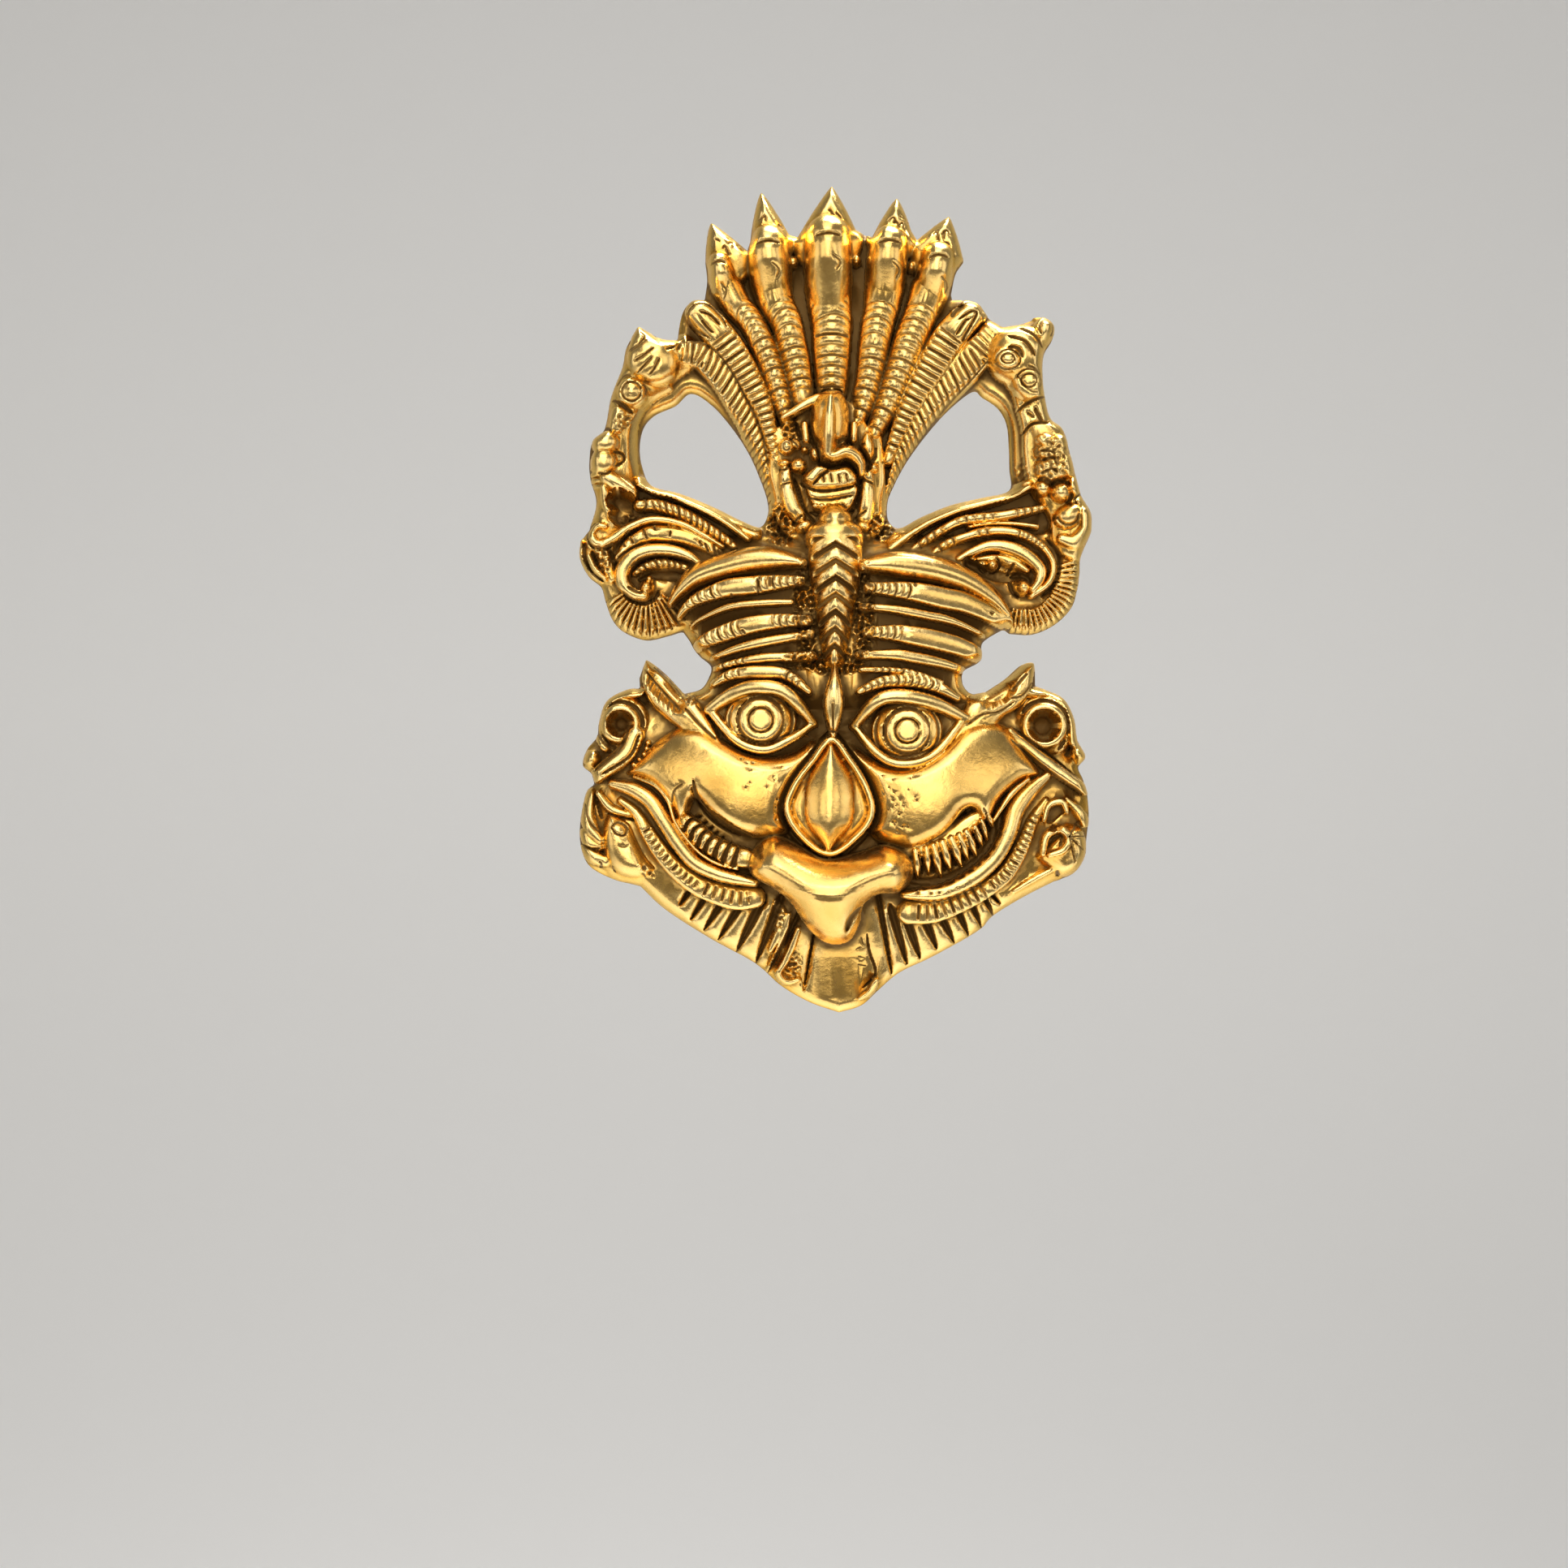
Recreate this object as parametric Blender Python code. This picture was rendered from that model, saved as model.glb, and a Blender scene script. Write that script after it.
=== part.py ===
"""Kirtimukha mask: a wall plaque of polished brass, cast in one piece.

The mask hangs upright. +Z is up, the face looks along -Y, and the flat rim of the back lies in
the plane y = 0. The origin is on that plane, on the centre line, where the back is solid and
bears on the wall.

The front is a relief: one height above the back plane for each place on a plan of the mask.
The plan and the heights are laid out in millimetres on a mask 140 high and 26 deep, and are
shares of the real height and depth. The wall, the rim, the hollow and the hanging bar have
real sizes.
"""

import bpy
import bmesh
import numpy as np

# Driving dimensions, in metres
MASK_HEIGHT = 0.140
MASK_DEPTH = 0.026
CASTING_WALL = 0.0035
RIM_WIDTH = 0.005
HOLLOW_TOP = 0.006            # from the origin down to the edge of the hollow
HOLLOW_LEAST_DEPTH = 0.002    # a shallower place is left solid
BAR_HEIGHT = 0.003
BAR_DEPTH = 0.0028
BAR_BELOW_ORIGIN = 0.0135     # to the middle of the bar that the nail holds
BAR_SEAT = 0.002              # how far the bar's ends run into the casting
CUTTER_REACH = 0.01           # how far a cutter runs past what it cuts
WELD_DISTANCE = 1e-6

# The plan on which the carving is laid out, in millimetres
PLAN_HEIGHT = 140.0
PLAN_DEPTH = 26.0
PLAN_SCALE = MASK_HEIGHT / PLAN_HEIGHT
DEPTH_SCALE = MASK_DEPTH / PLAN_DEPTH
PLAN_SIDES = (-44.6, 45.8)
PLAN_ENDS = (-85.2, 57.8)
HOLLOW_CENTRE = 0.6
HOLLOW_HALF_WIDTH = 33.0
HOLLOW_BOTTOM = -82.0
HOLLOW_SIDE_SLOPE = 1.3

# Heights above the back plane, on the plan
PLATE = 4.2
EDGE = 1.6                    # top of the side wall, under the rounded shoulder
SHOULDER = 2.4                # how far in from the outline the shoulder reaches
SKY = -99.0                   # below everything, so that it raises nothing

# Fineness of the solid
CARVING_STEP = 0.8
POINTS_PER_SPAN = 3
EDGE_REACH = 16.0             # distances from the outline are measured up to this
LOOP_PIECE = 24               # outline points measured at a time
SOFTENING_ROUNDS = 1          # takes the steps off the steepest flanks of the carving
KEPT_SHARE = 0.125            # of the relief's triangles, once flat places are merged
HOLLOW_LINES = 3              # the hollow keeps one line of the relief's grid in so many
SMOOTH_ANGLE = 40.0

BRASS_COLOUR = (0.72, 0.45, 0.13, 1.0)
BRASS_ROUGHNESS = 0.24

# The silhouette, clockwise from the chin. Each stretch is a smooth curve, and they meet in corners.
LEFT_STRETCHES = (
    # beard
    [(1.2, -83.8), (-3.7, -82.1), (-8.6, -79.3), (-13.1, -75.4), (-20.7, -71.2), (-28.3, -66.3),
     (-32.5, -62.4)],
    # fish head at the corner of the mouth
    [(-33.6, -62.1), (-37.1, -61.2), (-41.0, -59.1), (-42.5, -56.2), (-42.8, -52.2), (-41.8, -46.7),
     (-40.4, -45.1)],
    # curled ear
    [(-40.4, -44.6), (-40.9, -43.2), (-42.3, -41.8), (-41.6, -39.2), (-39.9, -37.0), (-39.5, -34.4),
     (-38.2, -30.9), (-34.8, -29.0), (-32.6, -28.8)],
    # horn
    [(-32.7, -27.1), (-31.8, -24.6), (-31.2, -24.1), (-28.3, -26.3), (-25.1, -29.7)],
    # waist of the brow
    [(-24.6, -29.6), (-22.4, -29.0), (-21.2, -27.6), (-20.5, -25.2), (-22.4, -23.4), (-23.4, -22.2),
     (-24.2, -20.7), (-25.3, -19.2)],
    # wing
    [(-25.6, -19.2), (-28.3, -20.0), (-31.6, -20.6), (-35.2, -19.3), (-37.2, -17.3), (-38.4, -14.2),
     (-39.2, -11.6), (-41.3, -9.8), (-42.8, -6.8), (-42.7, -3.9)],
    # creature along the side arch, then its collar
    [(-41.2, -2.0), (-40.0, 2.6), (-41.0, 6.6), (-41.2, 9.6), (-40.7, 13.0), (-38.6, 15.2),
     (-37.5, 20.6), (-35.6, 25.6), (-34.9, 29.0), (-33.0, 32.3)],
    [(-32.6, 32.4), (-31.0, 31.5), (-28.6, 30.3), (-26.3, 30.2)],
    # leaf, then the flank of the hoods
    [(-26.2, 30.6), (-25.7, 33.8), (-24.9, 35.8), (-23.6, 36.9), (-21.8, 37.0)],
    [(-21.6, 37.2), (-21.2, 40.4), (-21.5, 43.4)],
)
SPIKES = (
    # left foot, tip and right foot of the point above each hood
    ((-21.5, 43.6), (-20.3, 50.1), (-14.4, 45.4)),
    ((-13.9, 46.9), (-11.9, 55.1), (-7.2, 48.0)),
    ((-5.9, 47.6), (-0.1, 56.2), (4.1, 48.8)),
    ((6.7, 47.6), (10.9, 54.2), (13.5, 48.6)),
    ((14.4, 47.2), (19.6, 51.2), (22.3, 43.8)),
)
RIGHT_STRETCHES = (
    # flank of the hoods, then leaf
    [(22.3, 43.6), (21.0, 41.6), (20.2, 38.0)],
    [(20.4, 37.2), (22.4, 37.0), (24.8, 36.2), (26.4, 34.2), (28.6, 32.5)],
    # collar and ear of the creature, then its back along the side arch
    [(29.0, 32.4), (31.6, 32.9), (33.8, 33.6)],
    [(34.2, 34.1), (35.8, 34.1), (37.6, 32.6), (37.4, 30.4), (35.9, 27.6), (35.7, 23.6),
     (36.2, 19.9), (37.1, 16.8), (39.2, 15.1), (40.3, 11.2), (41.4, 6.8), (42.2, 3.9),
     (43.9, 0.9), (44.0, -2.0)],
    # wing
    [(43.8, -2.8), (42.2, -6.6), (42.0, -9.6), (41.6, -12.2), (40.6, -15.2), (37.8, -18.0),
     (34.1, -19.6), (30.2, -19.5)],
    # waist of the brow
    [(29.4, -18.9), (28.9, -18.9), (26.6, -20.2), (25.4, -21.4), (25.4, -23.6), (24.6, -24.6),
     (22.3, -25.9), (22.1, -27.8), (22.9, -29.2), (23.9, -29.8)],
    # horn
    [(26.1, -29.4), (29.4, -27.2), (31.9, -25.0), (33.8, -24.4), (34.4, -25.2), (34.5, -28.4)],
    # curled ear
    [(35.9, -28.9), (39.2, -30.5), (41.0, -33.8), (41.6, -37.4), (43.0, -40.4), (41.8, -42.2),
     (42.6, -44.2), (43.3, -46.6)],
    # leafy ornament at the corner of the mouth
    [(43.4, -47.4), (43.6, -50.4), (43.2, -54.3), (42.9, -57.3), (41.2, -60.0), (38.6, -61.3)],
    # beard
    [(37.6, -61.6), (32.3, -64.3), (27.3, -67.4), (24.7, -70.0), (17.1, -74.3), (11.5, -77.0),
     (8.0, -79.9), (5.0, -82.6), (1.2, -83.8)],
)
OPENINGS = (
    # the gap inside each side arch
    [(-23.9, 21.4), (-26.6, 19.3), (-30.1, 17.7), (-32.0, 15.6), (-32.7, 12.4), (-32.3, 9.0),
     (-30.6, 5.6), (-25.7, 4.2), (-20.2, 2.0), (-15.3, -0.4), (-12.2, -1.4), (-10.9, 0.7),
     (-11.0, 3.2), (-12.2, 6.8), (-14.0, 10.9), (-16.6, 15.0), (-20.2, 19.2)],
    [(23.9, 21.7), (25.6, 20.7), (28.2, 18.9), (29.7, 16.2), (30.1, 12.4), (30.2, 8.6),
     (30.1, 4.8), (24.9, 3.4), (19.9, 2.2), (15.0, 0.2), (11.5, -1.6), (9.6, -0.4),
     (9.4, 2.6), (10.4, 5.4), (12.7, 9.7), (16.2, 14.5), (19.9, 18.6)],
)
SPIKE_BULGE = 0.45
SPIKE_TIP_WIDTH = 0.9


def smooth_path(points, per_span=8, closed=False):
    """A Catmull-Rom curve through the points."""
    points = np.asarray(points, float)
    if closed:
        around = np.vstack([points[-1:], points, points[:2]])
    else:
        first = 2 * points[0] - points[1]
        last = 2 * points[-1] - points[-2]
        around = np.vstack([first[None], points, last[None]])
    share = np.linspace(0, 1, per_span, endpoint=False)[:, None]
    spans = []
    for before, start, end, after in zip(around, around[1:], around[2:], around[3:]):
        spans.append(0.5 * (2 * start + (end - before) * share
                            + (2 * before - 5 * start + 4 * end - after) * share ** 2
                            + (3 * start - before - 3 * end + after) * share ** 3))
    if not closed:
        spans.append(points[-1:])
    return np.vstack(spans)


def spike_points(left, tip, right):
    """Up one side of a spike, over its blunt tip and down the other side."""
    left, tip, right = np.array(left), np.array(tip), np.array(right)
    out = np.array([SPIKE_BULGE, -SPIKE_BULGE / 2])
    shoulder = np.array([SPIKE_TIP_WIDTH / 2, -SPIKE_TIP_WIDTH / 2.5])
    mirrored = np.array([-1, 1])
    return [left, (left + tip) / 2 + out * mirrored, tip + shoulder * mirrored, tip + shoulder,
            (right + tip) / 2 + out, right]


def silhouette(per_span):
    """The outer loop and the loop of each opening, as arrays of plan points."""
    paths = [smooth_path(stretch, per_span) for stretch in LEFT_STRETCHES]
    paths += [smooth_path(spike_points(*spike), per_span) for spike in SPIKES]
    paths += [smooth_path(stretch, per_span) for stretch in RIGHT_STRETCHES]
    outer = np.vstack(paths)
    apart = np.linalg.norm(outer - np.roll(outer, 1, axis=0), axis=1)
    return [outer[apart > 0.05]] + [smooth_path(gap, per_span, closed=True) for gap in OPENINGS]


def inside(x, z, loop):
    """Whether each point lies inside the closed loop, by counting crossings."""
    found = np.zeros(x.shape, bool)
    for (x1, z1), (x2, z2) in zip(loop, np.roll(loop, -1, axis=0)):
        if z1 == z2:
            continue
        crosses = (z1 > z) != (z2 > z)
        found ^= crosses & (x < (x2 - x1) * (z - z1) / (z2 - z1) + x1)
    return found


def to_path(x, z, path, closed=False):
    """Each point's distance to the path, and the share of the path's length at its nearest place."""
    ends = np.roll(path, -1, axis=0) if closed else path[1:]
    starts = path if closed else path[:-1]
    lengths = np.linalg.norm(ends - starts, axis=1)
    travelled = np.concatenate([[0], np.cumsum(lengths)])
    nearest = np.full(x.shape, np.inf)
    share = np.zeros(x.shape)
    for (x1, z1), (x2, z2), length, before in zip(starts, ends, lengths, travelled):
        if length == 0:
            continue
        ux, uz = (x2 - x1) / length, (z2 - z1) / length
        ahead = np.clip((x - x1) * ux + (z - z1) * uz, 0, length)
        squared = (x - x1 - ahead * ux) ** 2 + (z - z1 - ahead * uz) ** 2
        closer = squared < nearest
        nearest = np.where(closer, squared, nearest)
        share = np.where(closer, (before + ahead) / travelled[-1], share)
    return np.sqrt(nearest), share


def rounded(u, power=2.0):
    """A cross-section that is 1 in the middle and 0 at u = 1. A higher power is squarer."""
    return (1 - np.clip(u, 0, 1) ** power) ** (1 / power)


def along(share, values):
    """The value at each share of a path's length, eased between the values given."""
    values = np.atleast_1d(np.asarray(values, float))
    if len(values) > 2:
        eased = smooth_path(np.column_stack([np.arange(len(values)), values]))[:, 1]
        values = np.clip(eased, values.min(), values.max())
    return np.interp(share, np.linspace(0, 1, len(values)), values)


def as_path(points, per_span=8):
    return smooth_path(points, per_span) if len(points) > 2 else np.asarray(points, float)


class Relief:
    """Heights above the back plane on a grid over the plan."""

    def __init__(self, step):
        self.step = step
        self.xs = np.arange(PLAN_SIDES[0], PLAN_SIDES[1], step)
        self.zs = np.arange(PLAN_ENDS[0], PLAN_ENDS[1], step)
        self.x, self.z = np.meshgrid(self.xs, self.zs)
        self.height = np.full(self.x.shape, PLATE)

    def near(self, path, reach):
        """The part of the grid within reach of the path's box."""
        low, high = path.min(axis=0) - reach, path.max(axis=0) + reach
        rows = slice(*np.searchsorted(self.zs, (low[1], high[1])))
        columns = slice(*np.searchsorted(self.xs, (low[0], high[0])))
        return rows, columns

    def raise_to(self, where, target, blend=0.0):
        """Raises the grid to the target where that is higher, with a fillet where blend is set."""
        old = self.height[where]
        new = np.maximum(old, target)
        if blend:
            fillet = blend * np.clip(1 - np.abs(old - target) / blend, 0, 1) ** 2 / 4
            new = new + np.where(target > SKY, fillet, 0)
        self.height[where] = new

    def stroke(self, points, half_width, crest, rise, power=2.0, blend=0.0):
        """A ridge along a curve. Half width and crest may change along it."""
        path = as_path(points)
        where = self.near(path, np.max(half_width) + self.step)
        distance, share = to_path(self.x[where], self.z[where], path)
        u = distance / along(share, half_width)
        target = along(share, crest) - rise * (1 - rounded(u, power))
        self.raise_to(where, np.where(u < 1, target, SKY), blend)

    def dome(self, centre, radii, crest, rise, turn=0.0, power=2.0, blend=0.0):
        """An elliptical boss, turned anticlockwise by so many degrees."""
        where = self.near(np.array([centre]), max(radii))
        cos, sin = np.cos(np.radians(turn)), np.sin(np.radians(turn))
        dx, dz = self.x[where] - centre[0], self.z[where] - centre[1]
        u = np.hypot((dx * cos + dz * sin) / radii[0], (dz * cos - dx * sin) / radii[1])
        target = crest - rise * (1 - rounded(u, power))
        self.raise_to(where, np.where(u < 1, target, SKY), blend)

    def pillow(self, points, crest, rise, radius, power=2.0):
        """A raised shape with a free outline, whose edge is rounded over the radius."""
        loop = smooth_path(points, 6, closed=True)
        where = self.near(loop, self.step)
        x, z = self.x[where], self.z[where]
        distance, _ = to_path(x, z, loop, closed=True)
        level = crest(x, z) if callable(crest) else crest
        target = level - rise * (1 - rounded(1 - distance / radius, power))
        self.raise_to(where, np.where(inside(x, z, loop), target, SKY))

    def groove(self, points, half_width, depth):
        """A round-bottomed cut along a curve."""
        path = as_path(points, 6)
        where = self.near(path, np.max(half_width) + self.step)
        distance, share = to_path(self.x[where], self.z[where], path)
        u = np.clip(distance / along(share, half_width), 0, 1)
        self.height[where] -= along(share, depth) * (1 - u * u) ** 1.5

    def sink(self, points, half_width, level, slope):
        """Lowers everything along a curve to the level, with sides at the slope."""
        path = as_path(points, 6)
        where = self.near(path, np.max(half_width) + PLAN_DEPTH / slope)
        distance, share = to_path(self.x[where], self.z[where], path)
        over = np.clip(distance - along(share, half_width), 0, None)
        self.height[where] = np.minimum(self.height[where], along(share, level) + over * slope)


def falling(x, middle, end, half, centre=1.0, power=0.75):
    """A level that is highest at the centre line and falls to the sides."""
    return end + (middle - end) * np.clip(1 - ((x - centre) / half) ** 2, 0, 1) ** power


def swelling(relief, centre, radii, rise, power):
    """A broad dome that starts from the plate."""
    u2 = ((relief.x - centre[0]) / radii[0]) ** 2 + ((relief.z - centre[1]) / radii[1]) ** 2
    return PLATE + rise * np.clip(1 - u2, 0, 1) ** power


def ground(relief):
    """The barrel of the forehead, the face and the beard, before any carving."""
    fade = np.clip((-3.0 - relief.z) / 5.0, 0, 1) * np.clip((relief.z + 36.0) / 6.0, 0, 1)
    barrel = PLATE + (falling(relief.x, 11.2, 4.4, half=29.5) - PLATE) * fade ** 0.6
    face = swelling(relief, (0.8, -49.0), (42.5, 27.5), 7.4, 0.55)
    beard = swelling(relief, (1.0, -58.0), (33.0, 27.0), 4.2, 0.6)
    relief.height = np.maximum.reduce([relief.height, barrel, face, beard])


NECKS = (
    # path, half widths and crests of each snake's neck
    ([(-17.6, 38.0), (-15.0, 34.2), (-12.0, 30.1), (-9.8, 22.8), (-8.0, 17.5), (-7.4, 13.6)],
     (2.5, 2.4, 1.8, 1.4, 1.1), (9.8, 9.2, 8.6, 8.2)),
    ([(-9.4, 38.4), (-7.4, 30.2), (-5.6, 23.1), (-4.7, 16.5)],
     (2.7, 2.3, 1.9, 1.5), (10.0, 9.2, 8.8)),
    ([(-0.1, 39.5), (-0.1, 30.0), (-0.1, 20.5)],
     (3.7, 3.3, 2.9), (10.6, 9.8, 9.4)),
    ([(8.5, 38.4), (6.7, 30.0), (5.1, 22.0), (3.7, 15.6)],
     (2.7, 2.2, 1.9, 1.5), (10.0, 9.2, 8.8)),
    ([(15.3, 36.6), (13.2, 31.0), (10.5, 25.2), (8.1, 19.6), (5.6, 13.4)],
     (2.7, 2.3, 1.8, 1.5, 1.2), (9.8, 9.0, 8.4)),
)
SNOUTS = (
    # top, bottom, half width and crest of each snake's snout
    ((-18.4, 41.8), (-17.4, 37.6), 2.7, 12.2),
    ((-11.1, 43.9), (-10.0, 38.4), 3.4, 13.4),
    ((-0.6, 45.0), (-0.4, 39.6), 4.2, 14.0),
    ((9.3, 44.4), (8.8, 39.2), 3.1, 13.4),
    ((17.0, 42.0), (15.7, 37.6), 3.0, 12.8),
)
LEAVES = (
    ([(-23.1, 34.3), (-20.0, 30.0), (-16.0, 24.6), (-12.6, 18.6), (-10.4, 12.7), (-9.2, 8.0)],
     (2.3, 2.4, 2.2, 1.9, 1.5), (8.4, 8.0, 7.8, 7.8)),
    ([(23.7, 34.3), (20.8, 31.0), (17.4, 26.1), (13.0, 19.5), (9.7, 13.5), (8.0, 9.4)],
     (2.3, 2.4, 2.1, 1.9, 1.4), (8.4, 8.0, 7.8, 7.8)),
)
OUTER_STRANDS = (
    ([(-26.4, 27.6), (-22.6, 23.8), (-19.0, 19.9), (-15.6, 14.6), (-13.2, 9.6), (-11.4, 2.6)],
     (1.8, 2.1, 1.9, 1.7, 1.4, 0.9), (7.6, 7.2, 7.0)),
    ([(27.0, 29.6), (22.9, 24.1), (18.6, 19.4), (14.4, 14.0), (11.6, 9.4), (9.6, 2.6)],
     (2.1, 2.1, 1.9, 1.7, 1.4, 0.9), (7.8, 7.2, 7.0)),
)


def crown(relief):
    """The fan of hooded snakes, leaves and strands."""
    for left, tip, right in SPIKES:
        foot = ((left[0] + right[0]) / 2, (left[1] + right[1]) / 2 - 1.4)
        half = np.hypot(right[0] - left[0], right[1] - left[1]) / 2 + 0.5
        relief.stroke([foot, tip], (half, half * 0.62, 0.7), (7.4, 5.6), 3.0, power=1.4)
    for path, half_width, crest in NECKS:
        relief.stroke(path, half_width, crest, 4.0, power=2.3)
    for path, half_width, crest in LEAVES:
        relief.stroke(path, half_width, crest, 3.6, power=2.4)
    for path, half_width, crest in OUTER_STRANDS:
        relief.stroke(path, half_width, crest, 2.8, power=2.6)
    for top, bottom, half_width, crest in SNOUTS:
        relief.stroke([top, bottom], (half_width, half_width * 0.9), (crest, crest - 2.6), 6.5,
                      power=2.6, blend=0.6)


def side_arches(relief):
    """The creatures that arch from the crown down to the wings."""
    relief.stroke([(-27.0, 25.8), (-31.2, 24.6), (-34.6, 20.0), (-35.6, 15.0), (-36.4, 9.0),
                   (-35.6, 3.4), (-36.8, -0.6)], (4.0, 6.0, 3.8, 3.2, 4.4, 4.4, 3.4), 8.2, 3.2,
                  power=2.4)
    relief.dome((-30.6, 24.9), (4.6, 4.2), 10.4, 4.0, turn=-20)
    relief.dome((-33.6, 20.8), (2.6, 2.6), 9.6, 2.4)
    relief.stroke([(-33.2, 31.2), (-32.2, 28.4)], (1.2, 2.2), 9.0, 3.0)
    relief.dome((-38.0, 12.6), (2.5, 2.5), 10.2, 4.0)
    relief.stroke([(-37.9, 11.0), (-37.2, 8.2)], (2.3, 2.1), 9.6, 3.2)
    relief.dome((-35.2, 5.0), (3.2, 1.9), 9.8, 3.6, turn=-28)
    relief.dome((-37.9, 2.0), (1.4, 3.0), 9.2, 3.4, turn=12)

    relief.stroke([(27.4, 28.4), (31.6, 26.4), (33.4, 21.8), (33.6, 17.4), (35.2, 12.0),
                   (36.2, 6.0), (38.6, 0.4)], (3.8, 5.8, 4.2, 3.6, 5.0, 5.0, 4.6), 8.4, 3.2,
                  power=2.4)
    relief.dome((31.4, 27.0), (4.4, 5.2), 10.4, 4.0, turn=-35)
    relief.dome((32.6, 22.4), (2.8, 2.8), 9.8, 2.6)
    relief.dome((35.7, 31.6), (2.1, 2.3), 9.2, 3.2)
    relief.dome((37.0, 12.0), (3.3, 3.2), 10.8, 4.4)
    relief.dome((36.2, 7.6), (3.4, 2.2), 10.4, 4.0, turn=25)
    relief.dome((38.6, 3.8), (2.2, 2.3), 10.4, 4.0)
    relief.dome((40.4, -0.6), (2.4, 3.0), 9.4, 3.4, turn=20)


def little_figure(relief):
    """The small seated figure with an elephant's head, on the middle of the mask."""
    relief.stroke([(-7.4, 12.0), (-8.0, 4.0), (-6.0, -2.4), (0.2, -3.0), (6.0, -2.2), (7.2, 4.0),
                   (6.6, 12.0)], 2.6, 6.8, 2.2, power=3)
    relief.stroke([(-0.2, 13.6), (-0.2, 2.0)], (6.2, 6.6), 7.4, 2.0, power=3)
    relief.dome((-0.4, 5.2), (4.9, 4.4), 11.8, 4.4, power=2.4)
    relief.stroke([(-0.3, 18.4), (-0.6, 13.0), (-0.9, 10.4)], (3.1, 2.6, 1.5), (13.8, 13.2, 12.8),
                  5.2)
    relief.dome((-0.2, 18.0), (3.7, 3.2), 13.8, 5.0)
    relief.stroke([(-0.9, 11.0), (0.0, 9.2), (1.6, 10.3), (3.4, 10.2), (4.8, 8.9), (4.7, 6.6)],
                  (1.4, 1.0, 0.9, 0.9, 0.8, 0.6), (13.0, 12.4, 12.4, 12.0), 3.6)
    relief.stroke([(-4.6, 14.6), (-5.0, 12.6)], (0.9, 1.2), 9.6, 2.6)
    for centre, radius in (((-7.5, 11.3), 1.3), ((-6.2, 12.6), 1.0), ((-4.7, 10.8), 0.9),
                           ((-5.3, 8.4), 1.35)):
        relief.dome(centre, (radius, radius), 10.8, 3.2)
    relief.dome((5.9, 11.6), (1.0, 1.9), 11.0, 3.2, turn=-8)
    relief.stroke([(-7.1, 6.0), (-6.8, 3.0), (-6.0, 0.6)], (1.0, 1.1, 1.2), 10.4, 3.2)
    relief.stroke([(5.9, 6.0), (5.9, 3.0), (5.5, 0.2)], (1.0, 1.1, 1.2), 10.4, 3.2)
    relief.dome((-4.7, -1.4), (1.9, 1.4), 10.0, 3.0, turn=-15)
    relief.dome((5.0, -1.6), (1.6, 1.2), 10.0, 3.0, turn=15)
    relief.stroke([(-3.9, 0.2), (-0.3, -1.0), (3.6, 0.0)], 1.1, 10.2, 2.4)


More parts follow.
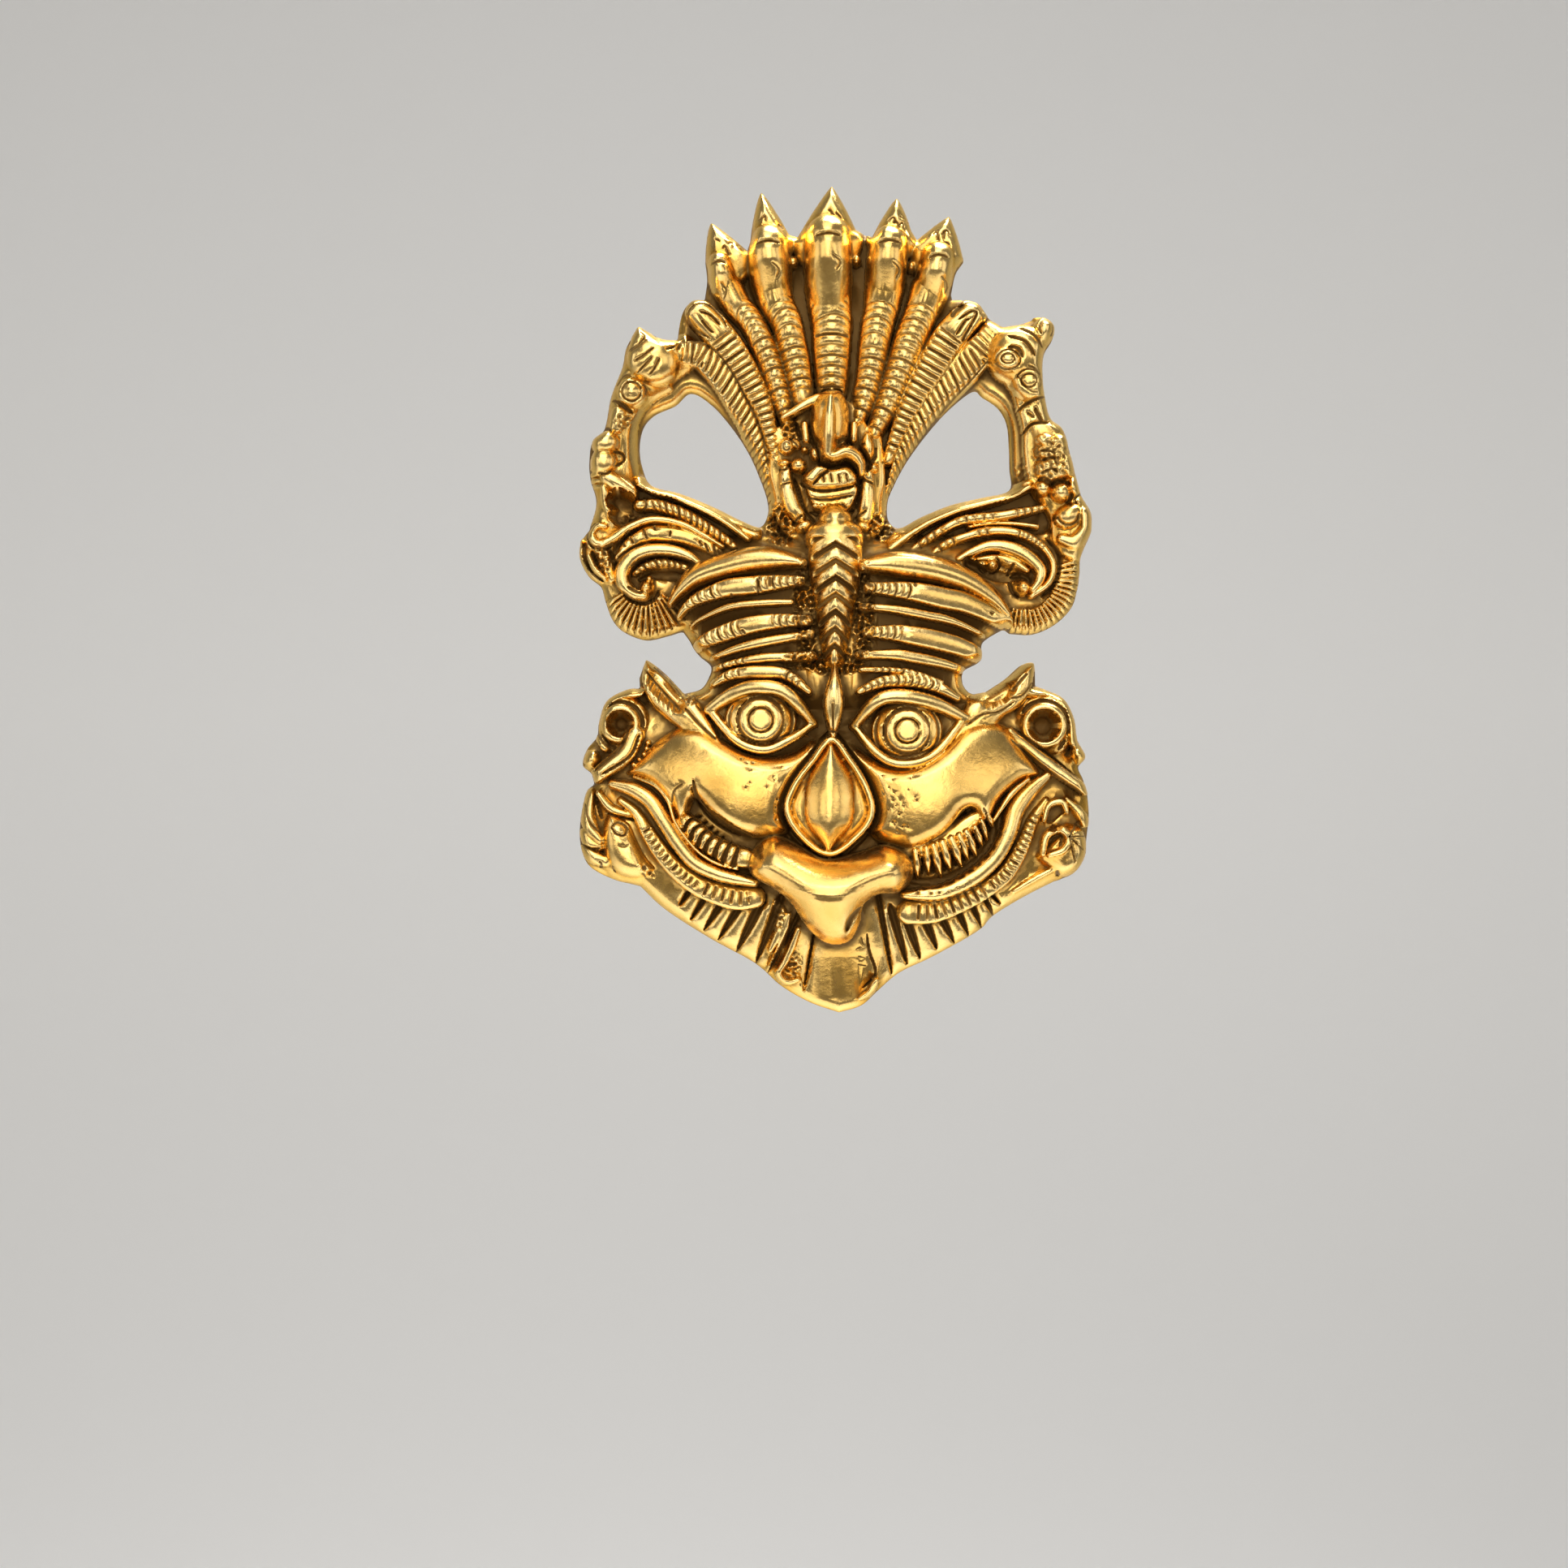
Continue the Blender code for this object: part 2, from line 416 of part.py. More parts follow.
def wings(relief):
    """The scrolled wings at either side of the forehead."""
    relief.stroke([(-39.4, -4.0), (-34.0, -8.0), (-30.0, -12.0), (-30.5, -16.0)],
                  (3.6, 8.0, 6.5, 4.0), 6.0, 1.6, power=3)
    relief.stroke([(-32.0, 4.2), (-26.2, 2.9), (-19.5, 0.4), (-13.8, -2.8)],
                  (0.8, 1.0, 1.1, 1.0), 9.4, 4.2)
    relief.stroke([(-32.3, 2.0), (-26.2, 0.5), (-21.7, -1.7), (-17.3, -4.1)],
                  (0.9, 1.05, 1.1, 0.9), 8.6, 3.4)
    relief.stroke([(-39.1, -3.5), (-35.2, -1.9), (-30.7, -0.8), (-26.4, -1.4), (-22.9, -3.4),
                   (-18.4, -6.4)], (0.9, 0.8, 0.75, 0.75, 0.7), 8.8, 3.4)
    relief.dome((-39.1, -3.5), (2.1, 2.1), 9.0, 3.4)
    relief.stroke([(-37.0, -6.4), (-33.4, -3.9), (-28.4, -2.9), (-24.0, -4.2), (-19.9, -6.9)],
                  (1.1, 1.3, 1.35, 1.3, 1.0), 9.0, 3.2)
    relief.stroke([(-22.4, -8.2), (-26.2, -5.9), (-30.7, -5.8), (-34.3, -7.2), (-35.9, -9.8),
                   (-34.5, -12.3), (-31.8, -13.4)], (1.0, 1.2, 1.3, 1.4, 1.4, 1.2, 1.1), 9.8, 3.8)
    relief.dome((-30.9, -12.2), (1.5, 1.5), 10.4, 4.0)
    relief.stroke([(-33.2, -9.4), (-29.5, -8.4), (-25.1, -8.8)], 0.9, 8.6, 2.8)
    relief.stroke([(-42.0, -6.0), (-39.8, -9.4)], (1.2, 1.4), 8.0, 2.6)

    relief.stroke([(39.4, -4.0), (36.0, -8.0), (33.0, -12.0), (35.0, -15.0)],
                  (4.0, 7.5, 8.0, 6.0), 6.0, 1.6, power=3)
    relief.stroke([(10.4, -5.5), (15.9, -0.9), (20.4, 1.1), (27.3, 2.4), (32.0, 3.8)],
                  (0.9, 1.2, 1.2, 1.0, 0.9), 9.4, 4.2)
    relief.stroke([(13.1, -5.9), (18.1, -2.9), (21.8, -1.2), (27.3, -0.3), (34.1, 0.7)],
                  (0.8, 0.9, 1.0, 1.0, 0.9), 8.6, 3.2)
    relief.stroke([(17.7, -5.9), (22.6, -3.6), (27.3, -2.5), (31.9, -2.9), (35.3, -4.6),
                   (37.1, -7.3), (36.6, -10.3), (34.2, -13.2)],
                  (0.7, 0.8, 0.9, 0.9, 0.9, 0.9, 0.8, 0.8), 8.8, 3.0)
    relief.stroke([(20.0, -8.0), (25.0, -5.4), (29.5, -4.9), (33.4, -6.4), (35.0, -8.3),
                   (34.3, -11.0), (32.4, -12.6)], (0.9, 1.0, 1.0, 1.1, 1.1, 1.0, 0.9), 9.6, 3.6)
    relief.dome((32.0, -11.6), (1.5, 1.5), 10.4, 4.0)
    relief.dome((26.8, -8.1), (1.4, 1.2), 8.8, 2.6)
    relief.dome((39.9, -1.4), (2.6, 3.2), 9.0, 3.0)


BROW_RIDGES = (
    # path, half widths and rise above the barrel, from the crown down, left side then right
    ([(-4.4, -8.2), (-12.1, -7.5), (-19.5, -8.8), (-24.0, -11.2), (-26.6, -14.4)],
     (1.5, 1.8, 1.9, 1.6, 1.1), 5.4),
    ([(-4.4, -11.4), (-12.1, -11.8), (-19.5, -13.1), (-24.6, -15.8)], (1.3, 1.6, 1.6, 1.2), 4.6),
    ([(-4.8, -14.6), (-12.1, -14.9), (-18.0, -15.9), (-23.4, -18.4)], (0.9, 1.1, 1.1, 0.8), 4.0),
    ([(-4.2, -17.6), (-12.1, -18.1), (-19.5, -19.5), (-23.2, -21.4)], (1.3, 1.7, 1.7, 1.3), 4.8),
    ([(-4.0, -20.8), (-12.1, -21.6), (-20.2, -23.8)], (0.8, 1.1, 0.9), 3.8),
    ([(-3.4, -23.4), (-12.1, -23.9), (-19.4, -25.9)], (1.0, 1.1, 1.0), 3.4),
    ([(-3.0, -28.4), (-8.4, -26.4), (-14.8, -26.2), (-20.2, -28.4)], (1.3, 1.4, 1.4, 1.1), 4.2),
    ([(5.2, -8.4), (13.8, -8.9), (21.1, -10.7), (26.6, -13.4), (29.0, -16.2)],
     (1.5, 1.8, 1.9, 1.6, 1.2), 5.4),
    ([(5.2, -12.1), (13.8, -13.0), (21.1, -14.9), (27.4, -17.4)], (1.3, 1.6, 1.7, 1.3), 4.6),
    ([(5.2, -15.6), (13.8, -16.6), (21.1, -18.6), (24.9, -20.6)], (0.9, 1.1, 1.1, 0.8), 4.0),
    ([(5.0, -19.0), (13.8, -20.2), (21.1, -22.0), (24.6, -23.2)], (1.3, 1.7, 1.7, 1.1), 4.8),
    ([(4.4, -22.2), (13.8, -23.5), (21.6, -25.6)], (0.8, 1.1, 0.9), 3.8),
    ([(3.4, -24.8), (12.1, -25.7), (21.0, -27.8)], (0.9, 1.0, 0.9), 3.4),
    ([(3.4, -29.0), (8.1, -27.8), (15.6, -28.0), (21.2, -30.4)], (1.2, 1.4, 1.4, 1.1), 4.2),
)


def forehead(relief):
    """The stacked brow ridges and the plaited ridge that parts them."""
    for points, half_width, rise in BROW_RIDGES:
        path = smooth_path(points)
        where = relief.near(path, np.max(half_width) + relief.step)
        distance, share = to_path(relief.x[where], relief.z[where], path)
        u = distance / along(share, half_width)
        foot = falling(relief.x[where], 11.2, 4.6, half=30.5)
        relief.raise_to(where, np.where(u < 1, foot + rise * rounded(u, 2.3), SKY))
    relief.stroke([(0.4, -3.6), (0.4, -24.0)], (4.4, 4.2, 3.6, 2.9, 2.4),
                  (16.0, 17.4, 17.4, 16.6, 15.0), 4.0, power=1.6)
    relief.dome((0.3, -3.6), (4.8, 3.2), 16.2, 5.5)


EYES = (
    # centre, inner corner, outer corner, top of the upper lid and bottom of the lower lid
    ((-12.0, -34.4), (-3.6, -34.9), (-20.2, -32.8), (-12.1, -28.6), (-11.4, -39.3)),
    ((12.3, -36.1), (3.6, -35.3), (21.4, -33.8), (10.6, -30.1), (11.6, -41.5)),
)


def between(a, b, level):
    """A point halfway across from a to b, at the level."""
    return ((a[0] + b[0]) / 2, level)


def eyes(relief):
    """The bulging eyes with their lids, and the drop-shaped mark between them."""
    for centre, inner, outer, upper, lower in EYES:
        upper_lid = [inner, between(inner, upper, upper[1] - 0.9), upper,
                     between(outer, upper, upper[1] - 0.9), outer]
        lower_lid = [inner, between(inner, lower, lower[1] + 1.5), lower,
                     between(outer, lower, lower[1] + 1.5), outer]
        relief.pillow(upper_lid + lower_lid[-2:0:-1], 12.6, 1.2, 2.0)
        relief.dome(centre, (5.4, 5.0), 16.0, 3.6)
        relief.dome(centre, (3.7, 3.7), 16.4, 1.2, power=3)
        relief.stroke(upper_lid, (0.8, 1.1, 1.25, 1.2, 1.0), (14.8, 16.6, 16.8, 15.4, 13.0), 3.6)
        relief.stroke(lower_lid, (0.7, 0.8, 0.8, 0.8, 0.8), (14.6, 15.6, 15.8, 14.8, 13.0), 3.0)
    relief.stroke([(0.3, -25.8), (0.2, -31.8), (0.1, -36.8)], (0.3, 1.45, 0.35),
                  (16.4, 19.0, 17.0), 4.6, power=1.8)


def cheeks(relief):
    """The broad polished cheeks. The right one sits a little lower."""
    for side, drop in ((-1, 0.0), (1, 1.2)):
        relief.dome((side * 16.0 + 0.6, -46.6 - drop * 0.6), (11.6, 8.6), 16.6, 7.4,
                    turn=side * 12, power=2.2, blend=1.5)
        relief.stroke([(side * 17.0, -45.6 - drop), (side * 25.0, -43.6 - drop * 0.6),
                       (side * 32.4, -40.8)], (7.4, 6.6, 4.4), (15.4, 14.2, 11.4), 6.4,
                      power=2.4, blend=1.5)


NOSE = ((-0.3, -37.6), (2.6, -40.9), (5.3, -45.3), (6.4, -49.7), (4.2, -53.4), (-0.6, -56.6),
        (-5.2, -53.6), (-7.6, -49.4), (-6.4, -45.3), (-3.4, -41.2))
NOSE_BORDER = 0.85
SNOUT = ((-9.8, -53.2), (-12.9, -55.3), (-14.0, -58.2), (-13.4, -60.4), (-9.8, -62.5),
         (-6.9, -65.0), (-4.4, -68.8), (-1.9, -71.2), (0.6, -71.9), (3.0, -71.1), (4.5, -68.2),
         (5.2, -65.0), (7.9, -63.3), (11.0, -63.2), (13.2, -61.0), (13.2, -58.2), (11.6, -56.0),
         (8.6, -55.0), (4.6, -56.2), (-0.8, -57.2), (-5.4, -55.2))
SNOUT_CREASE = -63.4


def snout_level(x, z):
    """The snout stands out furthest along a crease, and falls above, below and to the sides."""
    above, below = np.clip(z - SNOUT_CREASE, 0, None), np.clip(SNOUT_CREASE - z, 0, None)
    return PLAN_DEPTH - 0.62 * above - 0.72 * below - 3.6 * np.clip((x + 0.3) / 12.5, -1, 1) ** 2


def nose(relief):
    """The pointed nose plate with its border and blade, and the snout under it."""
    relief.pillow(NOSE, 15.4, 2.0, 2.0)
    border = smooth_path(NOSE, 6, closed=True)
    relief.stroke(np.vstack([border, border[:1]]), NOSE_BORDER, 17.6, 3.0)
    relief.stroke([(-0.5, -39.4), (-0.6, -48.4), (-0.8, -56.4)], (0.5, 2.2, 2.6, 1.6, 0.4),
                  (16.6, 19.8, 21.4, 21.0, 18.4), 5.6, power=1.8)
    relief.pillow(SNOUT, snout_level, 8.5, 4.2)


LIPS = (
    # the rolled lip, then the band under it, left side then right
    (([(-36.7, -45.9), (-32.7, -46.1), (-28.9, -50.1), (-26.6, -53.8), (-23.4, -57.3),
       (-19.4, -59.6), (-13.0, -60.7)]),
     ([(-35.2, -48.2), (-32.7, -50.6), (-30.5, -54.1), (-27.4, -57.9), (-22.6, -61.5),
       (-18.5, -63.6), (-13.6, -64.4)])),
    (([(35.3, -44.3), (31.3, -46.5), (28.9, -50.1), (27.1, -54.3), (25.0, -58.1),
       (21.3, -61.1), (17.1, -62.7), (12.6, -62.9)]),
     ([(34.5, -48.2), (33.0, -51.4), (31.1, -55.2), (29.0, -58.6), (26.0, -61.7),
       (21.3, -64.6), (16.2, -66.2), (13.3, -66.5)])),
)
MOUTH_CORNERS = (
    [(-24.4, -50.6), (-22.4, -54.2), (-18.6, -56.6), (-12.6, -58.0)],
    [(24.6, -51.8), (22.6, -55.4), (18.4, -58.6), (12.6, -60.2)],
)
TEETH_ROWS = (
    [(-24.9, -51.8), (-21.2, -55.2), (-14.4, -57.6)],
    [(25.2, -52.0), (20.8, -55.8), (14.2, -58.2)],
)
TEETH = 9


def row_points(points, count):
    """So many places spread evenly along a curve."""
    path = smooth_path(points, 40)
    return [path[round((index + 0.5) / count * (len(path) - 1))] for index in range(count)]


def mouth(relief):
    """The grinning mouth: a dark gap, a rolled lip with a band under it, and a row of teeth."""
    for gap in MOUTH_CORNERS:
        relief.sink(gap, (0.6, 1.6, 2.0, 1.9), 8.2, slope=4.0)
    for lip, band in LIPS:
        relief.stroke(lip, (1.0, 1.2, 1.3, 1.3, 1.3, 1.3, 1.2),
                      (9.4, 10.8, 12.4, 13.0, 13.6, 14.0, 14.4), 4.4)
        relief.stroke(band, (0.9, 1.2, 1.3, 1.4, 1.5, 1.5, 1.5),
                      (8.6, 10.0, 10.6, 11.2, 11.6, 12.0, 12.2), 3.4, power=3)
    for row in TEETH_ROWS:
        for x, z in row_points(row, TEETH):
            lean = 0.4 * np.sign(x)
            relief.stroke([(x + lean, z + 1.3), (x - lean / 2, z - 1.2)], (0.68, 0.5),
                          (14.0, 12.4), 3.4)


BEARD_PANEL = [(0.6, -66.0), (0.8, -73.0), (1.2, -81.6)]
BEARD_BORDERS = (
    [(-6.4, -67.4), (-7.6, -73.0), (-8.2, -77.6), (-5.4, -79.8), (-3.6, -76.0)],
    [(7.2, -66.6), (7.4, -73.4), (7.6, -78.6), (5.6, -80.6), (4.4, -76.4)],
)
SLOTS = 10
SLOT_ROWS = (
    # where the slots start under the lip, and where they end by the edge
    ([(-7.0, -66.6), (-15.0, -66.2), (-24.0, -62.4), (-30.4, -57.6)],
     [(-9.0, -77.4), (-14.6, -73.0), (-24.0, -67.4), (-31.0, -62.2)]),
    ([(6.0, -66.4), (15.0, -68.6), (24.0, -65.0), (30.0, -60.0)],
     [(9.4, -77.2), (16.4, -73.0), (25.0, -68.0), (33.0, -62.8)]),
)


def beard(relief):
    """The smooth middle of the beard, with a looped border at each side."""
    relief.stroke(BEARD_PANEL, (4.4, 4.2, 2.2), (11.4, 9.6, 7.0), 3.2, power=3)
    for border in BEARD_BORDERS:
        relief.stroke(border, (0.9, 1.0, 1.0, 0.9, 0.7), (9.8, 8.6, 7.4, 7.0, 7.4), 2.6)


def beard_slots(relief):
    """Slots that fan out from under the lip to the edge of the beard."""
    for tops, bottoms in SLOT_ROWS:
        for top, bottom in zip(row_points(tops, SLOTS), row_points(bottoms, SLOTS)):
            relief.groove([top, bottom], (0.75, 0.6, 0.3), (1.8, 2.0, 1.0))


EAR_RINGS = (((-35.6, -34.6), 0.7), ((35.7, -35.0), 1.0))


def horns_and_ears(relief):
    """The leaf-shaped horns, and the ears with a ring and a band across them."""
    relief.stroke([(-31.0, -25.2), (-29.4, -29.8), (-24.4, -34.2), (-19.0, -38.6)],
                  (1.0, 2.6, 2.2, 0.8), (7.6, 9.8, 12.0, 14.6), 3.4)
    relief.stroke([(33.4, -25.6), (29.6, -30.4), (25.0, -34.0), (19.0, -40.2)],
                  (1.2, 3.0, 2.4, 0.8), (7.6, 9.8, 12.0, 14.6), 3.4)
    for centre, bore in EAR_RINGS:
        relief.dome(centre, (4.6, 4.9), 8.6, 2.8)
        angles = np.linspace(0, 2 * np.pi, 13)
        ring = np.column_stack([np.cos(angles), np.sin(angles)]) * 2.9 + centre
        relief.stroke(ring, 1.2, 9.8, 2.6)
        relief.sink([centre, (centre[0] + 0.01, centre[1])], bore, 4.6, slope=4.0)
    relief.stroke([(-31.2, -36.6), (-34.6, -40.6), (-40.0, -44.0)], (1.3, 1.7, 1.3), 9.8, 3.2,
                  power=2.6)
    relief.stroke([(29.9, -36.4), (35.6, -40.6), (42.4, -45.8)], (1.1, 1.3, 1.0), 10.0, 3.4)
    relief.dome((-40.6, -41.0), (1.7, 1.5), 7.6, 2.6)
    relief.dome((41.4, -40.4), (1.5, 1.7), 7.6, 2.6)


def corner_ornaments(relief):
    """The fish head at the left corner of the mouth and the leaf at the right."""
    relief.pillow([(-39.4, -49.0), (-35.8, -49.6), (-33.2, -53.6), (-29.8, -58.6), (-31.0, -60.8),
                   (-36.6, -60.4), (-40.6, -57.8), (-41.8, -53.0)], 9.8, 4.2, 2.8)
    relief.stroke([(-41.6, -47.2), (-41.8, -52.4), (-40.6, -57.6)], (0.8, 1.1, 0.9), 8.2, 2.8)
    relief.pillow([(36.6, -49.4), (41.4, -49.0), (42.2, -54.0), (41.4, -58.8), (36.8, -60.6),
                   (32.8, -60.4), (34.6, -56.0), (35.4, -52.4)], 9.6, 4.2, 2.8)


def distance_inside(relief, loops):
    """How far each place is inside the silhouette, and below zero outside it."""
    found = inside(relief.x, relief.z, loops[0])
    for opening in loops[1:]:
        found &= ~inside(relief.x, relief.z, opening)
    distance = np.full(relief.x.shape, EDGE_REACH)
    for loop in loops:
        closed = np.vstack([loop, loop[:1]])
        for start in range(0, len(loop), LOOP_PIECE):
            piece = closed[start:start + LOOP_PIECE + 1]
            where = relief.near(piece, EDGE_REACH)
            near, _ = to_path(relief.x[where], relief.z[where], piece)
            distance[where] = np.minimum(distance[where], near)
    return np.where(found, distance, -distance)


def round_shoulder(relief, loops):
    """Brings every height down to the side wall along the silhouette."""
    relief.edge = distance_inside(relief, loops)
    share = rounded(1 - relief.edge / SHOULDER)
    relief.height = EDGE + (relief.height - EDGE) * share


def carve(step):
    """The whole relief on a grid with the step, and the loops of its silhouette."""
    relief = Relief(step)
    for layer in (ground, crown, side_arches, little_figure, wings, beard, cheeks, forehead,
                  horns_and_ears, corner_ornaments, eyes, beard_slots, mouth, nose):
        layer(relief)
    loops = silhouette(POINTS_PER_SPAN)
    round_shoulder(relief, loops)
    return relief, loops


def lowest_near(heights, reach):
    """The lowest height within the reach, counted in grid steps along each axis."""
    for axis in (0, 1):
        shifted = [np.roll(heights, shift, axis) for shift in range(-reach, reach + 1)]
        heights = np.minimum.reduce(shifted)
    return heights


def levelled(heights, rounds):
    """The heights with each place averaged with its neighbours, again and again."""
    for _ in range(rounds):
        for axis in (0, 1):
            heights = (np.roll(heights, 1, axis) + 2 * heights + np.roll(heights, -1, axis)) / 4
    return heights


class Hollow:
    """The hollow behind the forehead and the face, on some lines of the relief's grid."""

    def __init__(self, relief):
        least = HOLLOW_LEAST_DEPTH / DEPTH_SCALE
        around = round(CASTING_WALL / PLAN_SCALE / relief.step)
        ceiling = levelled(lowest_near(relief.height, around), 3) - CASTING_WALL / DEPTH_SCALE
        top = -HOLLOW_TOP / PLAN_SCALE
        half_height = (top - HOLLOW_BOTTOM) / 2
        middle = (top + HOLLOW_BOTTOM) / 2
        egg = np.hypot((relief.x - HOLLOW_CENTRE) / HOLLOW_HALF_WIDTH,
                       (relief.z - middle) / half_height)
        inward = np.minimum((1 - egg) * half_height, relief.edge - RIM_WIDTH / PLAN_SCALE)
        depth = np.minimum(ceiling, inward * HOLLOW_SIDE_SLOPE)
        depth = levelled(np.where(depth > 0, depth + least, 0), 2) - least
        every = slice(None, None, HOLLOW_LINES)
        self.xs, self.zs = relief.xs[every], relief.zs[every]
        self.depth = np.clip(depth[every, every], -least, None)


def clear_scene():
    for item in list(bpy.data.objects):
        bpy.data.objects.remove(item, do_unlink=True)


def new_collection(name):
    collection = bpy.data.collections.new(name)
    bpy.context.scene.collection.children.link(collection)
    return collection


def brass():
    material = bpy.data.materials.new("polished_brass")
    material.use_nodes = True
    shader = material.node_tree.nodes["Principled BSDF"]
    shader.inputs["Base Color"].default_value = BRASS_COLOUR
    shader.inputs["Metallic"].default_value = 1.0
    shader.inputs["Roughness"].default_value = BRASS_ROUGHNESS
    return material


def block_from_heights(name, xs, zs, heights, back, collection):
    """A closed block: its front stands at the given heights, its flat back at y = back."""
    columns, rows = len(xs), len(zs)
    mesh = bpy.data.meshes.new(name)
    block = bmesh.new()
    bmesh.ops.create_grid(block, x_segments=columns - 1, y_segments=rows - 1, size=0.5)
    for vertex in block.verts:
        column = round((vertex.co.x + 0.5) * (columns - 1))
        row = round((vertex.co.y + 0.5) * (rows - 1))
        vertex.co = (xs[column] * PLAN_SCALE, -heights[row, column] * DEPTH_SCALE,
                     zs[row] * PLAN_SCALE)
    rim = [edge for edge in block.edges if edge.is_boundary]
    pulled = bmesh.ops.extrude_edge_only(block, edges=rim)["geom"]
    back_edges = [item for item in pulled if isinstance(item, bmesh.types.BMEdge)]
    for item in pulled:
        if isinstance(item, bmesh.types.BMVert):
            item.co.y = back
    bmesh.ops.contextual_create(block, geom=[edge for edge in back_edges if edge.is_boundary])
    bmesh.ops.triangulate(block, faces=block.faces)
    bmesh.ops.recalc_face_normals(block, faces=block.faces)
    block.to_mesh(mesh)
    block.free()
    made = bpy.data.objects.new(name, mesh)
    collection.objects.link(made)
    return made


def merge_flat_places(item, share):
    decimate = item.modifiers.new("merge flat places", "DECIMATE")
    decimate.ratio = share


def combine(item, other, operation):
    boolean = item.modifiers.new(other.name, "BOOLEAN")
    boolean.operation = operation
    boolean.object = other
    boolean.solver = "EXACT"
    other.hide_render = True
    other.display_type = "WIRE"


def outline_solid(loops, collection):
    """The silhouette with its two openings, as deep as the whole mask and flat at y = 0."""
    curve = bpy.data.curves.new("silhouette", "CURVE")
    curve.dimensions = "2D"
    curve.fill_mode = "BOTH"
    curve.extrude = (MASK_DEPTH + CUTTER_REACH) / 2
    for loop in loops:
        spline = curve.splines.new("POLY")
        spline.points.add(len(loop) - 1)
        for point, (x, z) in zip(spline.points, loop * PLAN_SCALE):
            point.co = (x, z, 0, 1)
        spline.use_cyclic_u = True
    drawn = bpy.data.objects.new("silhouette", curve)
    collection.objects.link(drawn)
    drawn.rotation_euler.x = np.pi / 2
    drawn.location.y = -curve.extrude
    bpy.context.view_layer.update()
    graph = bpy.context.evaluated_depsgraph_get()
    mesh = bpy.data.meshes.new_from_object(drawn.evaluated_get(graph))
    welded = bmesh.new()
    welded.from_mesh(mesh)
    bmesh.ops.remove_doubles(welded, verts=welded.verts, dist=WELD_DISTANCE)
    bmesh.ops.recalc_face_normals(welded, faces=welded.faces)
    welded.to_mesh(mesh)
    welded.free()
    solid = bpy.data.objects.new("silhouette_solid", mesh)
    solid.matrix_world = drawn.matrix_world
    collection.objects.link(solid)
    bpy.data.objects.remove(drawn, do_unlink=True)
    return solid


def hanging_bar(hollow, collection):
    """The bar across the top of the hollow, flush with the back, that hangs on a nail."""
    middle = -BAR_BELOW_ORIGIN / PLAN_SCALE
    half = BAR_HEIGHT / PLAN_SCALE / 2
    rows = np.abs(hollow.zs - middle) <= half
    open_columns = hollow.xs[(hollow.depth[rows] > 0).any(axis=0)]
    left = open_columns.min() * PLAN_SCALE - BAR_SEAT
    right = open_columns.max() * PLAN_SCALE + BAR_SEAT
    mesh = bpy.data.meshes.new("hanging_bar")
    block = bmesh.new()
    bmesh.ops.create_cube(block, size=1)
    bmesh.ops.scale(block, vec=(right - left, BAR_DEPTH, BAR_HEIGHT), verts=block.verts)
    bmesh.ops.translate(block, vec=((left + right) / 2, -BAR_DEPTH / 2, -BAR_BELOW_ORIGIN),
                        verts=block.verts)
    block.to_mesh(mesh)
    block.free()
    bar = bpy.data.objects.new("hanging_bar", mesh)
    collection.objects.link(bar)
    return bar


def build():
    clear_scene()
    casting_parts = new_collection("kirtimukha_mask")
    cutters = new_collection("cutters")
    relief, loops = carve(CARVING_STEP)
    hollow = Hollow(relief)

    softened = levelled(relief.height, SOFTENING_ROUNDS)
    casting = block_from_heights("kirtimukha_casting", relief.xs, relief.zs, softened,
                                 CUTTER_REACH, casting_parts)
    merge_flat_places(casting, KEPT_SHARE)
    combine(casting, outline_solid(loops, cutters), "INTERSECT")
    hollow_cutter = block_from_heights("hollow_back", hollow.xs, hollow.zs, hollow.depth,
                                       CUTTER_REACH, cutters)
    combine(casting, hollow_cutter, "DIFFERENCE")
    combine(casting, hanging_bar(hollow, cutters), "UNION")
    casting.data.materials.append(brass())
    casting.data.shade_smooth()
    casting.data.set_sharp_from_angle(angle=np.radians(SMOOTH_ANGLE))


build()
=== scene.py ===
import bpy
import numpy as np
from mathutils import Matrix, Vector


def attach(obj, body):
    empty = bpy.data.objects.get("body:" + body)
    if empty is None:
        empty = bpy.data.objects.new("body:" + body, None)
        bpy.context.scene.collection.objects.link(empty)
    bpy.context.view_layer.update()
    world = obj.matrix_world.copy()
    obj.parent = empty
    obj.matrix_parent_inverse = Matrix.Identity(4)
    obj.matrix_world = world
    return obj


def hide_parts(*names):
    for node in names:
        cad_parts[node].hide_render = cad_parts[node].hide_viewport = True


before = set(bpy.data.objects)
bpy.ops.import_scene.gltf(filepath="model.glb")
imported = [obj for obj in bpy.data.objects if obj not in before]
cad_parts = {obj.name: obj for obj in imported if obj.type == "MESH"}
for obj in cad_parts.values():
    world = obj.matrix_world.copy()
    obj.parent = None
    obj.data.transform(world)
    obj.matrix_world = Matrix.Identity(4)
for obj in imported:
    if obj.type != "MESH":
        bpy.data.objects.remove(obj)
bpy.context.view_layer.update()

# The mask in its own millimetres: the plan is 140 high, the depth 26.
MASK_HEIGHT = 0.140
MASK_DEPTH = 0.026
PLAN_HEIGHT = 140.0
PLAN_DEPTH = 26.0
PLAN_SCALE = MASK_HEIGHT / PLAN_HEIGHT
DEPTH_SCALE = MASK_DEPTH / PLAN_DEPTH
PLAN_SIDES = (-44.6, 45.8)
PLAN_ENDS = (-85.2, 57.8)

# Levels of the plate, its edge and the shoulder round it.
PLATE = 4.2
EDGE = 1.6
SHOULDER = 1.9
SKY = -99.0
EDGE_REACH = 16.0
LOOP_PIECE = 24
POINTS_PER_SPAN = 6

# The grid of the relief and the size of the mesh that is kept of it.
CARVING_STEP = 0.2
MOST_TRIANGLES = 194000
SEED = 7

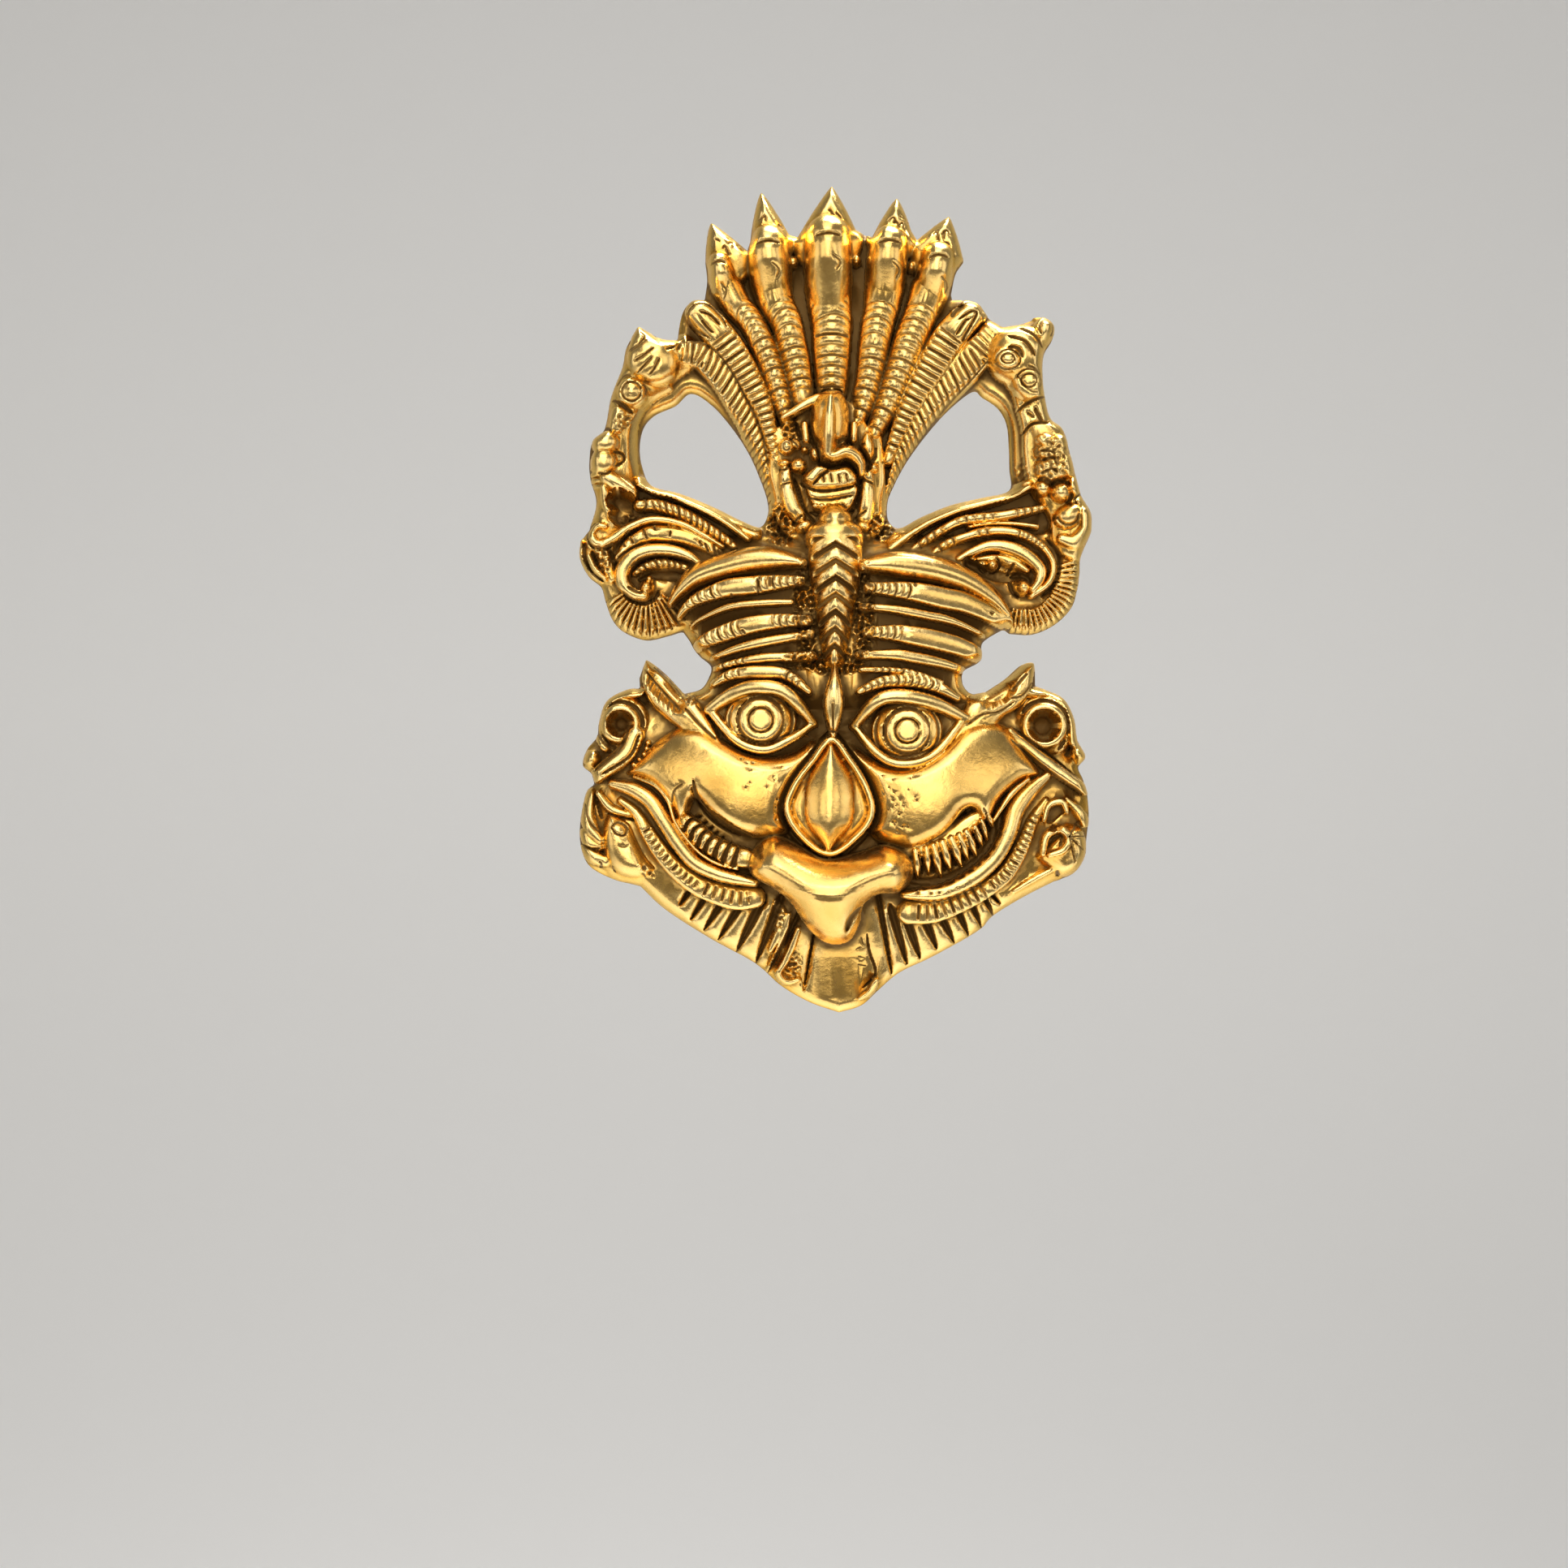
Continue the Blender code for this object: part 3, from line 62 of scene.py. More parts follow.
# How forms are cut: squareness of ridges, lumps of the grainy ground, steps of curves
# and unevenness of the ribs.
EDGE_SHARPNESS = 2.2
GRAIN_SIZE = 0.55
GRAIN_PITCH = 0.5
GRAIN_BAND = 0.25
GRAIN_SPREAD = 1.6
FRESH = 0.05
ROW_STEPS = 40
RING_STEPS = 24
RIB_MEAN = 0.78
RIB_SWING = 0.22

# The hollow of the back and its bar.
CASTING_WALL = 3.5
RIM_WIDTH = 5.0
HOLLOW_TOP = -6.0
HOLLOW_BOTTOM = -82.0
HOLLOW_CENTRE = 0.6
HOLLOW_HALF_WIDTH = 33.0
HOLLOW_SIDE_SLOPE = 1.3
HOLLOW_LEAST_DEPTH = 2.0
HOLLOW_CEILING_BLUR = 0.8
HOLLOW_RIM_BLUR = 0.5
BAR_LEVEL = -13.5
BAR_HEIGHT = 3.0
BAR_DEPTH = 2.8
BAR_SEAT = 2.0
BAR_BEHIND_RIM = 0.06
BAR_EDGE = 0.5

# The camera stands where the photo was taken from. MASK_PIXELS is the mask's height in it.
PHOTO_PIXELS = 1932
PHOTO_AXIS = (1025, 640)
MASK_PIXELS = 1014
PLAN_PER_PIXEL = PLAN_HEIGHT / MASK_PIXELS
LENS = 85.0
SENSOR = 36.0
AIM_DEPTH = -0.0005

# The silhouette, clockwise from the chin. Each stretch is a smooth curve, and they meet in corners.
LEFT_STRETCHES = (
    # beard
    [(1.2, -83.8), (-3.7, -82.1), (-8.6, -79.3), (-13.1, -75.4), (-20.7, -71.2), (-28.3, -66.3),
     (-32.5, -62.4)],
    # fish head at the corner of the mouth
    [(-33.6, -62.1), (-37.1, -61.2), (-41.0, -59.1), (-42.5, -56.2), (-42.8, -52.2), (-41.8, -46.7),
     (-40.4, -45.1)],
    # curled ear
    [(-40.4, -44.6), (-40.9, -43.2), (-42.3, -41.8), (-41.6, -39.2), (-39.9, -37.0), (-39.5, -34.4),
     (-38.2, -30.9), (-34.8, -29.0), (-32.6, -28.8)],
    # horn
    [(-32.7, -27.1), (-31.8, -24.6), (-31.2, -24.1), (-28.3, -26.3), (-25.1, -29.7)],
    # waist of the brow
    [(-24.6, -29.6), (-22.4, -29.0), (-21.2, -27.6), (-20.5, -25.2), (-22.4, -23.4), (-23.4, -22.2),
     (-24.2, -20.7), (-25.3, -19.2)],
    # wing
    [(-25.6, -19.2), (-28.3, -20.0), (-31.6, -20.6), (-35.2, -19.3), (-37.2, -17.3), (-38.4, -14.2),
     (-39.2, -11.6), (-41.3, -9.8), (-42.8, -6.8), (-42.7, -3.9)],
    # creature along the side arch, then its collar
    [(-41.2, -2.0), (-40.0, 2.6), (-41.0, 6.6), (-41.2, 9.6), (-40.7, 13.0), (-38.6, 15.2),
     (-37.5, 20.6), (-35.6, 25.6), (-34.9, 29.0), (-33.0, 32.3)],
    [(-32.6, 32.4), (-31.0, 31.5), (-28.6, 30.3), (-26.3, 30.2)],
    # leaf, then the flank of the hoods
    [(-26.2, 30.6), (-25.7, 33.8), (-24.9, 35.8), (-23.6, 36.9), (-21.8, 37.0)],
    [(-21.6, 37.2), (-21.2, 40.4), (-21.5, 43.4)],
)
SPIKES = (
    # left foot, tip and right foot of the point above each hood
    ((-21.5, 43.6), (-20.3, 50.1), (-14.4, 45.4)),
    ((-13.9, 46.9), (-11.9, 55.1), (-7.2, 48.0)),
    ((-5.9, 47.6), (-0.1, 56.2), (4.1, 48.8)),
    ((6.7, 47.6), (10.9, 54.2), (13.5, 48.6)),
    ((14.4, 47.2), (19.6, 51.2), (22.3, 43.8)),
)
RIGHT_STRETCHES = (
    # flank of the hoods, then leaf
    [(22.3, 43.6), (21.0, 41.6), (20.2, 38.0)],
    [(20.4, 37.2), (22.4, 37.0), (24.8, 36.2), (26.4, 34.2), (28.6, 32.5)],
    # collar and ear of the creature, then its back along the side arch
    [(29.0, 32.4), (31.6, 32.9), (33.8, 33.6)],
    [(34.2, 34.1), (35.8, 34.1), (37.6, 32.6), (37.4, 30.4), (35.9, 27.6), (35.7, 23.6),
     (36.2, 19.9), (37.1, 16.8), (39.2, 15.1), (40.3, 11.2), (41.4, 6.8), (42.2, 3.9),
     (43.9, 0.9), (44.0, -2.0)],
    # wing
    [(43.8, -2.8), (42.2, -6.6), (42.0, -9.6), (41.6, -12.2), (40.6, -15.2), (37.8, -18.0),
     (34.1, -19.6), (30.2, -19.5)],
    # waist of the brow
    [(29.4, -18.9), (28.9, -18.9), (26.6, -20.2), (25.4, -21.4), (25.4, -23.6), (24.6, -24.6),
     (22.3, -25.9), (22.1, -27.8), (22.9, -29.2), (23.9, -29.8)],
    # horn
    [(26.1, -29.4), (29.4, -27.2), (31.9, -25.0), (33.8, -24.4), (34.4, -25.2), (34.5, -28.4)],
    # curled ear
    [(35.9, -28.9), (39.2, -30.5), (41.0, -33.8), (41.6, -37.4), (43.0, -40.4), (41.8, -42.2),
     (42.6, -44.2), (43.3, -46.6)],
    # leafy ornament at the corner of the mouth
    [(43.4, -47.4), (43.6, -50.4), (43.2, -54.3), (42.9, -57.3), (41.2, -60.0), (38.6, -61.3)],
    # beard
    [(37.6, -61.6), (32.3, -64.3), (27.3, -67.4), (24.7, -70.0), (17.1, -74.3), (11.5, -77.0),
     (8.0, -79.9), (5.0, -82.6), (1.2, -83.8)],
)
OPENINGS = (
    # the gap inside each side arch
    [(-23.9, 21.4), (-26.6, 19.3), (-30.1, 17.7), (-32.0, 15.6), (-32.7, 12.4), (-32.3, 9.0),
     (-30.6, 5.6), (-25.7, 4.2), (-20.2, 2.0), (-15.3, -0.4), (-12.2, -1.4), (-10.9, 0.7),
     (-11.0, 3.2), (-12.2, 6.8), (-14.0, 10.9), (-16.6, 15.0), (-20.2, 19.2)],
    [(23.9, 21.7), (25.6, 20.7), (28.2, 18.9), (29.7, 16.2), (30.1, 12.4), (30.2, 8.6),
     (30.1, 4.8), (24.9, 3.4), (19.9, 2.2), (15.0, 0.2), (11.5, -1.6), (9.6, -0.4),
     (9.4, 2.6), (10.4, 5.4), (12.7, 9.7), (16.2, 14.5), (19.9, 18.6)],
)
SPIKE_BULGE = 0.45
SPIKE_TIP_WIDTH = 0.9
LEAST_APART = 0.05


def smooth_path(points, per_span=8, closed=False):
    """A Catmull-Rom curve through the points."""
    points = np.asarray(points, float)
    if closed:
        around = np.vstack([points[-1:], points, points[:2]])
    else:
        first = 2 * points[0] - points[1]
        last = 2 * points[-1] - points[-2]
        around = np.vstack([first[None], points, last[None]])
    share = np.linspace(0, 1, per_span, endpoint=False)[:, None]
    spans = []
    for before, start, end, after in zip(around, around[1:], around[2:], around[3:]):
        spans.append(0.5 * (2 * start + (end - before) * share
                            + (2 * before - 5 * start + 4 * end - after) * share ** 2
                            + (3 * start - before - 3 * end + after) * share ** 3))
    if not closed:
        spans.append(points[-1:])
    return np.vstack(spans)


def spike_points(left, tip, right):
    """Up one side of a spike, over its blunt tip and down the other side."""
    left, tip, right = np.array(left), np.array(tip), np.array(right)
    out = np.array([SPIKE_BULGE, -SPIKE_BULGE / 2])
    shoulder = np.array([SPIKE_TIP_WIDTH / 2, -SPIKE_TIP_WIDTH / 2.5])
    mirrored = np.array([-1, 1])
    return [left, (left + tip) / 2 + out * mirrored, tip + shoulder * mirrored, tip + shoulder,
            (right + tip) / 2 + out, right]


def silhouette(per_span):
    """The outer loop and the loop of each opening, as arrays of plan points."""
    paths = [smooth_path(stretch, per_span) for stretch in LEFT_STRETCHES]
    paths += [smooth_path(spike_points(*spike), per_span) for spike in SPIKES]
    paths += [smooth_path(stretch, per_span) for stretch in RIGHT_STRETCHES]
    outer = np.vstack(paths)
    apart = np.linalg.norm(outer - np.roll(outer, 1, axis=0), axis=1)
    return [outer[apart > LEAST_APART]] + [smooth_path(gap, per_span, closed=True) for gap in OPENINGS]


def inside(x, z, loop):
    """Whether each point lies inside the closed loop, by counting crossings."""
    found = np.zeros(x.shape, bool)
    for (x1, z1), (x2, z2) in zip(loop, np.roll(loop, -1, axis=0)):
        if z1 == z2:
            continue
        crosses = (z1 > z) != (z2 > z)
        found ^= crosses & (x < (x2 - x1) * (z - z1) / (z2 - z1) + x1)
    return found


def rounded(u, power=2.0):
    """A cross-section that is 1 in the middle and 0 at u = 1. A higher power is squarer."""
    return (1 - np.clip(u, 0, 1) ** power) ** (1 / power)


def along(share, values):
    """The value at each share of a path's length, eased between the values given."""
    values = np.atleast_1d(np.asarray(values, float))
    if len(values) > 2:
        eased = smooth_path(np.column_stack([np.arange(len(values)), values]))[:, 1]
        values = np.clip(eased, values.min(), values.max())
    return np.interp(share, np.linspace(0, 1, len(values)), values)


def as_path(points, per_span=8):
    """A smooth curve through the points, or the straight line between two of them."""
    return smooth_path(points, per_span) if len(points) > 2 else np.asarray(points, float)


def spread_noise(draw, shape, size):
    """Even noise between -1 and 1 with lumps of about the size, in grid steps."""
    noise = np.fft.rfft2(draw.standard_normal(shape))
    rows = np.fft.fftfreq(shape[0])[:, None]
    columns = np.fft.rfftfreq(shape[1])[None, :]
    pitch = np.hypot(rows, columns) * size
    band = np.exp(-((pitch - GRAIN_PITCH) / GRAIN_BAND) ** 2)
    made = np.fft.irfft2(noise * band, s=shape)
    return np.clip(made / made.std() / GRAIN_SPREAD, -1, 1)


def closed_loop(loop):
    """The loop with its first point again at its end."""
    return np.vstack([loop, loop[:1]])


def between(a, b, share):
    """A point on the way from a to b."""
    return (a[0] + (b[0] - a[0]) * share, a[1] + (b[1] - a[1]) * share)


def offset_path(points, half_width, share):
    """The curve moved sideways, to the left of its run, by a share of the half width."""
    path = as_path(points)
    run = np.gradient(path, axis=0)
    run /= np.linalg.norm(run, axis=1)[:, None]
    reach = along(np.linspace(0, 1, len(path)), half_width) * share
    return path + np.column_stack([-run[:, 1], run[:, 0]]) * reach[:, None]


def row_points(points, count):
    """So many places spread evenly along a curve."""
    path = smooth_path(points, ROW_STEPS)
    return [path[round((index + 0.5) / count * (len(path) - 1))] for index in range(count)]


def to_path(x, z, path):
    """Each point's distance to a path, its share of the path's length, and its side of it."""
    starts, ends = path[:-1], path[1:]
    lengths = np.linalg.norm(ends - starts, axis=1)
    travelled = np.concatenate([[0], np.cumsum(lengths)])
    nearest = np.full(x.shape, np.inf)
    share = np.zeros(x.shape)
    side = np.ones(x.shape)
    for (x1, z1), (x2, z2), length, before in zip(starts, ends, lengths, travelled):
        if length == 0:
            continue
        ux, uz = (x2 - x1) / length, (z2 - z1) / length
        ahead = np.clip((x - x1) * ux + (z - z1) * uz, 0, length)
        squared = (x - x1 - ahead * ux) ** 2 + (z - z1 - ahead * uz) ** 2
        closer = squared < nearest
        nearest = np.where(closer, squared, nearest)
        share = np.where(closer, (before + ahead) / travelled[-1], share)
        left = np.where((z - z1) * ux - (x - x1) * uz > 0, 1.0, -1.0)
        side = np.where(closer, left, side)
    return np.sqrt(nearest), share, side


def blurred(heights, size, step):
    """The heights blurred by a Gaussian of the size, in plan millimetres."""
    rows = np.fft.fftfreq(heights.shape[0], step)[:, None]
    columns = np.fft.rfftfreq(heights.shape[1], step)[None, :]
    fade = np.exp(-2 * (np.pi * size) ** 2 * (rows ** 2 + columns ** 2))
    return np.fft.irfft2(np.fft.rfft2(heights) * fade, s=heights.shape)


class Relief:
    """Heights above the back plane on a grid over the plan, with what the carver cut into them."""

    def __init__(self, step):
        self.step = step
        self.xs = np.arange(PLAN_SIDES[0], PLAN_SIDES[1], step)
        self.zs = np.arange(PLAN_ENDS[0], PLAN_ENDS[1], step)
        self.x, self.z = np.meshgrid(self.xs, self.zs)
        self.height = np.full(self.x.shape, PLATE)
        self.engraved = np.zeros(self.x.shape)
        self.draw = np.random.default_rng(SEED)
        self.grains = spread_noise(self.draw, self.x.shape, GRAIN_SIZE / step)

    def near(self, path, reach):
        """The part of the grid within reach of the path's box."""
        low, high = path.min(axis=0) - reach, path.max(axis=0) + reach
        rows = slice(*np.searchsorted(self.zs, (low[1], high[1])))
        columns = slice(*np.searchsorted(self.xs, (low[0], high[0])))
        return rows, columns

    def raise_to(self, where, target, blend=0.0):
        """Raises the grid to the target where that is higher, with a fillet where blend is set."""
        old = self.height[where]
        new = np.maximum(old, target)
        if blend:
            fillet = blend * np.clip(1 - np.abs(old - target) / blend, 0, 1) ** 2 / 4
            new = new + np.where(target > SKY, fillet, 0)
        self.engraved[where] *= np.where(target > old + FRESH, 0, 1)
        self.height[where] = new

    def stroke(self, points, half_width, crest, rise, power=2.0, blend=0.0, bulge=0.14):
        """A ridge along a curve. Half width and crest may change along it."""
        path = as_path(points)
        where = self.near(path, np.max(half_width) + self.step)
        distance, share, _ = to_path(self.x[where], self.z[where], path)
        u = distance / along(share, half_width)
        section = bulge * (1 - u ** 2) + (1 - bulge) * rounded(u, power * EDGE_SHARPNESS)
        target = along(share, crest) - rise * (1 - section)
        self.raise_to(where, np.where(u < 1, target, SKY), blend)

    def dome(self, centre, radii, crest, rise, turn=0.0, power=2.0, blend=0.0):
        """An elliptical boss, turned anticlockwise by so many degrees."""
        where = self.near(np.array([centre]), max(radii))
        cos, sin = np.cos(np.radians(turn)), np.sin(np.radians(turn))
        dx, dz = self.x[where] - centre[0], self.z[where] - centre[1]
        u = np.hypot((dx * cos + dz * sin) / radii[0], (dz * cos - dx * sin) / radii[1])
        target = crest - rise * (1 - rounded(u, power))
        self.raise_to(where, np.where(u < 1, target, SKY), blend)

    def pillow(self, points, crest, rise, radius, power=2.0):
        """A raised shape with a free outline, whose edge is rounded over the radius."""
        loop = smooth_path(points, POINTS_PER_SPAN, closed=True)
        where = self.near(loop, self.step)
        x, z = self.x[where], self.z[where]
        distance = to_path(x, z, closed_loop(loop))[0]
        level = crest(x, z) if callable(crest) else crest
        target = level - rise * (1 - rounded(1 - distance / radius, power))
        self.raise_to(where, np.where(inside(x, z, loop), target, SKY))

    def sink(self, points, half_width, level, slope):
        """Lowers everything along a curve to the level, with sides at the slope."""
        path = as_path(points, POINTS_PER_SPAN)
        where = self.near(path, np.max(half_width) + PLAN_DEPTH / slope)
        distance, share, _ = to_path(self.x[where], self.z[where], path)
        over = np.clip(distance - along(share, half_width), 0, None)
        self.height[where] = np.minimum(self.height[where], along(share, level) + over * slope)

    def cut(self, where, profile, depth, mark=1.0):
        """Cuts a profile, 0 to 1, into the surface and marks it as engraved."""
        self.height[where] -= depth * profile
        self.engraved[where] = np.maximum(self.engraved[where], profile * mark)

    def engrave(self, points, half_width=0.28, depth=0.7, mark=1.0):
        """A line cut with a burin along a curve, which thins out at its ends."""
        path = as_path(points, POINTS_PER_SPAN)
        where = self.near(path, np.max(half_width) + self.step)
        distance, share, _ = to_path(self.x[where], self.z[where], path)
        swell = along(share, half_width) * np.clip(8 * share * (1 - share) + 0.35, 0, 1)
        self.cut(where, np.clip(1 - (distance / swell) ** 2, 0, 1), depth, mark)

    def ring(self, centre, radii, half_width=0.26, depth=0.7, span=(0, 360)):
        """An engraved circle or a part of one, anticlockwise from the right."""
        angles = np.radians(np.linspace(span[0], span[1], RING_STEPS))
        points = np.column_stack([centre[0] + radii[0] * np.cos(angles),
                                  centre[1] + radii[1] * np.sin(angles)])
        self.engrave(points, half_width, depth)

    def ribs(self, points, half_width, pitch, depth, line=0.28, sag=0.0, slant=0.0, peak=0.0,
             reach=0.86, span=(0, 1), shift=0.0, mark=1.0):
        """Cuts across a band at even steps: bowed by sag, leaning by slant or pointed by peak."""
        path = as_path(points)
        where = self.near(path, np.max(half_width) + self.step)
        distance, share, side = to_path(self.x[where], self.z[where], path)
        length = np.linalg.norm(np.diff(path, axis=0), axis=1).sum()
        across = side * distance / along(share, half_width)
        place = share * length + sag * across ** 2 + slant * across - peak * np.abs(across)
        count = place / pitch - shift
        number = np.round(count)
        profile = np.clip(1 - ((count - number) * pitch / line) ** 2, 0, 1)
        uneven = RIB_MEAN + RIB_SWING * np.sin(number * 2.7 + pitch * 9)
        fade = np.clip((reach - np.abs(across)) * 6, 0, 1)
        here = (share > span[0]) & (share < span[1])
        self.cut(where, profile * uneven * fade * here, depth, mark)

    def pit(self, centre, radius, depth):
        """A small round hole."""
        where = self.near(np.array([centre]), radius + self.step)
        far = np.hypot(self.x[where] - centre[0], self.z[where] - centre[1])
        self.cut(where, np.clip(1 - (far / radius) ** 2, 0, 1), depth)

    def granulate(self, centre, radii, rise=0.7, turn=0.0):
        """Fine grains over an elliptical patch of the ground."""
        where = self.near(np.array([centre]), max(radii))
        cos, sin = np.cos(np.radians(turn)), np.sin(np.radians(turn))
        dx, dz = self.x[where] - centre[0], self.z[where] - centre[1]
        u = np.hypot((dx * cos + dz * sin) / radii[0], (dz * cos - dx * sin) / radii[1])
        fade = np.clip((1 - u) * 3, 0, 1)
        self.height[where] += rise * fade * self.grains[where]
        hollow = np.clip(-self.grains[where] * 1.2, 0, 1) * fade
        self.engraved[where] = np.maximum(self.engraved[where], hollow)


def each(make, rows):
    """Makes one form for each row of values, such as a line, its half width and depth."""
    for row in rows:
        make(*row)


def falling(x, middle, end, half, centre=1.0, power=0.75):
    """A level that is highest at the centre line and falls to the sides."""
    return end + (middle - end) * np.clip(1 - ((x - centre) / half) ** 2, 0, 1) ** power


def swelling(relief, centre, radii, rise, power):
    """A broad dome that starts from the plate."""
    u2 = ((relief.x - centre[0]) / radii[0]) ** 2 + ((relief.z - centre[1]) / radii[1]) ** 2
    return PLATE + rise * np.clip(1 - u2, 0, 1) ** power


def ground(relief):
    """The barrel of the forehead, the face and the beard, before any carving."""
    fade = np.clip((-3.0 - relief.z) / 5.0, 0, 1) * np.clip((relief.z + 36.0) / 6.0, 0, 1)
    barrel = PLATE + (falling(relief.x, BARREL_CREST, 4.4, half=29.5) - PLATE) * fade ** 0.6
    face = swelling(relief, (0.8, -49.0), (42.5, 27.5), 7.4, 0.55)
    slope = PLATE + 6.0 - 0.40 * np.clip(-66.0 - relief.z, 0, None) - 0.004 * (relief.x - 1) ** 2
    chin = np.where(relief.z < -60.0, slope, SKY)
    relief.height = np.maximum.reduce([relief.height, barrel, face, chin])


SNAKES = (
    # path of the neck, its half widths, top and bottom of the snout, its half width and crest
    ([(-17.5, 38.4), (-16.0, 35.6), (-13.7, 32.9), (-11.7, 29.0), (-10.1, 24.9), (-8.6, 19.9),
      (-7.5, 15.7)], (2.7, 2.35, 2.2, 2.2, 2.0, 1.8, 1.3), ((-19.1, 42.4), (-17.5, 36.7)), 2.5, 12.4),
    ([(-10.1, 38.7), (-9.3, 35.8), (-7.7, 32.6), (-6.8, 28.7), (-5.9, 24.7), (-5.0, 19.6)],
     (3.3, 2.95, 2.7, 2.65, 2.4, 2.1), ((-10.8, 45.7), (-10.1, 37.0)), 3.7, 13.6),
    ([(-0.7, 38.7), (-0.4, 35.2), (-0.1, 32.6), (-0.1, 28.7), (-0.1, 24.7), (-0.1, 21.0)],
     (4.0, 3.7, 3.5, 3.3, 3.0, 2.6), ((-0.8, 46.9), (-0.6, 35.3)), 4.1, 14.4),
    ([(8.8, 38.7), (8.3, 35.3), (7.7, 32.9), (7.0, 28.9), (6.4, 24.7), (5.2, 19.3), (4.0, 15.5)],
     (3.4, 3.0, 2.8, 2.6, 2.3, 2.1, 1.3), ((9.4, 45.8), (8.7, 36.7)), 3.5, 13.6),
    ([(16.3, 38.4), (15.2, 35.1), (13.9, 31.8), (12.7, 28.9), (11.3, 24.7), (9.3, 19.3), (6.9, 13.8)],
     (3.2, 2.9, 2.8, 2.6, 2.4, 2.1, 1.5), ((17.7, 43.4), (16.3, 35.9)), 3.2, 13.0),
)
LEAVES = (
    ([(-22.5, 34.5), (-18.8, 30.2), (-15.0, 24.7), (-12.0, 19.2), (-10.4, 13.7), (-9.4, 9.4)],
     (2.4, 2.8, 2.6, 2.1, 1.5, 0.9)),
    ([(23.9, 34.8), (19.7, 30.2), (16.4, 24.7), (13.3, 19.2), (10.9, 13.7), (9.3, 9.4)],
     (2.5, 2.9, 2.8, 2.2, 1.6, 0.9)),
)
LEAF_LINES = (
    # the loops in the rounded tops of the leaves
    [(-20.6, 29.8), (-23.1, 31.5), (-24.3, 33.7), (-23.3, 35.3), (-21.1, 35.5), (-18.9, 33.7),
     (-17.8, 31.8)],
    [(-22.2, 34.2), (-20.6, 33.7), (-18.9, 32.0)],
    [(-22.0, 32.9), (-21.0, 31.6), (-20.0, 30.7)],
    [(24.4, 30.4), (25.3, 32.9), (24.7, 35.1), (23.1, 35.9), (21.1, 35.1)],
    [(21.7, 29.3), (23.1, 31.8), (24.2, 34.0), (23.1, 34.2), (21.1, 32.9)],
    [(20.8, 30.4), (22.2, 32.6), (23.1, 33.1)],
)
STRANDS = (
    ([(-25.3, 27.6), (-22.2, 27.1), (-19.1, 24.2), (-15.9, 18.9), (-13.4, 13.7), (-11.7, 6.9),
      (-10.6, 0.8)], (2.0, 2.4, 2.2, 2.0, 1.8, 1.4, 0.9)),
    ([(27.2, 30.4), (25.0, 28.2), (22.2, 24.7), (17.5, 19.2), (13.8, 13.7), (11.2, 8.3), (9.5, 2.1)],
     (2.3, 2.7, 2.5, 2.1, 1.7, 1.3, 0.9)),
)


def crown(relief):
    """The fan of hooded snakes, leaves and strands."""
    for left, tip, right in SPIKES:
        foot = ((left[0] + right[0]) / 2, (left[1] + right[1]) / 2 - 1.4)
        half = np.hypot(right[0] - left[0], right[1] - left[1]) / 2 + 0.5
        relief.stroke([foot, tip], (half * 1.1, half * 0.95, 1.8), (9.0, 7.0), 3.4, power=1.9)
        squiggles(relief, foot, tip, half)
    for number, (path, half_width, snout, snout_half, crest) in enumerate(SNAKES):
        relief.stroke(path, half_width, (10.4, 10.4, 10.0, 9.4), 5.0, power=1.9, bulge=0.4)
        relief.ribs(path, half_width, 1.35, 0.4, line=0.24, sag=-1.5 + 0.1 * number, reach=0.95,
                    span=(0.12, 0.4), shift=0.37 * number, mark=0.6)
        relief.ribs(path, half_width, 1.75, 0.6, line=0.3, sag=-0.5, reach=0.9, span=(0.4, 0.97),
                    shift=0.37 * number, mark=0.9)
        top, bottom = snout
        relief.stroke([top, between(top, bottom, 0.3), between(top, bottom, 0.75), bottom],
                      (snout_half * 0.94, snout_half, snout_half, snout_half * 0.86),
                      (crest - 0.4, crest - 0.2, crest - 1.8, crest - 3.8), 8.0, power=1.5,
                      bulge=0.3)
        brow = between(top, bottom, 0.02)
        relief.engrave([(brow[0] - snout_half * 0.5, brow[1] - 0.3), (brow[0], brow[1] + 0.1),
                        (brow[0] + snout_half * 0.5, brow[1] - 0.2)], 0.3, 0.6)
        relief.engrave([(brow[0] + snout_half * 0.15, brow[1] - 3.4),
                        (brow[0] + snout_half * 0.5, brow[1] - 4.6),
                        (brow[0] + snout_half * 0.34, brow[1] - 6.0)], 0.2, 0.35)
    for path, half_width in LEAVES:
        relief.stroke(path, half_width, (9.6, 9.2, 8.8), 4.6, power=2.4)
        relief.ribs(path, half_width, 1.22, 0.8, line=0.3, reach=0.84, span=(0.2, 0.98))
    for loop in LEAF_LINES:
        relief.engrave(loop, 0.25, 0.7)
    relief.engrave([(20.0, 33.4), (20.8, 34.5), (22.0, 35.3)], 0.45, 1.0)
    for (path, half_width), lean in zip(STRANDS, (1, -1)):
        relief.stroke(path, half_width, (8.8, 8.4, 8.0), 3.8, power=4.0)
        relief.ribs(path, half_width, 1.25, 0.7, line=0.27, slant=1.1 * lean, reach=0.82,
                    span=(0.13, 0.97))
        relief.engrave(offset_path(path, half_width, 0.82), 0.2, 0.45)
        relief.ribs(path, half_width, 0.9, 0.6, line=0.25, reach=0.95, span=(0.0, 0.12))
    for pit in ((-6.6, 42.9), (4.0, 43.2), (13.3, 42.2)):
        relief.dome(pit, (0.9, 1.1), 8.4, 2.6)


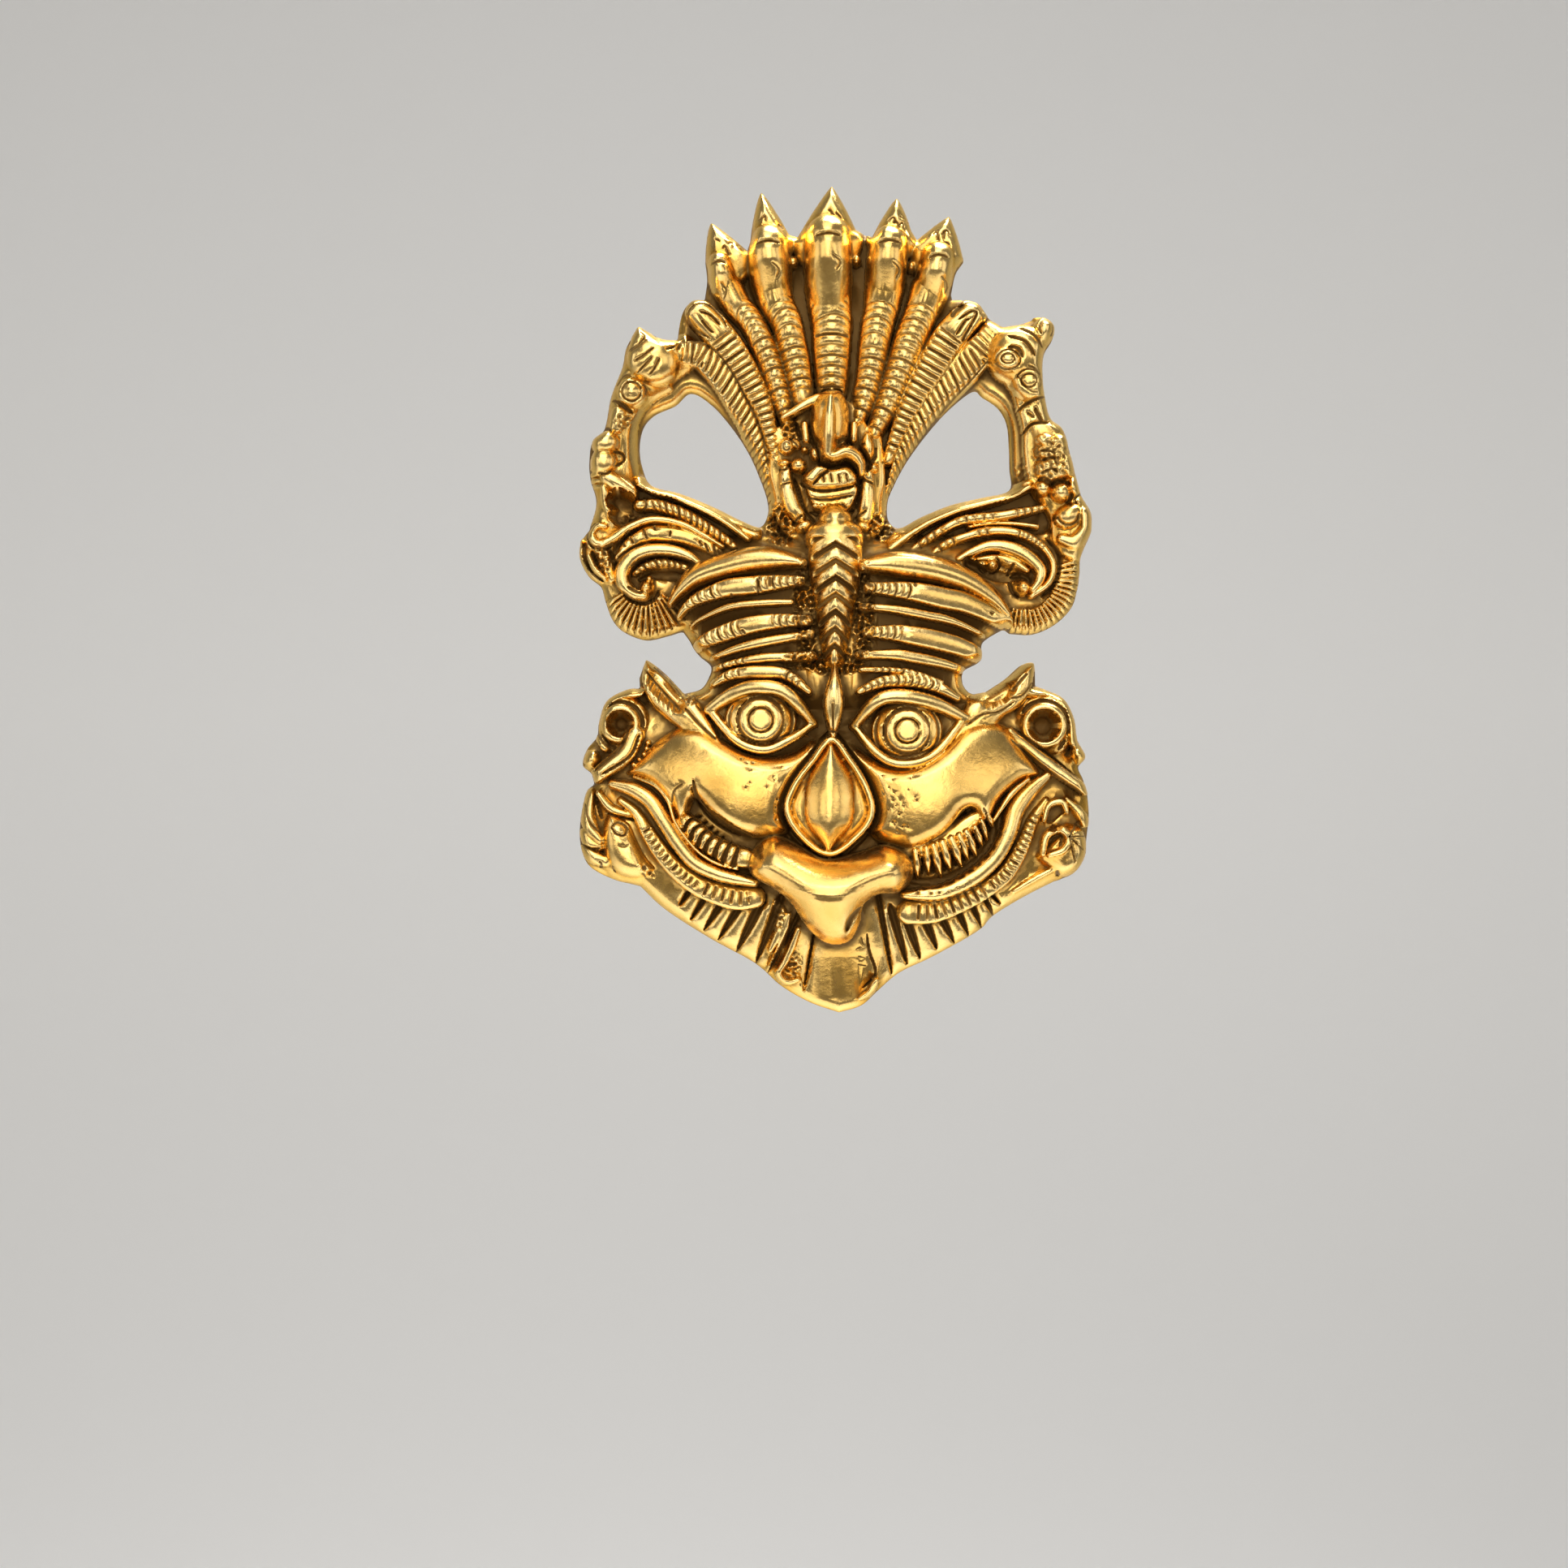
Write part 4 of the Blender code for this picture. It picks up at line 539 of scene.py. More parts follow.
def squiggles(relief, foot, tip, half):
    """Scratched loops and strokes at the foot of a spike."""
    for _ in range(5):
        start = relief.draw.uniform((-0.75, 0.02), (0.75, 0.4))
        turn = relief.draw.uniform(-0.5, 0.5, (2, 2))
        x = foot[0] + (tip[0] - foot[0]) * start[1] + half * start[0] * (1 - start[1])
        z = foot[1] + (tip[1] - foot[1]) * start[1] + 1.2
        points = np.array([(x, z), (x + 0.6 + turn[0, 0], z + turn[0, 1]),
                           (x + 0.9 + turn[1, 0], z - 0.8 + turn[1, 1])])
        relief.engrave(points, 0.2, 0.45)


ARCH_LINES = (
    # the folds of the crest, the stripes of the head and the lines round the eye
    [(-32.3, 30.9), (-31.5, 30.0), (-32.6, 28.7), (-34.2, 27.8)],
    [(-30.8, 31.5), (-29.4, 29.7), (-29.1, 28.7)],
    [(-31.1, 29.5), (-32.4, 28.4), (-34.0, 27.5)],
    [(-30.0, 28.0), (-31.6, 26.8), (-33.3, 25.8)],
    [(-30.2, 26.5), (-31.5, 25.1), (-32.6, 24.0)],
    [(-29.0, 26.2), (-29.8, 24.6), (-30.7, 23.5)],
    [(-36.3, 22.0), (-35.1, 23.6), (-33.8, 23.7)],
    [(-31.9, 22.1), (-31.3, 21.3), (-31.5, 20.2)],
    [(-36.7, 18.4), (-37.0, 15.2)],
)
ARCH_RIDGES = (8.0, 7.0, 6.0, 5.0)


def left_arch(relief):
    """The creature of the left arch: crest, head, ringed eye, collar and a lumpy body."""
    relief.stroke([(-25.8, 27.6), (-30.0, 26.0), (-33.6, 21.8), (-35.5, 16.6), (-36.3, 11.0),
                   (-37.0, 5.5), (-37.7, 0.0), (-38.8, -3.9)], (3.6, 5.4, 4.2, 3.0, 3.4, 4.2, 3.6, 3.2),
                  8.6, 4.0, power=1.2, bulge=0.5)
    relief.dome((-30.2, 26.2), (4.6, 4.2), 11.2, 4.6, turn=-30, power=2.6, blend=0.8)
    relief.stroke([(-32.7, 31.8), (-31.5, 28.2)], (1.2, 3.2), 9.8, 4.0)
    relief.dome((-27.8, 28.2), (2.9, 2.3), 9.8, 3.0, turn=-35)
    relief.dome((-33.7, 20.8), (2.6, 2.6), 10.4, 3.0, power=2.6)
    relief.ring((-33.7, 20.8), (1.6, 1.6), 0.24, 0.6)
    relief.dome((-33.7, 20.8), (0.9, 0.9), 10.7, 0.6)
    for line in ARCH_LINES:
        relief.engrave(line, 0.22, 0.5)
    each(relief.engrave, (
        ([(-37.1, 19.7), (-35.5, 18.8), (-33.6, 17.3)], 0.34, 0.9),
        ([(-27.9, 27.8), (-26.6, 28.4)], 0.3, 0.8),
        ([(-26.1, 27.8), (-25.1, 29.7)], 0.3, 0.8),
    ))
    relief.stroke([(-36.0, 17.1), (-36.4, 14.9)], (1.4, 1.3), 9.8, 3.2)
    relief.granulate((-35.3, 16.0), (1.7, 1.6), 0.35)
    relief.engrave([(-38.8, 14.6), (-38.1, 14.8), (-37.1, 14.2)], (0.2, 0.5, 0.2), 1.2)
    relief.dome((-38.1, 12.3), (2.6, 2.2), 11.4, 5.0, power=2.6)
    relief.dome((-38.4, 9.1), (2.5, 2.6), 11.0, 4.8, power=2.6)
    relief.engrave([(-36.6, 10.8), (-35.3, 10.4), (-35.1, 9.3), (-36.4, 8.4)], 0.28, 0.9)
    relief.stroke([(-37.7, 6.4), (-36.0, 5.2), (-34.0, 3.9)], (1.4, 1.6, 1.4), 11.0, 4.8)
    relief.engrave([(-39.3, 7.2), (-38.0, 6.9), (-37.1, 7.5)], 0.3, 0.9)
    relief.stroke([(-38.4, 4.8), (-37.8, 2.2), (-37.1, -0.1)], (0.7, 1.15, 0.8), 10.2, 4.6)
    for level in ARCH_RIDGES:
        relief.stroke([(-40.6, level + 0.1), (-39.0, level)], (0.35, 0.45), 8.8, 2.4)
    relief.sink([(-36.0, 2.5), (-34.8, 1.4), (-35.5, -0.1)], (0.7, 1.1, 0.9), 4.6, 4.0)
    relief.granulate((-34.1, -0.4), (2.2, 1.0), 0.5)


def right_arch(relief):
    """The creature of the right arch: ear, striped head, ringed eyes, collar and a small rider."""
    relief.stroke([(27.5, 29.8), (31.9, 27.1), (34.1, 22.6), (34.4, 17.7), (35.8, 12.7), (37.4, 6.9),
                   (40.2, 1.4), (41.0, -3.0)], (3.4, 5.2, 4.6, 3.2, 4.2, 4.8, 4.2, 4.4), 8.6, 3.8,
                  power=2.6)
    relief.dome((31.1, 27.3), (5.2, 5.4), 11.2, 5.0, turn=-40, power=2.3, blend=1.0)
    relief.dome((33.3, 22.9), (3.5, 4.2), 10.6, 3.4, turn=20, power=2.4, blend=0.6)
    relief.dome((35.8, 31.3), (2.2, 2.7), 10.2, 4.4, turn=-20, power=2.4)
    relief.ring((35.9, 31.5), (1.2, 1.5), 0.24, 0.6, (-60, 230))
    relief.dome((29.3, 26.1), (2.3, 1.9), 12.0, 1.6, turn=-40)
    each(relief.ring, (
        ((29.3, 26.1), (1.1, 0.8), 0.2, 0.5),
        ((29.4, 26.0), (2.0, 1.6), 0.2, 0.5),
        ((32.9, 22.6), (1.3, 1.1), 0.2, 0.55),
        ((32.9, 22.6), (2.1, 1.9), 0.2, 0.5, (-40, 170)),
    ))
    for start, bend, end in (((29.4, 30.0), (32.2, 29.1), (33.8, 26.8)),
                             ((31.3, 31.5), (33.8, 30.2), (35.3, 28.3)),
                             ((29.5, 28.2), (31.1, 27.9), (31.8, 26.4))):
        relief.engrave([start, bend, end], 0.36, 0.8)
    each(relief.engrave, (
        ([(32.6, 25.1), (33.8, 24.7), (34.9, 23.7)], 0.26, 0.5),
        ([(30.8, 23.7), (31.9, 22.1), (33.3, 20.8), (34.7, 20.7)], 0.18, 0.3),
        ([(31.1, 17.7), (33.0, 19.1), (35.8, 20.2)], 0.32, 0.9),
        ([(32.0, 13.8), (33.6, 15.5), (36.3, 15.7)], 0.3, 0.9),
        ([(34.0, 18.2), (35.1, 16.0)], 0.4, 0.8),
        ([(32.7, 17.4), (33.8, 16.6)], 0.3, 0.6),
    ))
    for level, half in ((11.0, 3.3), (7.9, 3.2)):
        relief.dome((36.9, level), (half, 2.6), 11.4, 4.8, power=2.4)
    each(relief.dome, (
        ((35.5, 12.6), (1.6, 1.2), 12.0, 1.8),
        ((38.1, 12.3), (1.6, 1.3), 12.0, 1.8),
        ((39.3, 8.6), (1.8, 2.4), 11.2, 3.4),
    ))
    for start, bend, end in (((34.7, 10.9), (36.6, 10.6), (37.3, 10.2)),
                             ((34.9, 9.1), (36.9, 9.7), (37.4, 8.6)),
                             ((35.1, 7.2), (36.6, 7.7), (37.7, 7.2)),
                             ((39.5, 13.0), (40.0, 11.3), (39.6, 10.2)),
                             ((34.4, 5.8), (35.5, 6.4), (37.3, 5.1))):
        relief.engrave([start, bend, end], 0.24, 0.6)
    relief.dome((38.2, 3.9), (1.8, 1.8), 11.8, 4.0)
    relief.ring((38.2, 3.9), (2.0, 2.0), 0.3, 0.9, (-60, 200))
    relief.dome((35.3, 4.6), (1.6, 1.5), 10.6, 3.0)
    relief.dome((40.9, 5.1), (1.5, 1.9), 10.4, 3.0)
    relief.engrave([(40.5, 2.8), (42.1, 3.9), (42.9, 2.8)], 0.28, 0.7)
    relief.engrave([(40.7, 2.5), (42.1, 0.6), (42.5, -0.6)], 0.3, 0.8)
    relief.dome((39.6, 0.0), (2.8, 2.2), 10.6, 3.6, turn=30)
    relief.stroke([(42.4, 0.6), (42.7, -2.1), (40.7, -4.3), (38.5, -3.9)], (1.0, 1.3, 1.3, 0.9), 10.0,
                  3.2, power=2.4)
    relief.ring((39.5, -0.1), (1.7, 1.4), 0.24, 0.6, (180, 380))
    relief.granulate((36.6, 9.4), (3.6, 5.0), 0.3)
    relief.granulate((31.9, 6.6), (1.2, 3.0), 0.4)


def little_figure(relief):
    """The small seated figure with an elephant's head, on the middle of the mask."""
    relief.stroke([(-7.9, 12.7), (-7.9, 5.5), (-5.7, -1.1), (0.1, -2.2), (5.7, -1.1), (6.2, 5.5),
                   (5.7, 12.7)], 2.8, 8.6, 3.6, power=3.4)
    relief.stroke([(-0.4, 13.8), (-0.4, 0.0)], (6.4, 6.8), 9.0, 3.0, power=3.4)
    relief.granulate((-8.7, -1.4), (3.0, 4.4), 1.0)
    relief.granulate((8.4, -1.7), (3.4, 2.6), 1.0, turn=20)
    relief.granulate((-7.3, 14.6), (1.8, 2.4), 0.7)
    # legs, feet and the seat
    relief.stroke([(-7.9, 7.5), (-7.7, 5.0), (-6.8, 1.7), (-5.7, 0.0)], (0.9, 1.15, 1.3, 1.2), 11.4, 3.4,
                  power=2.6)
    relief.engrave([(-8.6, 5.0), (-7.2, 5.4)], 0.2, 0.6)
    relief.stroke([(5.9, 6.9), (5.9, 3.3), (5.4, -0.3)], (0.9, 1.2, 1.3), 11.4, 3.4, power=2.6)
    relief.engrave([(4.8, 6.1), (6.8, 5.2)], 0.26, 0.8)
    relief.dome((-4.7, -1.8), (1.6, 1.15), 11.2, 3.4, turn=25, power=2.8)
    relief.engrave([(-6.8, -1.4), (-5.1, 0.0)], 0.26, 0.8)
    relief.engrave([(-5.1, -2.2), (-4.7, -2.9)], 0.2, 0.5)
    relief.dome((5.0, -1.8), (1.3, 0.95), 11.0, 3.2, turn=-20, power=2.8)
    relief.engrave([(3.7, -0.6), (5.7, 0.8)], 0.24, 0.7)
    relief.pillow([(-4.0, 5.2), (-3.9, 2.5), (-2.9, 0.8), (-0.8, 0.3), (1.8, 0.4), (3.3, 1.4),
                   (3.9, 5.2)], 11.4, 3.0, 0.9, power=2.8)
    for x in (-2.9, -1.8, -0.7, 0.7, 2.1):
        relief.dome((x, 1.5), (0.55, 0.5), 12.0, 0.9)
    each(relief.engrave, (
        ([(1.5, 1.9), (2.5, 0.8)], 0.26, 0.7),
        ([(-4.0, 2.8), (-0.8, 2.5), (3.6, 3.3)], 0.24, 0.7),
        ([(-3.7, 0.6), (-0.8, -0.1), (1.9, 0.0), (3.6, 1.0)], 0.45, 1.2),
    ))
    # the belly and the cup held in front of it
    relief.pillow([(-5.1, 6.6), (-3.5, 7.7), (-0.8, 8.0), (2.2, 8.4), (4.0, 7.0), (4.0, 5.2),
                   (2.1, 4.3), (-0.8, 4.0), (-3.2, 4.1), (-4.8, 5.1)], 12.6, 3.0, 1.6, power=2.5)
    for x in (-1.6, -0.3, 1.0, 2.3):
        relief.engrave([(x - 0.1, 6.8), (x + 0.2, 5.3)], 0.2, 0.55)
    relief.pillow([(-4.7, 6.1), (-2.8, 8.1), (-0.8, 7.7), (-2.1, 6.5), (-3.3, 5.1)], 13.4, 2.0, 0.8,
                  power=2.6)
    relief.engrave([(-3.3, 5.0), (-1.9, 6.5), (-0.6, 7.3)], 0.24, 0.8)
    relief.engrave([(-5.4, 5.5), (-3.5, 4.3), (-0.8, 4.0), (3.5, 4.8)], 0.26, 0.8)
    # hands, beads and the column at the left
    relief.dome((-7.7, 11.5), (1.4, 1.4), 12.0, 3.4, power=2.4)
    relief.ring((-7.7, 11.5), (0.6, 0.7), 0.16, 0.3)
    relief.dome((-6.1, 12.0), (0.7, 1.05), 11.8, 3.0, turn=35, power=2.6)
    relief.engrave([(-7.3, 13.0), (-5.7, 11.3)], 0.22, 0.7)
    relief.dome((-4.7, 10.9), (0.6, 0.6), 12.2, 2.6)
    relief.dome((-5.7, 8.3), (1.4, 1.35), 13.0, 3.8, power=2.3)
    relief.dome((-3.0, 10.2), (0.85, 1.35), 12.2, 3.4, turn=10, power=2.4)
    relief.dome((-8.0, 8.8), (1.2, 0.7), 11.2, 2.4)
    relief.engrave([(-9.0, 7.7), (-7.9, 7.6), (-7.0, 8.6)], 0.24, 0.7)
    relief.stroke([(-4.7, 15.3), (-4.4, 12.6)], (0.55, 0.6), 11.4, 3.0, power=3)
    relief.engrave([(-6.2, 15.7), (-5.8, 14.4), (-5.1, 12.7)], 0.4, 1.6)
    # columns at the right
    relief.stroke([(3.6, 15.2), (3.5, 12.7)], (0.6, 0.65), 11.2, 3.0, power=2.8)
    relief.pillow([(5.7, 14.1), (6.8, 12.4), (6.9, 10.5), (6.1, 9.3), (5.0, 10.8), (4.8, 12.4)], 12.2,
                  3.4, 1.0, power=2.4)
    relief.engrave([(7.3, 11.6), (7.2, 9.9), (6.1, 8.8)], 0.24, 0.7)
    relief.dome((6.9, 8.0), (0.8, 1.0), 10.6, 2.4)
    # the head and its trunk
    relief.stroke([(-8.3, 16.3), (-6.4, 17.4), (-4.4, 18.6), (-2.3, 19.6)], (0.5, 0.7, 0.9, 0.9), 12.2, 3.2)
    relief.pillow([(-2.1, 20.4), (-0.1, 21.1), (1.5, 20.6), (2.5, 18.6), (2.8, 15.2), (2.2, 12.1),
                   (-0.1, 11.0), (-2.6, 12.0), (-3.6, 14.5), (-3.5, 18.2)], 15.4, 6.0, 2.9, power=2.0)
    relief.engrave([(-1.9, 20.7), (-1.0, 21.1), (-0.1, 20.8), (0.8, 21.1), (1.7, 20.7)], 0.34, 1.1)
    relief.stroke([(-0.4, 19.3), (-0.6, 16.3), (-0.7, 13.1), (-0.8, 10.2)], (1.4, 1.9, 1.9, 1.6),
                  (15.6, 16.6, 16.6, 15.4), 4.6, power=1.0, bulge=0.7)
    relief.stroke([(-1.0, 9.9), (0.1, 9.7), (2.1, 10.4), (3.7, 9.8), (4.7, 8.3), (4.8, 6.6)],
                  (1.0, 1.3, 1.35, 1.3, 1.0, 0.6), (15.0, 15.2, 14.8, 14.0, 13.0), 4.4, power=1.2,
                  bulge=0.4)
    each(relief.engrave, (
        ([(-2.3, 8.7), (-0.8, 8.0), (1.0, 8.0), (2.8, 8.6), (4.0, 7.0)], 0.42, 1.6),
        ([(0.7, 11.9), (1.9, 12.6), (3.2, 12.0)], 0.42, 1.6),
        ([(4.3, 11.3), (5.8, 9.7), (5.8, 7.2)], 0.4, 1.5),
        ([(-4.0, 15.2), (-3.5, 12.7), (-2.5, 10.8), (-2.1, 9.1)], 0.3, 1.0),
        ([(-6.5, 6.4), (-5.4, 3.2), (-4.6, 0.8), (-2.9, -1.1)], 0.3, 1.2),
        ([(5.0, 6.4), (4.4, 3.9), (3.9, 1.1)], 0.3, 1.2),
    ))


def left_wing(relief):
    """The left wing: a rail, bands, a curl, a scroll that ends in a ball, and a pleated fan."""
    relief.stroke([(-39.6, -6.1), (-34.1, -9.1), (-30.0, -12.4), (-30.2, -16.0)], (3.8, 8.0, 6.5, 4.4),
                  6.2, 1.8, power=3)
    fan(relief, (-31.3, -10.5), 3.6, 9.6, (-152, -38), 14)
    relief.stroke([(-32.2, 5.8), (-24.2, 3.3), (-18.4, 0.3), (-13.1, -2.8)], (1.2, 1.5, 1.6, 1.3), 8.8, 4.0)
    relief.stroke([(-32.4, 5.2), (-29.7, 4.1), (-26.9, 3.5), (-24.2, 2.3), (-21.4, 1.0), (-18.6, -0.6),
                   (-16.4, -2.2), (-14.2, -3.9)], (0.5, 0.55, 0.6, 0.6, 0.6, 0.5), 10.2, 3.4)
    band = [(-32.4, 1.9), (-29.7, 1.9), (-26.9, 1.1), (-24.2, 0.0), (-21.4, -1.7), (-18.6, -3.5),
            (-16.6, -5.1)]
    relief.stroke(band, (1.1, 1.15, 1.15, 1.1, 1.0, 0.85), 9.4, 4.4)
    relief.ribs(band, 1.15, 1.14, 0.7, line=0.25, slant=0.6, reach=0.9, span=(0.12, 0.97))
    relief.engrave([(-31.8, 3.2), (-31.2, 1.9), (-31.8, 0.7)], 0.26, 0.7)
    band = [(-38.1, -1.8), (-39.5, -1.7), (-40.6, -3.0), (-39.3, -4.7), (-37.0, -3.9), (-34.5, -2.1),
            (-31.1, -0.7), (-28.0, -0.7), (-24.9, -1.5), (-21.7, -3.2), (-18.4, -5.2)]
    relief.stroke(band, (0.55, 0.75, 0.85, 0.9, 0.8, 0.75, 0.7, 0.65, 0.65, 0.55, 0.4), 10.0, 4.6)
    relief.ring((-38.9, -3.3), (2.3, 2.3), 0.3, 0.9, (110, 330))
    band = [(-35.8, -6.9), (-34.1, -4.7), (-31.1, -3.0), (-27.8, -2.9), (-24.2, -3.5), (-20.8, -5.1),
            (-18.6, -6.9)]
    relief.stroke(band, (0.9, 1.2, 1.5, 1.6, 1.6, 1.4, 1.0), 9.2, 4.0)
    for start, end in (((-34.4, -2.6), (-33.8, -3.3)), ((-34.1, -3.6), (-33.3, -4.7)),
                       ((-31.8, -2.2), (-31.1, -3.9)), ((-30.0, -1.7), (-29.7, -2.5)),
                       ((-35.5, -4.3), (-34.7, -5.2)), ((-27.2, -2.6), (-27.3, -3.6)),
                       ((-22.5, -4.1), (-21.8, -5.1)), ((-21.4, -4.6), (-20.8, -6.1)),
                       ((-20.0, -5.0), (-19.5, -6.9)), ((-19.2, -5.8), (-18.8, -6.6)),
                       ((-37.7, -5.8), (-36.6, -6.9))):
        relief.engrave([start, end], 0.26, 0.6)
    relief.engrave([(-30.7, -4.8), (-28.0, -4.4), (-24.2, -5.1)], 0.22, 0.5)
    band = [(-22.5, -7.9), (-24.4, -6.6), (-27.6, -5.7), (-31.1, -5.8), (-33.7, -6.9), (-35.2, -9.1),
            (-35.1, -11.3), (-33.4, -13.0), (-31.6, -13.5)]
    relief.stroke(band, (0.8, 1.05, 1.15, 1.2, 1.35, 1.45, 1.35, 1.1, 0.9), 10.0, 4.8)
    relief.engrave([(-36.9, -8.8), (-35.8, -6.9), (-33.6, -5.4), (-31.6, -4.7)], 0.26, 0.8)
    relief.engrave([(-33.8, -8.4), (-31.1, -7.0), (-28.0, -6.8), (-24.9, -7.3), (-22.8, -8.3)], 0.28, 0.8)
    band = [(-33.3, -9.7), (-31.3, -8.4), (-28.3, -7.9), (-24.7, -8.6)]
    relief.stroke(band, (0.5, 0.9, 0.95, 0.8), 9.0, 3.8)
    relief.ribs(band, 0.95, 1.05, 0.7, line=0.26, slant=0.3)
    relief.sink([(-32.4, -10.6), (-30.2, -9.9), (-27.5, -9.9), (-25.3, -10.2)], (0.2, 0.5, 0.7, 0.6), 4.8,
                6.0)
    relief.dome((-31.2, -12.0), (1.3, 1.4), 11.0, 4.8)
    relief.dome((-30.7, -10.6), (0.7, 0.6), 10.4, 3.0, turn=-40)
    relief.engrave([(-34.4, -11.9), (-33.0, -12.7), (-31.9, -13.0)], 0.3, 0.9)
    relief.engrave([(-35.2, -12.7), (-33.8, -14.1), (-31.8, -14.6), (-30.0, -13.9), (-29.3, -12.4)], 0.34,
                   1.0)
    relief.stroke([(-42.5, -3.9), (-42.7, -6.6), (-41.4, -9.1), (-39.3, -10.8)], (0.5, 0.6, 0.6, 0.4),
                  8.2, 3.2)
    relief.stroke([(-41.0, -6.6), (-40.0, -8.8), (-38.2, -10.5)], (0.4, 0.55, 0.4), 8.8, 3.0)
    relief.engrave([(-41.8, -4.4), (-41.7, -6.9), (-40.5, -9.4), (-38.7, -10.8)], 0.36, 1.0)
    relief.stroke([(-39.1, -5.8), (-38.0, -8.3), (-37.1, -10.5)], (1.1, 1.2, 0.8), 8.0, 2.6)
    relief.granulate((-38.5, -7.2), (1.8, 3.0), 0.5)
    relief.engrave([(-40.5, -5.8), (-39.9, -6.9), (-39.6, -8.0)], 0.32, 0.9)


def fan(relief, centre, inner, outer, span, count):
    """Pleats that radiate from a centre between two angles."""
    where = relief.near(np.array([centre]), outer)
    dx, dz = relief.x[where] - centre[0], relief.z[where] - centre[1]
    radius = np.hypot(dx, dz)
    angle = (np.degrees(np.arctan2(dz, dx)) - span[0]) % 360
    opening = (span[1] - span[0]) % 360
    pleat = np.abs(np.sin(np.pi * angle / opening * count))
    here = (angle < opening) & (radius > inner) & (radius < outer)
    level = 7.6 - 0.16 * (radius - inner) - 1.1 * (1 - pleat ** 0.5)
    relief.raise_to(where, np.where(here, level, SKY))
    lines = np.where(here, np.clip(1 - pleat / 0.4, 0, 1), 0)
    relief.cut(where, lines, 0.35)


def right_wing(relief):
    """The right wing: the same bands in another hand, round a boss and a ball."""
    relief.stroke([(38.8, -5.0), (36.0, -8.8), (33.6, -12.4), (35.8, -15.2)], (4.0, 7.5, 8.0, 5.0), 6.2,
                  1.8, power=3)
    fan(relief, (32.2, -10.4), 5.2, 9.4, (-112, 22), 19)
    relief.stroke([(10.1, -4.7), (15.0, -0.8), (20.8, 1.7), (27.8, 3.3), (33.0, 5.2)],
                  (1.4, 1.6, 1.6, 1.4, 1.1), 9.0, 4.0)
    relief.stroke([(9.8, -5.5), (13.1, -3.0), (15.9, -1.2), (18.6, 0.1), (21.4, 1.2), (24.2, 1.9),
                   (27.6, 2.8), (30.4, 3.5), (33.0, 4.8)], (0.9, 0.75, 0.7, 0.65, 0.6, 0.6, 0.5), 10.2,
                  3.6)
    band = [(13.4, -5.7), (15.9, -3.9), (18.6, -2.2), (21.4, -0.8), (24.2, -0.3), (27.6, 0.0),
            (31.1, 0.6), (35.2, 1.4)]
    relief.stroke(band, (0.75, 0.85, 0.9, 0.95, 0.95, 0.95, 0.9, 0.6), 9.4, 4.2)
    relief.ribs(band, 0.9, 1.5, 0.6, line=0.25, slant=-0.3, span=(0.04, 0.26))
    relief.ribs(band, 0.9, 1.5, 0.5, line=0.22, span=(0.36, 0.68), reach=0.6)
    relief.ribs(band, 0.9, 1.2, 0.6, line=0.25, span=(0.78, 0.98))
    relief.stroke([(22.8, -1.8), (26.2, -1.2), (30.4, -1.2), (34.4, -1.7)], (0.3, 0.45, 0.45, 0.5), 8.4, 3.0)
    band = [(17.0, -6.2), (19.3, -4.6), (22.8, -3.3), (25.8, -2.6), (29.1, -2.5), (32.4, -3.3),
            (35.2, -5.1), (36.9, -7.5), (36.9, -9.9), (35.8, -11.7), (33.3, -13.5)]
    relief.stroke(band, (0.7, 0.85, 0.85, 0.85, 0.85, 0.85, 0.8, 0.7, 0.65, 0.6, 0.5), 9.6, 4.4)
    relief.ribs(band, 0.85, 1.3, 0.6, line=0.25, span=(0.02, 0.16))
    relief.ribs(band, 0.85, 1.4, 0.6, line=0.25, reach=0.7, span=(0.24, 0.36))
    relief.ribs(band, 0.85, 0.8, 0.5, line=0.2, span=(0.5, 0.68))
    relief.engrave([(36.0, -3.6), (38.0, -6.1), (38.2, -8.6), (37.4, -11.3), (35.2, -13.5)], 0.3, 0.9)
    band = [(21.1, -7.3), (23.3, -6.1), (26.4, -5.0), (30.0, -5.4), (33.0, -6.9), (34.9, -9.0),
            (34.7, -10.8), (33.6, -12.4)]
    relief.stroke(band, (0.7, 0.9, 1.05, 1.25, 1.35, 1.3, 1.1, 0.8), 10.0, 4.8)
    relief.sink([(22.8, -7.9), (25.8, -9.4), (29.1, -10.2), (31.1, -9.9)], (0.3, 0.5, 0.8, 0.5), 4.8, 6.0)
    relief.stroke([(24.4, -7.2), (27.2, -7.0), (30.5, -7.7), (32.7, -9.1)], (0.4, 0.8, 1.1, 0.6), 8.8, 3.6)
    relief.dome((26.8, -8.1), (1.15, 1.15), 9.8, 3.4)
    relief.ring((26.8, -8.1), (1.3, 1.3), 0.22, 0.8, (-100, 60))
    relief.engrave([(24.0, -7.5), (25.0, -8.6), (25.8, -9.4)], 0.3, 0.9)
    relief.engrave([(30.5, -7.9), (30.0, -8.8), (29.5, -9.9)], 0.3, 0.9)
    relief.dome((32.0, -12.0), (1.5, 1.5), 10.8, 4.8)
    relief.engrave([(30.1, -10.2), (31.3, -9.8), (32.7, -10.2), (33.6, -11.3)], (0.4, 0.5, 0.35), 1.2)
    relief.engrave([(29.8, -11.0), (30.4, -12.6), (31.5, -13.5)], 0.42, 1.1)


